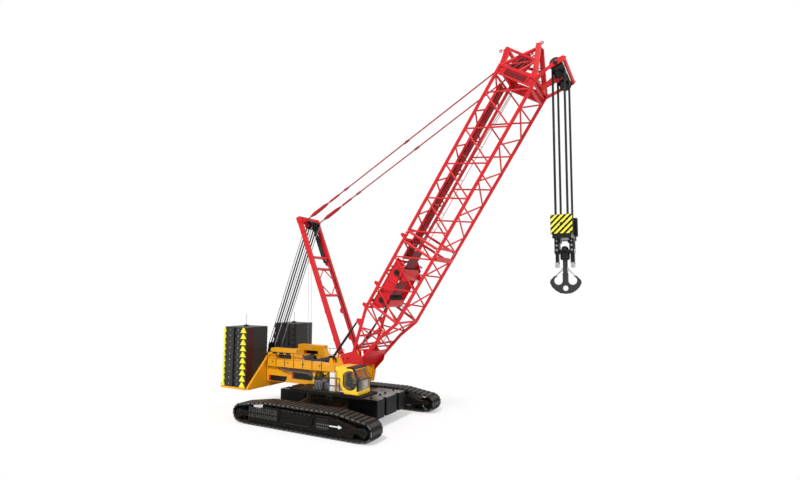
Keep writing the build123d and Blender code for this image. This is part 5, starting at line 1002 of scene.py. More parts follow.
@dataclass
class Platform:
    """Panels, pipes, winch ropes and fittings on the platform."""

    side_face: float = 1.9
    drums: tuple[float, ...] = (-3.70, -1.85, -0.50)
    drum_z: float = 3.56
    house_face: float = 3.35

    def build(self) -> None:
        """Build every piece of the platform."""
        self.side_panels()
        self.pipes()
        self.winch_ropes()
        self.engine_house()
        self.deck()
        self.tank()

    def side_panels(self) -> None:
        """Bare dark panels with a red rear edge and a sloped front end, and dark infill and slot patches
        painted as the shade in the raised boxes' openings.
        """
        panels = Form()
        edges = Form()
        y = -self.side_face - 0.002
        for x0, x1, z0, z1, slope in ((-5.28, -3.55, 2.36, 2.74, 0.18), (-3.10, -1.12, 2.66, 3.10, 0.22)):
            panels.upright([(x0 + 0.16, z0), (x1 - slope, z0), (x1, z1), (x0 + 0.16, z1)], y, -0.02)
            edges.slab((x0, y - 0.022, z0), (x0 + 0.16, y, z1))
        # Dark infill in the windows and dark patches on the slots: painted shade of the openings.
        for side in SIDES:
            panels.sided(side, (-4.60, 1.60, 3.98), (-3.22, 1.62, 4.28))
            for x0, x1 in ((-5.0, -4.55), (-4.35, -3.95), (-3.75, -3.30)):
                panels.sided(side, (x0, 1.899, 4.30), (x1, 1.910, 4.41))
        panels.piece("side_panels", BLACK, Body.PLATFORM, Slot.BLACK)
        edges.piece("side_panel_edges", RED, Body.PLATFORM, Slot.RED)

    def pipes(self) -> None:
        """Hydraulic pipes and hoses, yellow bracket plates and the lids of the valve boxes."""
        pipes = Form()
        for i in range(6):
            x = -0.98 + i * 0.15
            y = -1.96 - 0.02 * (i % 2)
            z = 0.05 * i
            pipes.pipe([(x, y, 2.46), (x, y, 2.86 + z), (x + 0.10, y, 3.05 + z), (x + 0.10, y, 3.44)], 0.028)
        for i in range(4):
            y = -3.0 + 0.2 * i
            z = 2.58 + 0.09 * i
            pipes.pipe([(-0.10, y, z + 0.3), (-0.35, y, z), (-0.35, -2.0, z), (-1.05, -2.0, z)], 0.024)
        hoses = Form()
        for i in range(5):
            x = 0.2 * i
            y = -1.96 - 0.03 * i
            z = 3.38 - 0.055 * i
            run = [(-4.6 + x, -1.91, z - 0.12), (-4.2 + x, y, z), (-1.6, y, z - 0.04), (-0.9, y, z - 0.35)]
            hoses.pipe(run, 0.02)
        hoses.piece("band_hoses", GREY_HOSE, Body.PLATFORM, Slot.GREY)
        for i in range(8):
            x = -0.08 + i * 0.16
            top = 3.30 - 0.05 * (i % 3)
            reach = -2.55 - 0.16 * (i % 4)
            run = [(x - 0.3, -1.98, top - 0.25), (x - 0.1, -2.2, top), (x, reach, top - 0.05)]
            pipes.pipe([*run, (x, reach - 0.1, 2.92)], 0.026)
        for i in range(5):
            x = -0.02 + i * 0.24
            run = [(x, -3.27, 2.86), (x, -3.33, 2.8), (x + 0.1, -3.33, 2.55), (x + 0.1, -3.27, 2.5)]
            pipes.pipe(run, 0.024)
        pipes.piece("hydraulic_pipes", RUBBER, Body.PLATFORM, Slot.BLACK)
        plates = Form()
        for x0, x1, z0, z1 in ((-0.20, 0.10, 3.02, 3.34), (-1.12, -0.98, 2.5, 3.2), (0.24, 0.46, 2.98, 3.24)):
            plates.slab((x0, -2.03, z0), (x1, -1.99, z1))
            for x in (x0 + 0.04, x1 - 0.04):
                plates.bolt((x, -2.03, z1 - 0.05), (0, -1, 0), 0.014, 0.012)
        plates.piece("bracket_plates", YELLOW, Body.PLATFORM, Slot.YELLOW, bevel=0.006)
        lids = Form()
        fitting = [(0, 0.045), (0.08, 0.045), (0.1, 0.025)]
        for x0, x1, outer, top in ((-0.10, 0.56, 3.25, 2.90), (0.66, 1.12, 3.05, 2.78)):
            lids.slab((x0 - 0.02, -outer - 0.02, top), (x1 + 0.02, -1.95, top + 0.03))
            for i in range(4):
                x = x0 + (x1 - x0) * (i + 0.5) / 4
                lids.turned((x, -outer + 0.14, top + 0.02), UP, fitting, 12)
        lids.piece("valve_box_lids", BOX_GREY, Body.PLATFORM, Slot.GREY, bevel=0.006)

    def winch_ropes(self) -> None:
        """Rope layers on the drums between the beams, and the lines to the rear sheaves."""
        layers = Form()
        for x in self.drums:
            profile = [(0.0, 0.30)]
            for i in range(34):
                profile += [(0.02 + i * 0.058, 0.385), (0.049 + i * 0.058, 0.41)]
            profile += [(2.0, 0.385), (2.01, 0.30)]
            layers.turned((x, -1.005, self.drum_z), (0, 1, 0), profile, 24)
        layers.piece("platform_rope_layers", ROPE, Body.PLATFORM, Slot.ROPE)
        lines = Form()
        for y in (-0.38, 0.38):
            lines.rod((-3.78, y * 0.8, 3.96), (-6.40, y, 4.93), 0.02, 8)
        lines.piece("rear_sheave_lines", ROPE, Body.PLATFORM, Slot.ROPE)

    def engine_house(self) -> None:
        """Doors, louvres, handles, roof covers and exhausts of the engine house."""
        doors = Form()
        slats = Form()
        handles = Form()
        for x0, x1 in ((-5.2, -4.1), (-4.0, -2.9), (-2.8, -1.7), (-1.6, -0.5), (-0.4, 0.55)):
            doors.slab((x0, self.house_face, 2.48), (x1, self.house_face + 0.025, 3.20))
            for i in range(9):
                z = 2.62 + i * 0.052
                section = [(3.375, z), (3.395, z + 0.006), (3.375, z + 0.036)]
                slats.prism([(x0 + 0.12, y, height) for y, height in section], (x1 - x0 - 0.24, 0.0, 0.0))
            handles.rod((x1 - 0.08, 3.40, 2.78), (x1 - 0.08, 3.40, 2.92), 0.009, 8)
            for z in (2.78, 2.92):
                handles.rod((x1 - 0.08, 3.37, z), (x1 - 0.08, 3.40, z), 0.009, 8)
        doors.piece("house_doors", ORANGE, Body.PLATFORM, Slot.YELLOW, bevel=0.01)
        slats.piece("house_louvres", BLACK, Body.PLATFORM, Slot.BLACK)
        handles.piece("house_handles", STEEL, Body.PLATFORM, Slot.STEEL)
        roof = Form()
        for x0, x1 in ((-5.0, -3.9), (-1.9, -0.9)):
            roof.slab((x0, 2.15, 3.30), (x1, 3.05, 3.38))
            for i in range(10):
                x = x0 + 0.1 + i * (x1 - x0 - 0.2) / 9
                roof.slab((x - 0.02, 2.25, 3.38), (x + 0.02, 2.95, 3.395))
        exhaust = [(0, 0.12), (0.05, 0.12), (0.06, 0.085), (0.55, 0.085), (0.56, 0.10), (0.62, 0.10)]
        for x in (-3.35, -3.05):
            roof.turned((x, 2.5, 3.29), UP, exhaust, 18)
        roof.piece("house_roof_covers", BLACK, Body.PLATFORM, Slot.BLACK, bevel=0.008)

    def deck(self) -> None:
        """Raised tread marks, kick plates and a ladder on the cab deck."""
        tread = Form()
        mark = ((0.0, 0.0, 2.44), (0.06, 0.06, 2.44), (0.066, 0.05, 2.446), (0.004, -0.01, 2.446))
        for i, x in enumerate(spread(-1.4, 3.9, 36)):
            for j, y in enumerate(spread(-3.85, -2.05, 13)):
                if (2.0 < x < 3.85 and y < -2.3) or (-0.2 < x < 1.75 and y > -3.35):
                    continue
                turn = 1 if (i + j) % 2 else -1
                x0, y0 = x - 0.03, y - 0.03 * turn
                tread.prism([(x0 + a, y0 + b * turn, z) for a, b, z in mark], (0.0, 0.010, 0.0))
        tread.piece("deck_tread", CHASSIS, Body.PLATFORM, Slot.BLACK)
        edge = Form()
        edge.slab((-1.56, -3.955, 2.30), (4.055, -3.945, 2.47))
        edge.slab((4.045, -3.95, 2.30), (4.058, -1.95, 2.47))
        for x in (1.45, 1.87):
            edge.rod((x, -3.97, 2.05), (x, -3.97, 2.44), 0.018, 8)
        for z in (2.09, 2.27):
            edge.slab((1.45, -4.0, z - 0.01), (1.87, -3.94, z + 0.01))
        edge.piece("deck_edges", CHASSIS, Body.PLATFORM, Slot.BLACK)

    def tank(self) -> None:
        """Filler, straps and the orange edge of the side tank."""
        strip = Form()
        strip.slab((1.62, -3.315, 2.46), (1.685, -3.30, 3.62))
        strip.slab((1.68, -3.30, 2.46), (1.70, -2.66, 3.62))
        strip.piece("tank_edge", ORANGE, Body.PLATFORM, Slot.YELLOW, bevel=0.004)
        caps = Form()
        caps.turned((1.42, -3.0, 3.61), UP, [(0, 0.07), (0.05, 0.07), (0.07, 0.05)], 16)
        for z in (2.75, 3.25):
            caps.slab((1.212, -3.31, z), (1.62, -3.30, z + 0.05))
        caps.piece("tank_fittings", BLACK, Body.PLATFORM, Slot.BLACK, bevel=0.004)


@dataclass
class Counterweight:
    """Lugs, bolts, tie rods, seams and pads on the slab stacks."""

    rear: float = -7.96
    front: float = -5.767
    inner: float = 1.678
    outer: float = 3.777
    base: float = 2.0003
    rise: float = 0.4283
    count: int = 10
    lug_width: float = 0.52
    edge_lug_width: float = 0.26
    lug_height: float = 0.37
    lug_reach: float = 0.10
    rod_x: float = -6.9
    rod_y: float = 2.75

    def build(self) -> None:
        """Build every piece of the counterweight."""
        self.lugs("outer_lugs", LUG_YELLOW, self.outer, 1, Slot.YELLOW)
        self.lugs("inner_lugs", STACK_GREY, self.inner, -1, Slot.GREY)
        self.bolts()
        self.tie_rods()
        self.front_plates()
        self.pads()

    def lugs(self, name: str, finish: Finish, face: float, outward: int, slot: Slot) -> None:
        """Add triangular lugs near both edges of each slab's face.

        Args:
            name: The piece's name.
            finish: Its finish.
            face: How far the face is from the crane's middle.
            outward: 1 where the face looks outwards and -1 where it looks inwards.
            slot: The material slot handed on to the piece, which does not use it.
        """
        form = Form()
        places = ((self.rear + 0.03, self.edge_lug_width / 2), (self.front - 0.30, self.lug_width / 2))
        for side in SIDES:
            for i in range(self.count):
                z = self.base + i * self.rise + 0.03
                tip = z + self.lug_height
                for x, half in places:
                    outline = [(x - half, z), (x + half, z), (x + 0.03, tip), (x - 0.03, tip)]
                    form.upright(outline, side * face, side * outward * self.lug_reach)
        form.piece(name, finish, Body.PLATFORM, slot, bevel=0.01)

    def bolts(self) -> None:
        """Add pale bolt heads on the outer faces."""
        form = Form()
        for side in SIDES:
            for i in range(self.count):
                z = self.base + (i + 0.5) * self.rise
                for x in (-7.42, -6.62):
                    form.bolt((x, side * self.outer, z), (0, side, 0), 0.032, 0.03)
        form.piece("slab_bolts", SILVER, Body.PLATFORM, Slot.STEEL)

    def tie_rods(self) -> None:
        """Add the tie rods that stand on small blocks on the stacks."""
        rods = Form()
        blocks = Form()
        top = self.base + self.count * self.rise
        x = self.rod_x
        for side in SIDES:
            y = side * self.rod_y
            blocks.slab((x - 0.14, y - 0.14, top), (x + 0.14, y + 0.14, top + 0.10))
            blocks.turned((x, y, top + 0.10), UP, [(0, 0.06), (0.06, 0.06)], 6)
            rods.rod((x, y, top), (x, y, top + 0.78), 0.022, 8)
            rods.turned((x, y, top + 0.78), UP, [(0, 0.045), (0.06, 0.045), (0.08, 0.02)], 10)
        rods.piece("tie_rods", STEEL, Body.PLATFORM, Slot.STEEL)
        blocks.piece("tie_blocks", BLACK, Body.PLATFORM, Slot.BLACK, bevel=0.01)

    def front_plates(self) -> None:
        """Add the dark red strip, a painted reddish reflection, and the dark seams on the front faces."""
        form = Form()
        seams = Form()
        top = self.base + self.count * self.rise
        low = (self.front, -self.outer + 0.01, self.base + 0.02)
        # The dark red strip is a painted reddish reflection on the front face.
        form.slab(low, (self.front + 0.01, -self.outer + 0.62, top - 0.02))
        for i in range(1, self.count):
            z = self.base + i * self.rise
            for side in SIDES:
                low = (self.front, self.inner + 0.03, z - 0.012)
                seams.sided(side, low, (self.front + 0.004, self.outer - 0.66, z + 0.012))
        seams.piece("stack_seams", BLACK, Body.PLATFORM, Slot.BLACK)
        form.piece("stack_front_painted_reflection", PAINTED_REFLECTION_RED, Body.PLATFORM, Slot.RED)

    def pads(self) -> None:
        """Add dark pads on the outer faces, and on the inner faces a dark plate of painted shade between the
        stacks, with bars.
        """
        form = Form()
        top = self.base + self.count * self.rise
        for side in SIDES:
            for i in range(self.count):
                z = self.base + i * self.rise
                for x0, x1 in ((-7.10, -7.02), (-6.88, -6.80)):
                    form.sided(side, (x0, self.outer - 0.10, z + 0.10), (x1, self.outer + 0.03, z + 0.32))
        for side in SIDES:
            # The dark plate on each inner face is painted shade between the stacks.
            low = (self.rear + 0.02, self.inner - 0.012, self.base + 0.02)
            form.sided(side, low, (self.front - 0.62, self.inner + 0.002, top - 0.02))
            for x in (-7.55, -7.05, -6.55):
                low = (x - 0.05, self.inner - 0.05, self.base + 0.04)
                form.sided(side, low, (x + 0.05, self.inner, top - 0.05))
        form.piece("slab_pads_and_inner_painted_shade", BLACK, Body.PLATFORM, Slot.BLACK, bevel=0.01)


@dataclass
class Cab:
    """Glass, trim, wiper, mirror, controls and lining of the cab."""

    outer: float = -3.84
    inner: float = -2.40
    door_centre: Pair = (3.13, 3.34)
    window_radius: float = 0.60
    heel: Pair = (3.75, 2.50)
    sill: Pair = (3.79, 3.38)
    lower_lean: float = 0.04 / 0.88
    upper_lean: float = 0.39 / 0.76
    door_edge: tuple[Pair, ...] = (
        (2.63, 4.01), (2.63, 2.86), (2.80, 2.63), (3.62, 2.63), (3.66, 3.36), (3.30, 4.01),
    )

    def build(self) -> None:
        """Build every piece of the cab."""
        self.glass()
        self.door_glass()
        self.trim()
        self.fittings()
        self.controls()

    def front_x(self, z: float) -> float:
        """Find the front face, which is bent at the sill.

        Args:
            z: The height.

        Returns:
            The face's x at that height.
        """
        if z > self.sill[1]:
            return self.sill[0] - (z - self.sill[1]) * self.upper_lean
        return self.heel[0] + (z - self.heel[1]) * self.lower_lean

    def glass(self) -> None:
        """Upper and lower windscreen and the left side window."""
        self.pane("windscreen", BROWN_GLASS, 4.03, 3.40, (0.012, 0, 0.006))
        self.pane("lower_windscreen", CLEAR_GLASS, 3.36, 2.70, (0.012, 0, 0))
        side = Form()
        side.slab((2.34, self.inner - 0.03, 3.36), (3.29, self.inner - 0.018, 4.03))
        side.piece("side_window", CLEAR_GLASS, Body.PLATFORM)

    def pane(self, name: str, finish: Finish, top: float, bottom: float, depth: Point) -> None:
        """Add a pane of the windscreen.

        Args:
            name: The piece's name.
            finish: Its glass.
            top: The height of its upper edge.
            bottom: The height of its lower edge.
            depth: Its thickness as a vector.
        """
        form = Form()
        right, left = self.outer + 0.08, self.inner - 0.08
        corners = ((right, top), (right, bottom), (left, bottom), (left, top))
        form.prism([(self.front_x(z) - 0.03, y, z) for y, z in corners], depth)
        form.piece(name, finish, Body.PLATFORM)

    def inside(self, x: float, z: float) -> Pair:
        """Pull a point back to the door panel's outline.

        Args:
            x: The point's x.
            z: The point's z.

        Returns:
            The x and z of the nearest place inside.
        """
        for (ax, az), (bx, bz) in zip(self.door_edge, self.door_edge[1:] + self.door_edge[:1]):
            nx, nz = -(bz - az), bx - ax
            length = (nx * nx + nz * nz) ** 0.5
            gap = ((x - ax) * nx + (z - az) * nz) / length
            if gap < 0.0:
                x, z = x - gap * nx / length, z - gap * nz / length
        return x, z

    def door_glass(self) -> None:
        """Round door window with its dark seal and the door's handle."""
        cx, cz = self.door_centre
        angles = [2 * pi * i / 48 for i in range(48)]
        radius = self.window_radius
        outline = [self.inside(cx + radius * cos(a), cz + radius * sin(a)) for a in angles]
        pane = Form()
        pane.upright(outline, self.outer + 0.030, 0.010)
        pane.piece("door_window", CLEAR_GLASS, Body.DOOR)
        seal = Form()
        rows = []
        for scale, y in ((1.0, -0.002), (1.0, -0.012), (0.93, -0.012), (0.93, 0.03), (1.0, 0.03)):
            rows.append([(cx + (x - cx) * scale, self.outer + y, cz + (z - cz) * scale) for x, z in outline])
        seal.rings(rows + [rows[0]], capped=False)
        bmesh.ops.remove_doubles(seal.mesh, verts=seal.mesh.verts, dist=1e-5)
        seal.piece("door_window_seal", BLACK, Body.DOOR, Slot.BLACK)
        handle = Form()
        grip = self.outer - 0.05
        run = ((self.outer, 3.05), (grip, 3.05), (grip, 3.30), (self.outer, 3.30))
        handle.pipe([(2.66, y, z) for y, z in run], 0.012)
        handle.piece("door_handle", BLACK, Body.DOOR, Slot.BLACK)

    def trim(self) -> None:
        """Black roof band, corner posts and window seals."""
        form = Form()
        right, left = self.outer - 0.012, self.inner + 0.012
        roof = ((2.86, 4.09), (2.92, 4.165), (3.36, 4.165), (3.46, 4.06))
        for y in (right, self.inner - 0.002):
            form.upright(roof, y, 0.014)
        form.slab((2.92, right, 4.14), (3.38, left, 4.165))
        form.upright(((3.38, 4.165), (3.44, 4.14), (3.47, 4.05), (3.43, 4.05)), right, left - right)
        points = [(self.front_x(z), z) for z in spread(4.10, self.sill[1], 7) + spread(3.30, 2.72, 5)]
        front = [(x + 0.014, z) for x, z in points]
        back = [(x - 0.12, z) for x, z in reversed(points)]
        for y in (self.outer - 0.010, self.inner - 0.10):
            form.upright(front + back, y, 0.11)
        x = self.front_x(self.sill[1])
        form.slab((x - 0.03, self.outer + 0.09, 3.35), (x + 0.014, self.inner - 0.09, 3.41))
        form.piece("cab_trim", BLACK, Body.PLATFORM, Slot.BLACK, bevel=0.006)

    def fittings(self) -> None:
        """Wiper, mirror and grab rail."""
        black = Form()
        wiper = [(self.front_x(z) + 0.02, y, z) for y, z in ((-3.12, 3.42), (-3.42, 3.92))]
        black.rod(wiper[0], wiper[1], 0.010, 8)
        black.pipe([(self.front_x(3.9), -3.86, 3.9), (3.78, -4.02, 3.92), (3.78, -4.02, 3.62)], 0.010)
        black.slab((3.76, -4.10, 3.50), (3.79, -3.94, 3.80))
        black.pipe([(2.20, -3.86, 3.0), (2.20, -3.93, 3.0), (2.20, -3.93, 3.85), (2.20, -3.86, 3.85)], 0.014)
        black.piece("cab_fittings", BLACK, Body.PLATFORM, Slot.BLACK, bevel=0.004)

    def controls(self) -> None:
        """Screen, levers and arm rests in front of the seat, and the pale lining."""
        form = Form()
        form.slab((3.30, -3.30, 3.24), (3.34, -2.96, 3.46))
        knob = [(0, 0.018), (0.02, 0.03), (0.07, 0.028), (0.08, 0.015)]
        for y in (-3.42, -2.84):
            form.slab((2.72, y - 0.05, 3.12), (3.08, y + 0.05, 3.18))
            form.rod((3.04, y, 3.16), (3.07, y, 3.34), 0.014, 8)
            form.turned((3.07, y, 3.33), (0.1, 0, 1), knob, 12)
        lining = Form()
        lining.slab((2.125, -3.76, 2.60), (2.14, -2.48, 4.02))
        lining.slab((2.20, -2.475, 2.58), (3.66, -2.46, 3.34))
        lining.slab((2.16, -3.74, 2.560), (3.66, -2.50, 2.568))
        lining.slab((2.20, -3.70, 4.045), (3.30, -2.50, 4.055))
        lining.piece("cab_lining", LINING, Body.PLATFORM, Slot.WHITE)
        form.piece("cab_controls", BLACK, Body.PLATFORM, Slot.BLACK, bevel=0.006)


@dataclass
class Mast:
    """Fittings on the mast and the ropes that hold it."""

    foot: Pair = (0.6, 4.44)
    angle: float = 112.2
    leg: float = 1.08
    rear_sheaves: Pair = (-6.5, 4.63)
    top_sheaves: Pair = (10.21, 0.23)
    rear_turn: float = 0.31
    top_turn: float = 0.33

    def at(self, s: float, y: float, n: float) -> Vector:
        """Return the place s along the mast and n towards the boom."""
        c, d = cos(radians(self.angle)), sin(radians(self.angle))
        return Vector((self.foot[0] + s * c + n * d, y, self.foot[1] + s * d - n * c))

    def build(self) -> None:
        """Build every piece of the mast."""
        self.fittings()
        self.hoist_ropes()
        self.guide_lines()

    def fittings(self) -> None:
        """Stiffeners and lugs on the legs, two pipes and the dark cylinder."""
        red = Form()
        for side in SIDES:
            y = side * (self.leg - 0.135)
            for s in (2.2, 3.4, 5.5, 8.8, 9.6):
                across = self.at(s, y, -0.16) - self.at(s, y, 0.16)
                start = [self.at(s, y, 0.17), self.at(s + 0.03, y, 0.17)]
                start += [point + Vector((0, side * 0.27, 0)) for point in reversed(start)]
                red.prism(start, across * 1.07)
            for s in (1.0, 3.1, 7.0, 8.2):
                lug = ((s, -0.16), (s + 0.5, -0.16), (s + 0.35, -0.34), (s + 0.15, -0.34))
                red.prism([self.at(a, side * 0.95, n) for a, n in lug], (0.0, side * 0.04, 0.0))
        red.piece("mast_fittings", RED, Body.MAST, Slot.RED, bevel=0.006)
        pipes = Form()
        for y in (0.935, 0.875):
            pipes.pipe([self.at(0.5, y, 0.10), self.at(7.3, y, 0.10), self.at(7.6, y - 0.035, -0.15)], 0.018)
        low = self.at(7.62, 0.85, -0.25)
        barrel = [(0.0, 0.10), (0.03, 0.145), (1.9, 0.145), (1.95, 0.12), (2.35, 0.12), (2.38, 0.10)]
        pipes.turned(low, self.at(10.0, 0.85, -0.25) - low, barrel, 18)
        pipes.piece("mast_pipes", RUBBER, Body.MAST, Slot.BLACK)

    def rope(self, name: str, finish: Finish, lines: Sequence[tuple[Vector, Vector]], radius: float) -> None:
        """Add straight ropes that run between the platform and the mast.

        Args:
            name: The piece's name.
            finish: Its finish.
            lines: Rows of the platform end and the mast end.
            radius: The rope's radius.
        """
        form = Form()
        for low, high in lines:
            form.rod(low, high, radius, 8)
        piece = form.piece(name, finish, None, Slot.ROPE)
        lows = [low for low, _ in lines]
        highs = [high for _, high in lines]
        start = sum(lows, Vector()) / len(lows)
        end = sum(highs, Vector()) / len(highs)
        run = (end - start).normalized()
        first = max((low - start).dot(run) for low in lows) + 0.02
        last = min((high - start).dot(run) for high in highs) - 0.02
        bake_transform(piece)

    def hoist_ropes(self) -> None:
        """Ropes between the rear sheaves and the sheaves on the mast."""
        rear = Vector((self.rear_sheaves[0], 0.0, self.rear_sheaves[1]))
        head = self.at(self.top_sheaves[0], 0.0, self.top_sheaves[1])
        run = (head - rear).normalized()
        square = Vector((-run.z, 0.0, run.x))
        thin = []
        thick = []
        for y0, y1 in ((-0.38, -0.43), (-0.127, -0.143), (0.127, 0.143), (0.38, 0.43)):
            for turn in SIDES:
                low = rear + square * (self.rear_turn * turn) + Vector((0.0, y0, 0.0))
                high = head + square * (self.top_turn * turn) + Vector((0.0, y1, 0.0))
                (thin if abs(y0) > 0.2 else thick).append((low, high))
        self.rope("mast_ropes_outer", BRIGHT_ROPE, thin, 0.030)
        self.rope("mast_ropes_inner", ROPE, thick, 0.052)

    def guide_lines(self) -> None:
        """Two thin lines that hang from the mast head to the platform."""
        lines = []
        for x in (0.0, 0.27):
            lines.append((Vector((-2.36 + x, -1.08, 4.72)), Vector((-2.50 + x, -1.08, 12.0))))
        self.rope("guide_lines", BRIGHT_ROPE, lines, 0.009)


@dataclass
class BoomFrame:
    """The boom's own directions and its half width and half depth."""

    foot: Pair = (1.57, 3.48)
    along: Pair = (0.532435, 0.846476)
    half: float = 1.476
    depth: float = 1.27

    def at(self, s: float, y: float, n: float) -> Vector:
        """Return the place s along the boom and n towards its lower face."""
        c, d = self.along
        return Vector((self.foot[0] + s * c + n * d, y, self.foot[1] + s * d - n * c))

    def plate(self, form: Form, outline: Iterable[Pair], y0: float, y1: float) -> None:
        """Add a plate square to Y from an outline of s and n."""
        form.prism([self.at(s, y0, n) for s, n in outline], (0.0, y1 - y0, 0.0))

    def side_plate(self, form: Form, side: int, outline: Iterable[Pair], y0: float, y1: float) -> None:
        """Add a plate on one side of the boom, with its y as on the left side."""
        low, high = sorted((side * y0, side * y1))
        self.plate(form, outline, low, high)


@dataclass
class Lattice(BoomFrame):
    """Painted sleeves on the boom's chords and braces."""

    chord: float = 0.112
    brace: float = 0.054
    cross: float = 0.076
    frame_bar: float = 0.088
    inset: float = 0.07
    joint: float = 10.26
    head: float = 21.62
    rung: float = 1.5
    upper_line: tuple[Pair, ...] = ((1.38, -0.48), (4.39, -1.27), (21.62, -1.27))
    lower_line: tuple[Pair, ...] = ((1.28, 0.35), (3.27, 0.74), (4.75, 1.27), (21.62, 1.27))
    knees: tuple[float, ...] = (1.38, 2.21, 3.0, 3.7, 4.39)

    def build(self) -> None:
        """Build the sleeves of both sections and the heavy beam at their joint."""
        base = spread(4.80, 9.65, 5)
        top = spread(self.joint + 0.11, self.head - 0.06, 10)
        chords = Form()
        braces = Form()
        for side in SIDES:
            y = side * self.half
            for line in (self.upper_line, self.lower_line):
                for (s0, n0), (s1, n1) in zip(line, line[1:]):
                    chords.rod(self.at(s0, y, n0), self.at(s1, y, n1), self.chord, 14)
            foot = [(s, self.chord_n(s, i % 2 == 1)) for i, s in enumerate(self.knees)]
            lower_base = self.zigzag(base, side < 0)
            lower_top = self.zigzag(top, side > 0)
            for places in (foot, lower_base, lower_top):
                for (s0, n0), (s1, n1) in zip(places, places[1:]):
                    braces.rod(self.at(s0, y, n0), self.at(s1, y, n1), self.brace, 10)
            for s in (base[0], base[-1], top[0]):
                braces.rod(self.at(s, y, -self.depth), self.at(s, y, self.depth), self.frame_bar, 12)
        for on_lower, stations, near_first, ends in (
            (False, [self.rung, 2.7, *base], True, (self.rung, 4.39, 4.92, 9.65)),
            (True, [1.9, 3.27, *base], False, (4.80, 9.65)),
            (False, top, False, (top[0] + 0.12, top[-1])),
            (True, top, True, (top[0] + 0.12, top[-1])),
        ):
            self.face(braces, on_lower, stations, near_first, ends)
        reach = self.half - self.inset
        heavy = Form()
        heavy.beam(self.at(9.78, -reach, self.depth), self.at(9.78, reach, self.depth), 0.30, 0.26)
        heavy.beam(self.at(9.78, -reach, -self.depth), self.at(9.78, reach, -self.depth), 0.16, 0.14)
        for s, n in ((1.9, -0.35), (2.5, -0.62), (2.5, 0.45)):
            heavy.beam(self.at(s, -reach, n), self.at(s, reach, n), 0.13, 0.13)
        heavy.rod(self.at(1.9, -reach, -0.35), self.at(3.0, reach, -0.85), 0.05, 10)
        heavy.rod(self.at(1.9, reach, -0.35), self.at(3.0, -reach, -0.85), 0.05, 10)
        heavy.piece("joint_beams", RED, Body.BOOM, Slot.RED, bevel=0.01)
        chords.piece("chord_sleeves", RED, Body.BOOM, Slot.RED)
        braces.piece("brace_sleeves", RED, Body.BOOM, Slot.RED)

    def chord_n(self, s: float, on_lower: bool) -> float:
        """Find a chord's distance from the boom's middle line.

        Args:
            s: The place along the boom.
            on_lower: Whether the chord is a lower one.

        Returns:
            The chord's n at that place.
        """
        line = self.lower_line if on_lower else self.upper_line
        for (s0, n0), (s1, n1) in zip(line, line[1:]):
            if s <= s1:
                return n0 + (max(s, s0) - s0) * (n1 - n0) / (s1 - s0)
        return line[-1][1]

    def zigzag(self, stations: Sequence[float], lower_first: bool) -> list[Pair]:
        """Return the nodes of a side's braces, in turn on the lower and the upper chord."""
        return [(s, self.chord_n(s, (i % 2 == 0) == lower_first)) for i, s in enumerate(stations)]

    def face(
        self, form: Form, on_lower: bool, stations: Sequence[float], near_first: bool, ends: Iterable[float]
    ) -> None:
        """Add the braces between the two sides on one face.

        Args:
            form: The mesh that they go to.
            on_lower: Whether the face is the lower one.
            stations: The places along the boom where the braces meet a chord.
            near_first: Whether the first place is on the near chord.
            ends: The places of the bars straight across.
        """
        reach = self.half - self.inset
        places = []
        for i, s in enumerate(stations):
            y = -reach if (i % 2 == 0) == near_first else reach
            places.append(self.at(s, y, self.chord_n(s, on_lower)))
        for start, end in zip(places, places[1:]):
            form.rod(start, end, self.brace, 10)
        for s in ends:
            n = self.chord_n(s, on_lower)
            form.rod(self.at(s, -reach, n), self.at(s, reach, n), self.cross, 12)


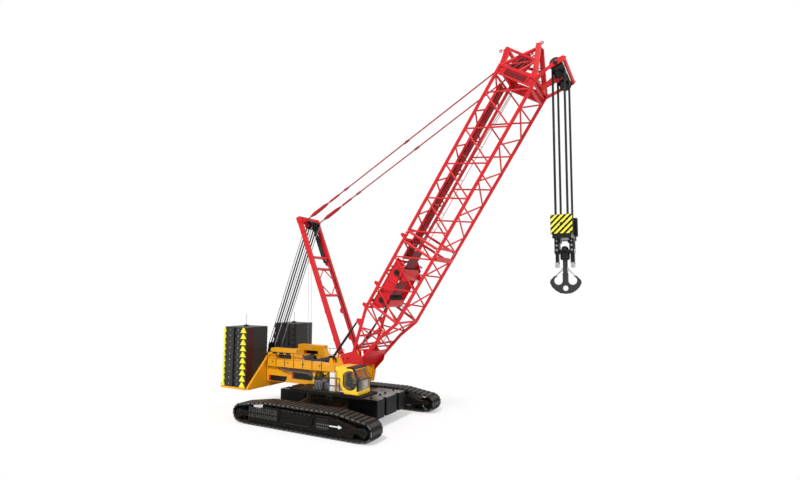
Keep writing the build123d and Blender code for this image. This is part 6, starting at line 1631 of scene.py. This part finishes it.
@dataclass
class Head(BoomFrame):
    """Box beams, plates and bars of the boom head."""

    post_foot: Pair = (22.2, 1.16)
    post_top: Pair = (24.44, -0.2)
    post_top_y: float = 0.37
    strut_foot: Pair = (22.12, -1.24)
    strut_top: Pair = (24.1, -0.16)
    strut_top_y: float = 0.40
    spike_tip: Pair = (23.26, -1.5)
    spike_y: float = 1.33
    panel_face: float = 1.50

    def build(self) -> None:
        """Build every piece of the head."""
        self.beams()
        self.panels()
        self.inner_bars()

    def spot(self, place: Pair, y: float) -> Vector:
        """Return the point at a y from a place of s and n."""
        return self.at(place[0], y, place[1])

    def beams(self) -> None:
        """Box section posts, round struts and the beams across."""
        form = Form()
        for side in SIDES:
            y = side * self.half
            top = self.spot(self.post_top, side * self.post_top_y)
            form.beam(self.spot(self.post_foot, y), top, 0.30, 0.20)
            top = self.spot(self.strut_top, side * self.strut_top_y)
            form.rod(self.spot(self.strut_foot, y), top, 0.115, 14)
            tip = self.spot(self.spike_tip, side * self.spike_y)
            form.rod(self.at(21.85, side * self.spike_y, -1.25), tip, 0.10, 12)
            form.beam(tip, self.at(23.3, side * 0.92, 0.48), 0.14, 0.14)
            form.beam(self.at(22.2, y, 0.0), self.at(23.3, side * 0.92, 0.48), 0.12, 0.10)
            form.rod(self.at(21.95, y, 1.2), self.at(22.84, side * 1.835, 1.67), 0.105, 12)
        tips = [self.spot(self.spike_tip, side * self.spike_y) for side in SIDES]
        form.beam(tips[0], tips[1], 0.18, 0.18)
        for y0, y1 in ((-self.half, -1.04), (-0.62, 0.62), (1.04, self.half)):
            form.beam(self.at(22.15, y0, -1.24), self.at(22.15, y1, -1.24), 0.22, 0.22)
        form.beam(self.at(22.2, -self.half, 1.16), self.at(22.2, self.half, 1.16), 0.22, 0.22)
        form.piece("head_beams", RED, Body.BOOM, Slot.RED, bevel=0.012)

    def panels(self) -> None:
        """Dark plates of painted shade in the recesses of the side boxes, with ribs, and the spike plates."""
        dark = Form()
        red = Form()
        face = self.panel_face
        recess = ((21.70, -0.72), (22.03, -0.72), (22.03, 0.78), (21.70, 0.78))
        spike = ((21.9, -1.30), (23.16, -1.62), (23.36, -1.42), (22.9, -1.12), (22.2, -1.12))
        knee = ((22.16, 1.30), (22.16, 0.82), (22.60, 0.78), (22.98, 0.62), (22.60, 1.05))
        for side in SIDES:
            # This dark plate is painted shade in the recess.
            self.side_plate(dark, side, recess, face, face + 0.012)
            for n in (-0.80, 0.80):
                rib = [(21.64, n - 0.05), (22.12, n - 0.05), (22.12, n + 0.05), (21.64, n + 0.05)]
                self.side_plate(red, side, rib, face, face + 0.055)
            for outline, y in ((spike, side * self.spike_y), (knee, side * 1.44)):
                self.plate(red, outline, y - 0.03, y + 0.03)
        dark.piece("head_recess_painted_shade", PAINTED_SHADE_RED, Body.BOOM, Slot.RED)
        red.piece("head_plates", RED, Body.BOOM, Slot.RED, bevel=0.006)

    def inner_bars(self) -> None:
        """Red bars and dark ropes between the struts."""
        red = Form()
        dark = Form()
        for y in (-0.95, -0.35, 0.35, 0.95):
            red.rod(self.at(22.15, y, -1.2), self.at(23.9, y * 0.45, -0.30), 0.05, 10)
        for s, n, reach in ((22.75, -0.90, 1.05), (23.35, -0.58, 0.75)):
            red.rod(self.at(s, -reach, n), self.at(s, reach, n), 0.06, 10)
        for y in (-0.65, 0.0, 0.65):
            dark.rod(self.at(22.3, y, -1.1), self.at(23.7, y * 0.5, -0.42), 0.07, 10)
        red.piece("head_inner_bars", RED, Body.BOOM, Slot.RED)
        dark.piece("head_inner_ropes", ROPE, Body.BOOM, Slot.ROPE)


@dataclass
class Boom(BoomFrame):
    """Pins, collars, winch parts, ropes, walkway and rollers of the boom."""

    drums: Pair = (5.40, 7.56)
    drum_n: float = -0.62
    axle: Pair = (23.30, 1.94)
    turn_radius: float = 0.334

    def build(self) -> None:
        """Build every piece of the boom."""
        self.pins()
        self.winch_parts()
        self.drum_covers()
        self.boom_ropes()
        self.walkway()
        self.head()
        self.rollers()

    def pins(self) -> None:
        """Pins, retainers and eye collars at the section joints."""
        form = Form()
        for side in SIDES:
            for n in (-self.depth, self.depth):
                for s in (10.17, 10.35):
                    place = self.at(s, side * (self.half - 0.15), n)
                    form.turned(place, (0, side, 0), [(0, 0.045), (0.30, 0.045), (0.31, 0.03)], 12)
        form.piece("section_pins", STEEL, Body.BOOM, Slot.STEEL)
        collars = Form()
        ring = [(0.0, 0.09), (0.02, 0.128), (0.05, 0.128), (0.07, 0.09)]
        axis = (self.along[0], 0.0, self.along[1])
        for side in SIDES:
            for n in (-self.depth, self.depth):
                for s in (10.06, 10.39):
                    collars.turned(self.at(s, side * self.half, n), axis, ring, 16)
        collars.piece("section_collars", RED, Body.BOOM, Slot.RED)

    def winch_parts(self) -> None:
        """Rope layers, motors, gear cases and pipes at the boom winches."""
        layers = Form()
        motors = Form()
        pipes = Form()
        for s in self.drums:
            profile = [(0.0, 0.31)]
            for i in range(33):
                profile += [(0.02 + i * 0.059, 0.40), (0.05 + i * 0.059, 0.425)]
            profile += [(1.975, 0.40), (1.98, 0.31)]
            layers.turned(self.at(s, -0.99, self.drum_n), (0, 1, 0), profile, 24)
            for side in SIDES:
                start = self.at(s, side * 1.27, self.drum_n)
                shape = [(0.0, 0.20), (0.07, 0.20), (0.08, 0.13), (0.12, 0.13)]
                motors.turned(start, (0, side, 0), shape, 18)
                for i in range(8):
                    a = 2 * pi * i / 8
                    place = self.at(s + 0.17 * cos(a), side * 1.34, self.drum_n + 0.17 * sin(a))
                    motors.bolt(place, (0, side, 0), 0.016, 0.016)
                for k in (-0.06, 0.06):
                    run = [self.at(s + k, side * 1.30, -0.60), self.at(s + k, side * 1.36, -0.52)]
                    run += [self.at(s + k - 0.4, side * 1.36, 0.0), self.at(1.9, side * 1.36, -0.1)]
                    pipes.pipe(run, 0.02)
        layers.piece("boom_rope_layers", ROPE, Body.BOOM, Slot.ROPE)
        motors.piece("winch_motors", BLACK, Body.BOOM, Slot.BLACK)
        pipes.piece("boom_pipes", RUBBER, Body.BOOM, Slot.BLACK)

    def boom_ropes(self) -> None:
        """Ropes that run inside the boom from the winches to the head sheaves."""
        form = Form()
        low, high = self.drums
        for s, y0, y1, n in ((low, -0.55, -1.10, -1.04), (high, 0.55, 1.10, -1.03)):
            run = [self.at(s, y0, n), self.at(22.4, y1 * 0.9, -0.75), self.at(23.12, y1, 1.62)]
            form.pipe(run, 0.024, bend=0.15)
        form.piece("boom_ropes", ROPE, Body.BOOM, Slot.ROPE)

    def drum_covers(self) -> None:
        """Curved red guards over the boom drums, with the frames, floors and boxes round them."""
        form = Form()
        section = ((-1.06, 0.52), (1.06, 0.52), (1.06, 0.50), (-1.06, 0.50))
        low, high = self.drums
        for s, first, last in ((high, 150.0, 330.0), (low, 175.0, 300.0)):
            rings = []
            for a in spread(first, last, 15):
                c, d = cos(radians(a)), sin(radians(a))
                rings.append([self.at(s + r * c, y, self.drum_n - r * d) for y, r in section])
            form.rings(rings)
        form.piece("drum_covers", RED, Body.BOOM, Slot.RED)
        boxes = Form()
        frames = Form()
        floor = Form()
        outline = [(4.75, -1.12), (8.45, -1.12), (8.45, -0.75), (8.0, -0.22), (5.0, -0.22), (4.75, -0.6)]
        for side in SIDES:
            for s0, s1 in ((7.1, 8.05), (4.95, 5.85)):
                box = ((s0, -0.95), (s1, -0.95), (s1, -0.35), (s0, -0.35))
                boxes.prism([self.at(s, side * 1.19, n) for s, n in box], (0.0, side * 0.05, 0.0))
            self.side_plate(frames, side, outline, 1.245, 1.275)
            for s in (6.05, 6.85, 8.25):
                frames.beam(self.at(s, side * 1.29, -1.1), self.at(s, side * 1.29, -0.28), 0.10, 0.08)
        for s in (4.85, 6.45, 8.3):
            frames.beam(self.at(s, -1.24, -0.9), self.at(s, 1.24, -0.9), 0.14, 0.14)
        # The floors take the shaded red: painted shade inside the boom.
        self.plate(floor, [(6.0, -0.34), (6.95, -0.34), (6.95, -0.28), (6.0, -0.28)], -1.22, 0.35)
        self.plate(floor, [(8.1, -0.44), (9.4, -0.44), (9.4, -0.38), (8.1, -0.38)], -0.95, 0.35)
        frames.piece("winch_frames", RED, Body.BOOM, Slot.RED, bevel=0.006)
        floor.piece("winch_floors", PAINTED_SHADE_RED, Body.BOOM, Slot.RED)
        boxes.piece("drive_boxes", RED, Body.BOOM, Slot.RED, bevel=0.012)

    def walkway(self) -> None:
        """Stringers, rails, rungs and hoses beside the walkway inside the boom."""
        red = Form()
        dark = Form()
        for y in (-0.38, 0.33):
            self.plate(red, [(8.4, -1.26), (21.4, -1.26), (21.4, -1.08), (8.4, -1.08)], y, y + 0.05)
            red.rod(self.at(8.5, y + 0.025, -0.42), self.at(21.3, y + 0.025, -0.42), 0.022, 8)
            for s in spread(8.6, 21.2, 11):
                red.rod(self.at(s, y + 0.025, -1.10), self.at(s, y + 0.025, -0.42), 0.018, 8)
        # The rungs take the shaded red: painted shade inside the boom.
        for s in spread(8.7, 21.1, 32):
            outline = [(s, -1.145), (s + 0.05, -1.145), (s + 0.05, -1.10), (s, -1.10)]
            self.plate(dark, outline, -0.33, 0.33)
        black = Form()
        for y in (0.46, 0.56):
            black.rod(self.at(8.6, y, -1.12), self.at(21.5, y, -1.12), 0.03, 8)
        for y in (0.12, -0.12):
            red.rod(self.at(8.6, y, -1.07), self.at(21.3, y, -1.07), 0.035, 8)
        red.piece("walkway_rails", RED, Body.BOOM, Slot.RED)
        dark.piece("walkway_rungs", PAINTED_SHADE_RED, Body.BOOM, Slot.RED)
        black.piece("walkway_hoses", RUBBER, Body.BOOM, Slot.BLACK)

    def head(self) -> None:
        """Rope turns on the head sheaves and the caps of their axle."""
        turns = Form()
        axle = self.at(self.axle[0], 0.0, self.axle[1])
        radius = self.turn_radius
        angles = [pi * i / 20 for i in range(21)]
        for side in SIDES:
            for y in (0.76, 0.88, 1.00, 1.12):
                turn = [axle + Vector((radius * cos(a), side * y, radius * sin(a))) for a in angles]
                turns.pipe(turn, 0.022, bend=0.01)
        turns.piece("head_rope_turns", ROPE, Body.BOOM, Slot.ROPE)
        caps = Form()
        for side in SIDES:
            start = axle + Vector((0.0, side * 1.89, 0.0))
            caps.turned(start, (0, side, 0), [(0, 0.13), (0.03, 0.13), (0.05, 0.09), (0.055, 0.04)], 18)
            for i in range(6):
                a = 2 * pi * i / 6
                place = start + Vector((0.10 * cos(a), side * 0.03, 0.10 * sin(a)))
                caps.bolt(place, (0, side, 0), 0.012, 0.012)
        caps.piece("head_axle_caps", BLACK, Body.BOOM, Slot.BLACK)

    def rollers(self) -> None:
        """Rope guide rollers across the upper face."""
        form = Form()
        frames = Form()
        for s in (9.6, 12.7, 16.4, 20.2):
            form.rod(self.at(s, -0.30, -1.11), self.at(s, 0.30, -1.11), 0.045, 12)
            for y in (-0.33, 0.31):
                bracket = [(s - 0.07, -1.15), (s + 0.07, -1.15), (s + 0.04, -1.05), (s - 0.04, -1.05)]
                self.plate(frames, bracket, y, y + 0.02)
        form.piece("rope_guide_rollers", STEEL, Body.BOOM, Slot.STEEL)
        frames.piece("roller_brackets", RED, Body.BOOM, Slot.RED)


@dataclass
class Pendants:
    """Link plates at the mast end and couplings along the pendant bars."""

    side: float = 0.83
    top: Pair = (-3.0687, 14.2509)
    end: Pair = (12.2583, 23.1023)

    def build(self) -> None:
        """Add the coupling plates and their pins."""
        plates = Form()
        pins = Form()
        start = Vector((self.top[0], 0.0, self.top[1]))
        run = Vector((self.end[0], 0.0, self.end[1])) - start
        along = run.normalized()
        across = Vector((-along.z, 0.0, along.x))
        for side in SIDES:
            for share in (0.24, 0.56):
                centre = start + run * share
                for y in (self.side - 0.075, self.side + 0.055):
                    place = centre + Vector((0, side * y, 0))
                    rise = across * 0.05
                    outline = [place - along * 0.24, place - along * 0.2 + rise, place + along * 0.2 + rise]
                    outline += [place + along * 0.24, place + along * 0.2 - rise, place - along * 0.2 - rise]
                    plates.prism(outline, (0.0, side * 0.02, 0.0))
                for k in (-0.15, 0.15):
                    place = centre + along * k + Vector((0, side * (self.side - 0.10), 0))
                    pins.turned(place, (0, side, 0), [(0, 0.028), (0.20, 0.028), (0.205, 0.018)], 10)
            shape = ((0.035, 0.04), (0.055, 0.12), (0.115, 0.10), (0.135, 0.035))
            for y in (self.side - 0.075, self.side + 0.055):
                foot = start + Vector((0, side * y, 0))
                outline = [foot + run * s + across * rise for s, rise in shape]
                outline += [foot + run * s - across * rise for s, rise in reversed(shape)]
                plates.prism(outline, (0.0, side * 0.02, 0.0))
        plates.piece("pendant_couplings", PENDANT_RED, Body.PENDANTS, Slot.RED)
        pins.piece("pendant_pins", STEEL, Body.PENDANTS, Slot.STEEL)


@dataclass
class HookBlock:
    """Ropes, plates and crosshead of the hook block, and the hook's latches."""

    x: float = 15.6178
    head_z: float = 22.1696
    rope_x: float = 0.334
    fall_y: float = 0.879
    sheave_z: float = 12.90
    rope_radius: float = 0.048
    plate_half: float = 0.60
    plate_span: Pair = (12.34, 13.43)

    def build(self) -> None:
        """Build every piece of the hook block."""
        self.falls()
        self.plates()
        self.crosshead()
        self.latches()

    def falls(self) -> None:
        """Further ropes beside each fall, and their turns round the block's sheaves."""
        form = Form()
        angles = [-pi * i / 16 for i in range(17)]
        for side in SIDES:
            for offset in (-0.115, 0.115):
                y = side * (self.fall_y + offset)
                for end in SIDES:
                    x = self.x + end * self.rope_x
                    form.rod((x, y, self.sheave_z), (x, y, self.head_z), self.rope_radius, 8)
                arc = [(self.x + self.rope_x * cos(a), self.sheave_z + self.rope_x * sin(a)) for a in angles]
                form.pipe([(x, y, z) for x, z in arc], 0.022, bend=0.01)
        form.piece("falls_more_ropes", ROPE, Body.BLOCK, Slot.ROPE)

    def plates(self) -> None:
        """Striped plates and their bolts on the block halves."""
        striped = Form()
        bolts = Form()
        face = self.fall_y + 0.17
        half = self.plate_half
        low, high = self.plate_span
        for side in SIDES:
            striped.sided(side, (self.x - half, face, low), (self.x + half, face + 0.008, high))
            for x in (-0.5, 0.5):
                for z in (low + 0.09, high - 0.09):
                    bolts.bolt((self.x + x, side * (face + 0.008), z), (0, side, 0), 0.026, 0.02)
        striped.piece("block_plates", HAZARD, Body.BLOCK, Slot.YELLOW)
        bolts.piece("block_bolts", BLACK, Body.BLOCK, Slot.BLACK)

    def crosshead(self) -> None:
        """Brackets, dark cross plates, bright feet and nuts round the crosshead."""
        dark = Form()
        bright = Form()
        for side in SIDES:
            x0, x1 = sorted((self.x + side * 0.32, self.x + side * 0.52))
            dark.slab((x0, -0.26, 11.20), (x1, 0.26, 12.12))
            dark.slab((x0, -0.15, 10.62), (x1 + side * 0.02, 0.15, 11.24))
            bright.slab((x0 + side * 0.02, -0.17, 10.42), (x1 + side * 0.02, 0.17, 10.72))
            for face in SIDES:
                dark.sided(face, (x0 - 0.03, 0.26, 11.30), (x1 + 0.03, 0.29, 12.12))
                for z in (11.45, 11.72, 11.98):
                    bright.bolt(((x0 + x1) / 2, face * 0.29, z), (0, face, 0), 0.05, 0.02)
            start = (self.x + side * 0.52, 0.0, 11.36)
            bright.turned(start, (side, 0, 0), [(0, 0.15), (0.05, 0.15), (0.07, 0.11), (0.09, 0.06)], 18)
        for side in SIDES:
            x0, x1 = sorted((self.x + side * 0.20, self.x + side * 0.50))
            for z0, z1, reach in ((12.10, 12.36, 0.60), (11.86, 12.02, 0.30)):
                dark.slab((x0, -reach, z0), (x1, reach, z1))
        dark.turned((self.x, 0, 10.86), UP, [(0, 0.20), (0.08, 0.27), (0.42, 0.27), (0.5, 0.2)], 20)
        dark.turned((self.x, 0, 11.60), UP, [(0, 0.17), (0.04, 0.17), (0.08, 0.10), (0.09, 0.05)], 6)
        dark.piece("crosshead_brackets", BLACK, Body.BLOCK, Slot.BLACK, bevel=0.01)
        bright.piece("crosshead_plates", SILVER, Body.BLOCK, Slot.STEEL, bevel=0.005)

    def latches(self) -> None:
        """Spring latches from the shank to the hook's tips."""
        form = Form()
        springs = Form()
        for side in SIDES:
            low = Vector((self.x + side * 0.17, 0.0, 10.30))
            tip = Vector((self.x + side * 0.55, 0.0, 9.93))
            run = tip - low
            ends = ((low, 0.05), (low, -0.05), (tip, -0.03), (tip, 0.03))
            for y in (-0.07, 0.055):
                form.prism([end + Vector((0, y, rise)) for end, rise in ends], (0.0, 0.015, 0.0))
            form.rod(tip + Vector((0, -0.08, 0)), tip + Vector((0, 0.08, 0)), 0.022, 10)
            points = []
            for i in range(49):
                a = 2 * pi * i / 8
                share = 0.1 + 0.7 * i / 48
                points.append(low + run * share + Vector((0.0, 0.035 * cos(a), 0.035 * sin(a))))
            springs.pipe(points, 0.007, sides=6, bend=0.002)
            form.slab((self.x + side * 0.16 - 0.04, -0.09, 10.20), (self.x + side * 0.16 + 0.04, 0.09, 10.40))
        form.piece("hook_latches", SILVER, Body.HOOK, Slot.STEEL, bevel=0.004)
        springs.piece("latch_springs", STEEL, Body.HOOK, Slot.STEEL)


@dataclass
class Stage:
    """Camera, floor, lamps and world."""

    place: tuple[float, float, float] = (20.410, -30.156, 8.880)
    yaw: float = 118.423
    pitch: float = 5.065
    roll: float = 0.448
    lens: float = 22.045
    shift_x: float = 0.0085
    shift_y: float = 0.0114
    fade_from_to: Pair = (6.5, 12.0)
    near_glow: float = 0.42

    def build(self) -> None:
        """Build the stage."""
        self.camera()
        self.floor()
        self.lamps()
        self.world()
        bpy.context.scene.view_settings.view_transform = "Standard"

    def camera(self) -> None:
        """Place the camera at the photograph's viewing angle."""
        yaw, pitch, roll = (radians(value) for value in (self.yaw, self.pitch, self.roll))
        ahead = Vector((cos(pitch) * cos(yaw), cos(pitch) * sin(yaw), sin(pitch)))
        right = Vector((sin(yaw), -cos(yaw), 0.0))
        up = right.cross(ahead)
        right, up = right * cos(roll) + up * sin(roll), up * cos(roll) - right * sin(roll)
        data = bpy.data.cameras.new("camera")
        data.lens = self.lens
        data.sensor_width = 36.0
        data.shift_x = self.shift_x
        data.shift_y = self.shift_y
        data.clip_end = 1000.0
        made = bpy.data.objects.new("camera", data)
        turn = Matrix((right, up, -ahead)).transposed()
        made.matrix_world = Matrix.Translation(self.place) @ turn.to_4x4()
        bpy.context.scene.collection.objects.link(made)
        bpy.context.scene.camera = made

    def floor(self) -> None:
        """Pale floor that keeps the shadow and fades to white far away."""
        form = Form()
        form.turned((0.0, 0.0, -0.05), UP, [(0.0, 400.0), (0.05, 400.0)], 64)
        made = form.piece("floor", WHITE, None)
        material = bpy.data.materials.new("pale_floor")
        material.use_nodes = True
        graph = Graph(material.node_tree)
        shader = material.node_tree.nodes["Principled BSDF"]
        shader.inputs["Roughness"].default_value = 0.9
        cloud = graph.noise(0.05, 2.0)
        tone = graph.mix(cloud, opaque((0.90, 0.90, 0.90)), opaque((0.95, 0.95, 0.95)))
        graph.join(tone, shader.inputs["Base Color"])
        glow = graph.add("ShaderNodeEmission", {"Color": opaque((1.0, 1.0, 1.0)), "Strength": 1.0})
        far = graph.add("ShaderNodeVectorMath", {0: graph.place()}, operation="LENGTH").outputs["Value"]
        fade = graph.ranged(far, self.fade_from_to, (self.near_glow, 1.0))
        seen = graph.add("ShaderNodeLightPath")
        shown = graph.math("MAXIMUM", seen.outputs["Is Camera Ray"], seen.outputs["Is Glossy Ray"])
        shown = graph.math("MAXIMUM", shown, seen.outputs["Is Transmission Ray"])
        share = graph.math("MULTIPLY", shown, fade)
        both = graph.add("ShaderNodeMixShader", {0: share, 1: shader.outputs[0], 2: glow.outputs[0]})
        out = material.node_tree.nodes["Material Output"]
        graph.join(both.outputs[0], out.inputs["Surface"])
        made.data.materials[0] = material

    def lamps(self) -> None:
        """Soft key light from the front left, with a weaker fill."""
        for name, direction, energy, angle in (
            ("key", (-0.08, 0.62, -0.74), 2.5, 14.0),
            ("fill", (-0.85, 0.10, -0.45), 0.9, 50.0),
        ):
            data = bpy.data.lights.new(name, "SUN")
            data.energy = energy
            data.angle = radians(angle)
            made = bpy.data.objects.new(name, data)
            made.rotation_mode = "QUATERNION"
            made.rotation_quaternion = Vector(direction).to_track_quat("-Z", "Y")
            bpy.context.scene.collection.objects.link(made)

    def world(self) -> None:
        """White to the camera and in reflections, softer as a light."""
        world = bpy.data.worlds.new("studio")
        world.use_nodes = True
        bpy.context.scene.world = world
        graph = Graph(world.node_tree)
        seen = graph.add("ShaderNodeLightPath")
        shown = graph.math("MAXIMUM", seen.outputs["Is Camera Ray"], seen.outputs["Is Transmission Ray"])
        ground = world.node_tree.nodes["Background"]
        ground.inputs["Color"].default_value = opaque((1.0, 1.0, 1.0))
        strength = graph.math("ADD", graph.math("MULTIPLY", shown, 0.58), 0.42)
        lit = graph.math("MAXIMUM", strength, seen.outputs["Is Glossy Ray"])
        graph.join(lit, ground.inputs["Strength"])


def paint_nodes() -> None:
    """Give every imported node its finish."""
    for name, finish in NODE_FINISHES.items():
        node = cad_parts[name]
        for place in node.material_slots:
            place.material = finish.material()
        log.info("%s: %s", name, finish.name)


def main() -> None:
    """Build the stage and dress the crane, one sub-assembly after the other."""
    logging.basicConfig(level=logging.INFO, format="%(name)s: %(message)s")
    Stage().build()
    paint_nodes()
    for assembly in (
        Undercarriage(),
        Platform(),
        Counterweight(),
        Cab(),
        Mast(),
        Boom(),
        Lattice(),
        Head(),
        Pendants(),
        HookBlock(),
    ):
        log.info("building %s", type(assembly).__name__)
        assembly.build()


if __name__ == "__main__":
    main()
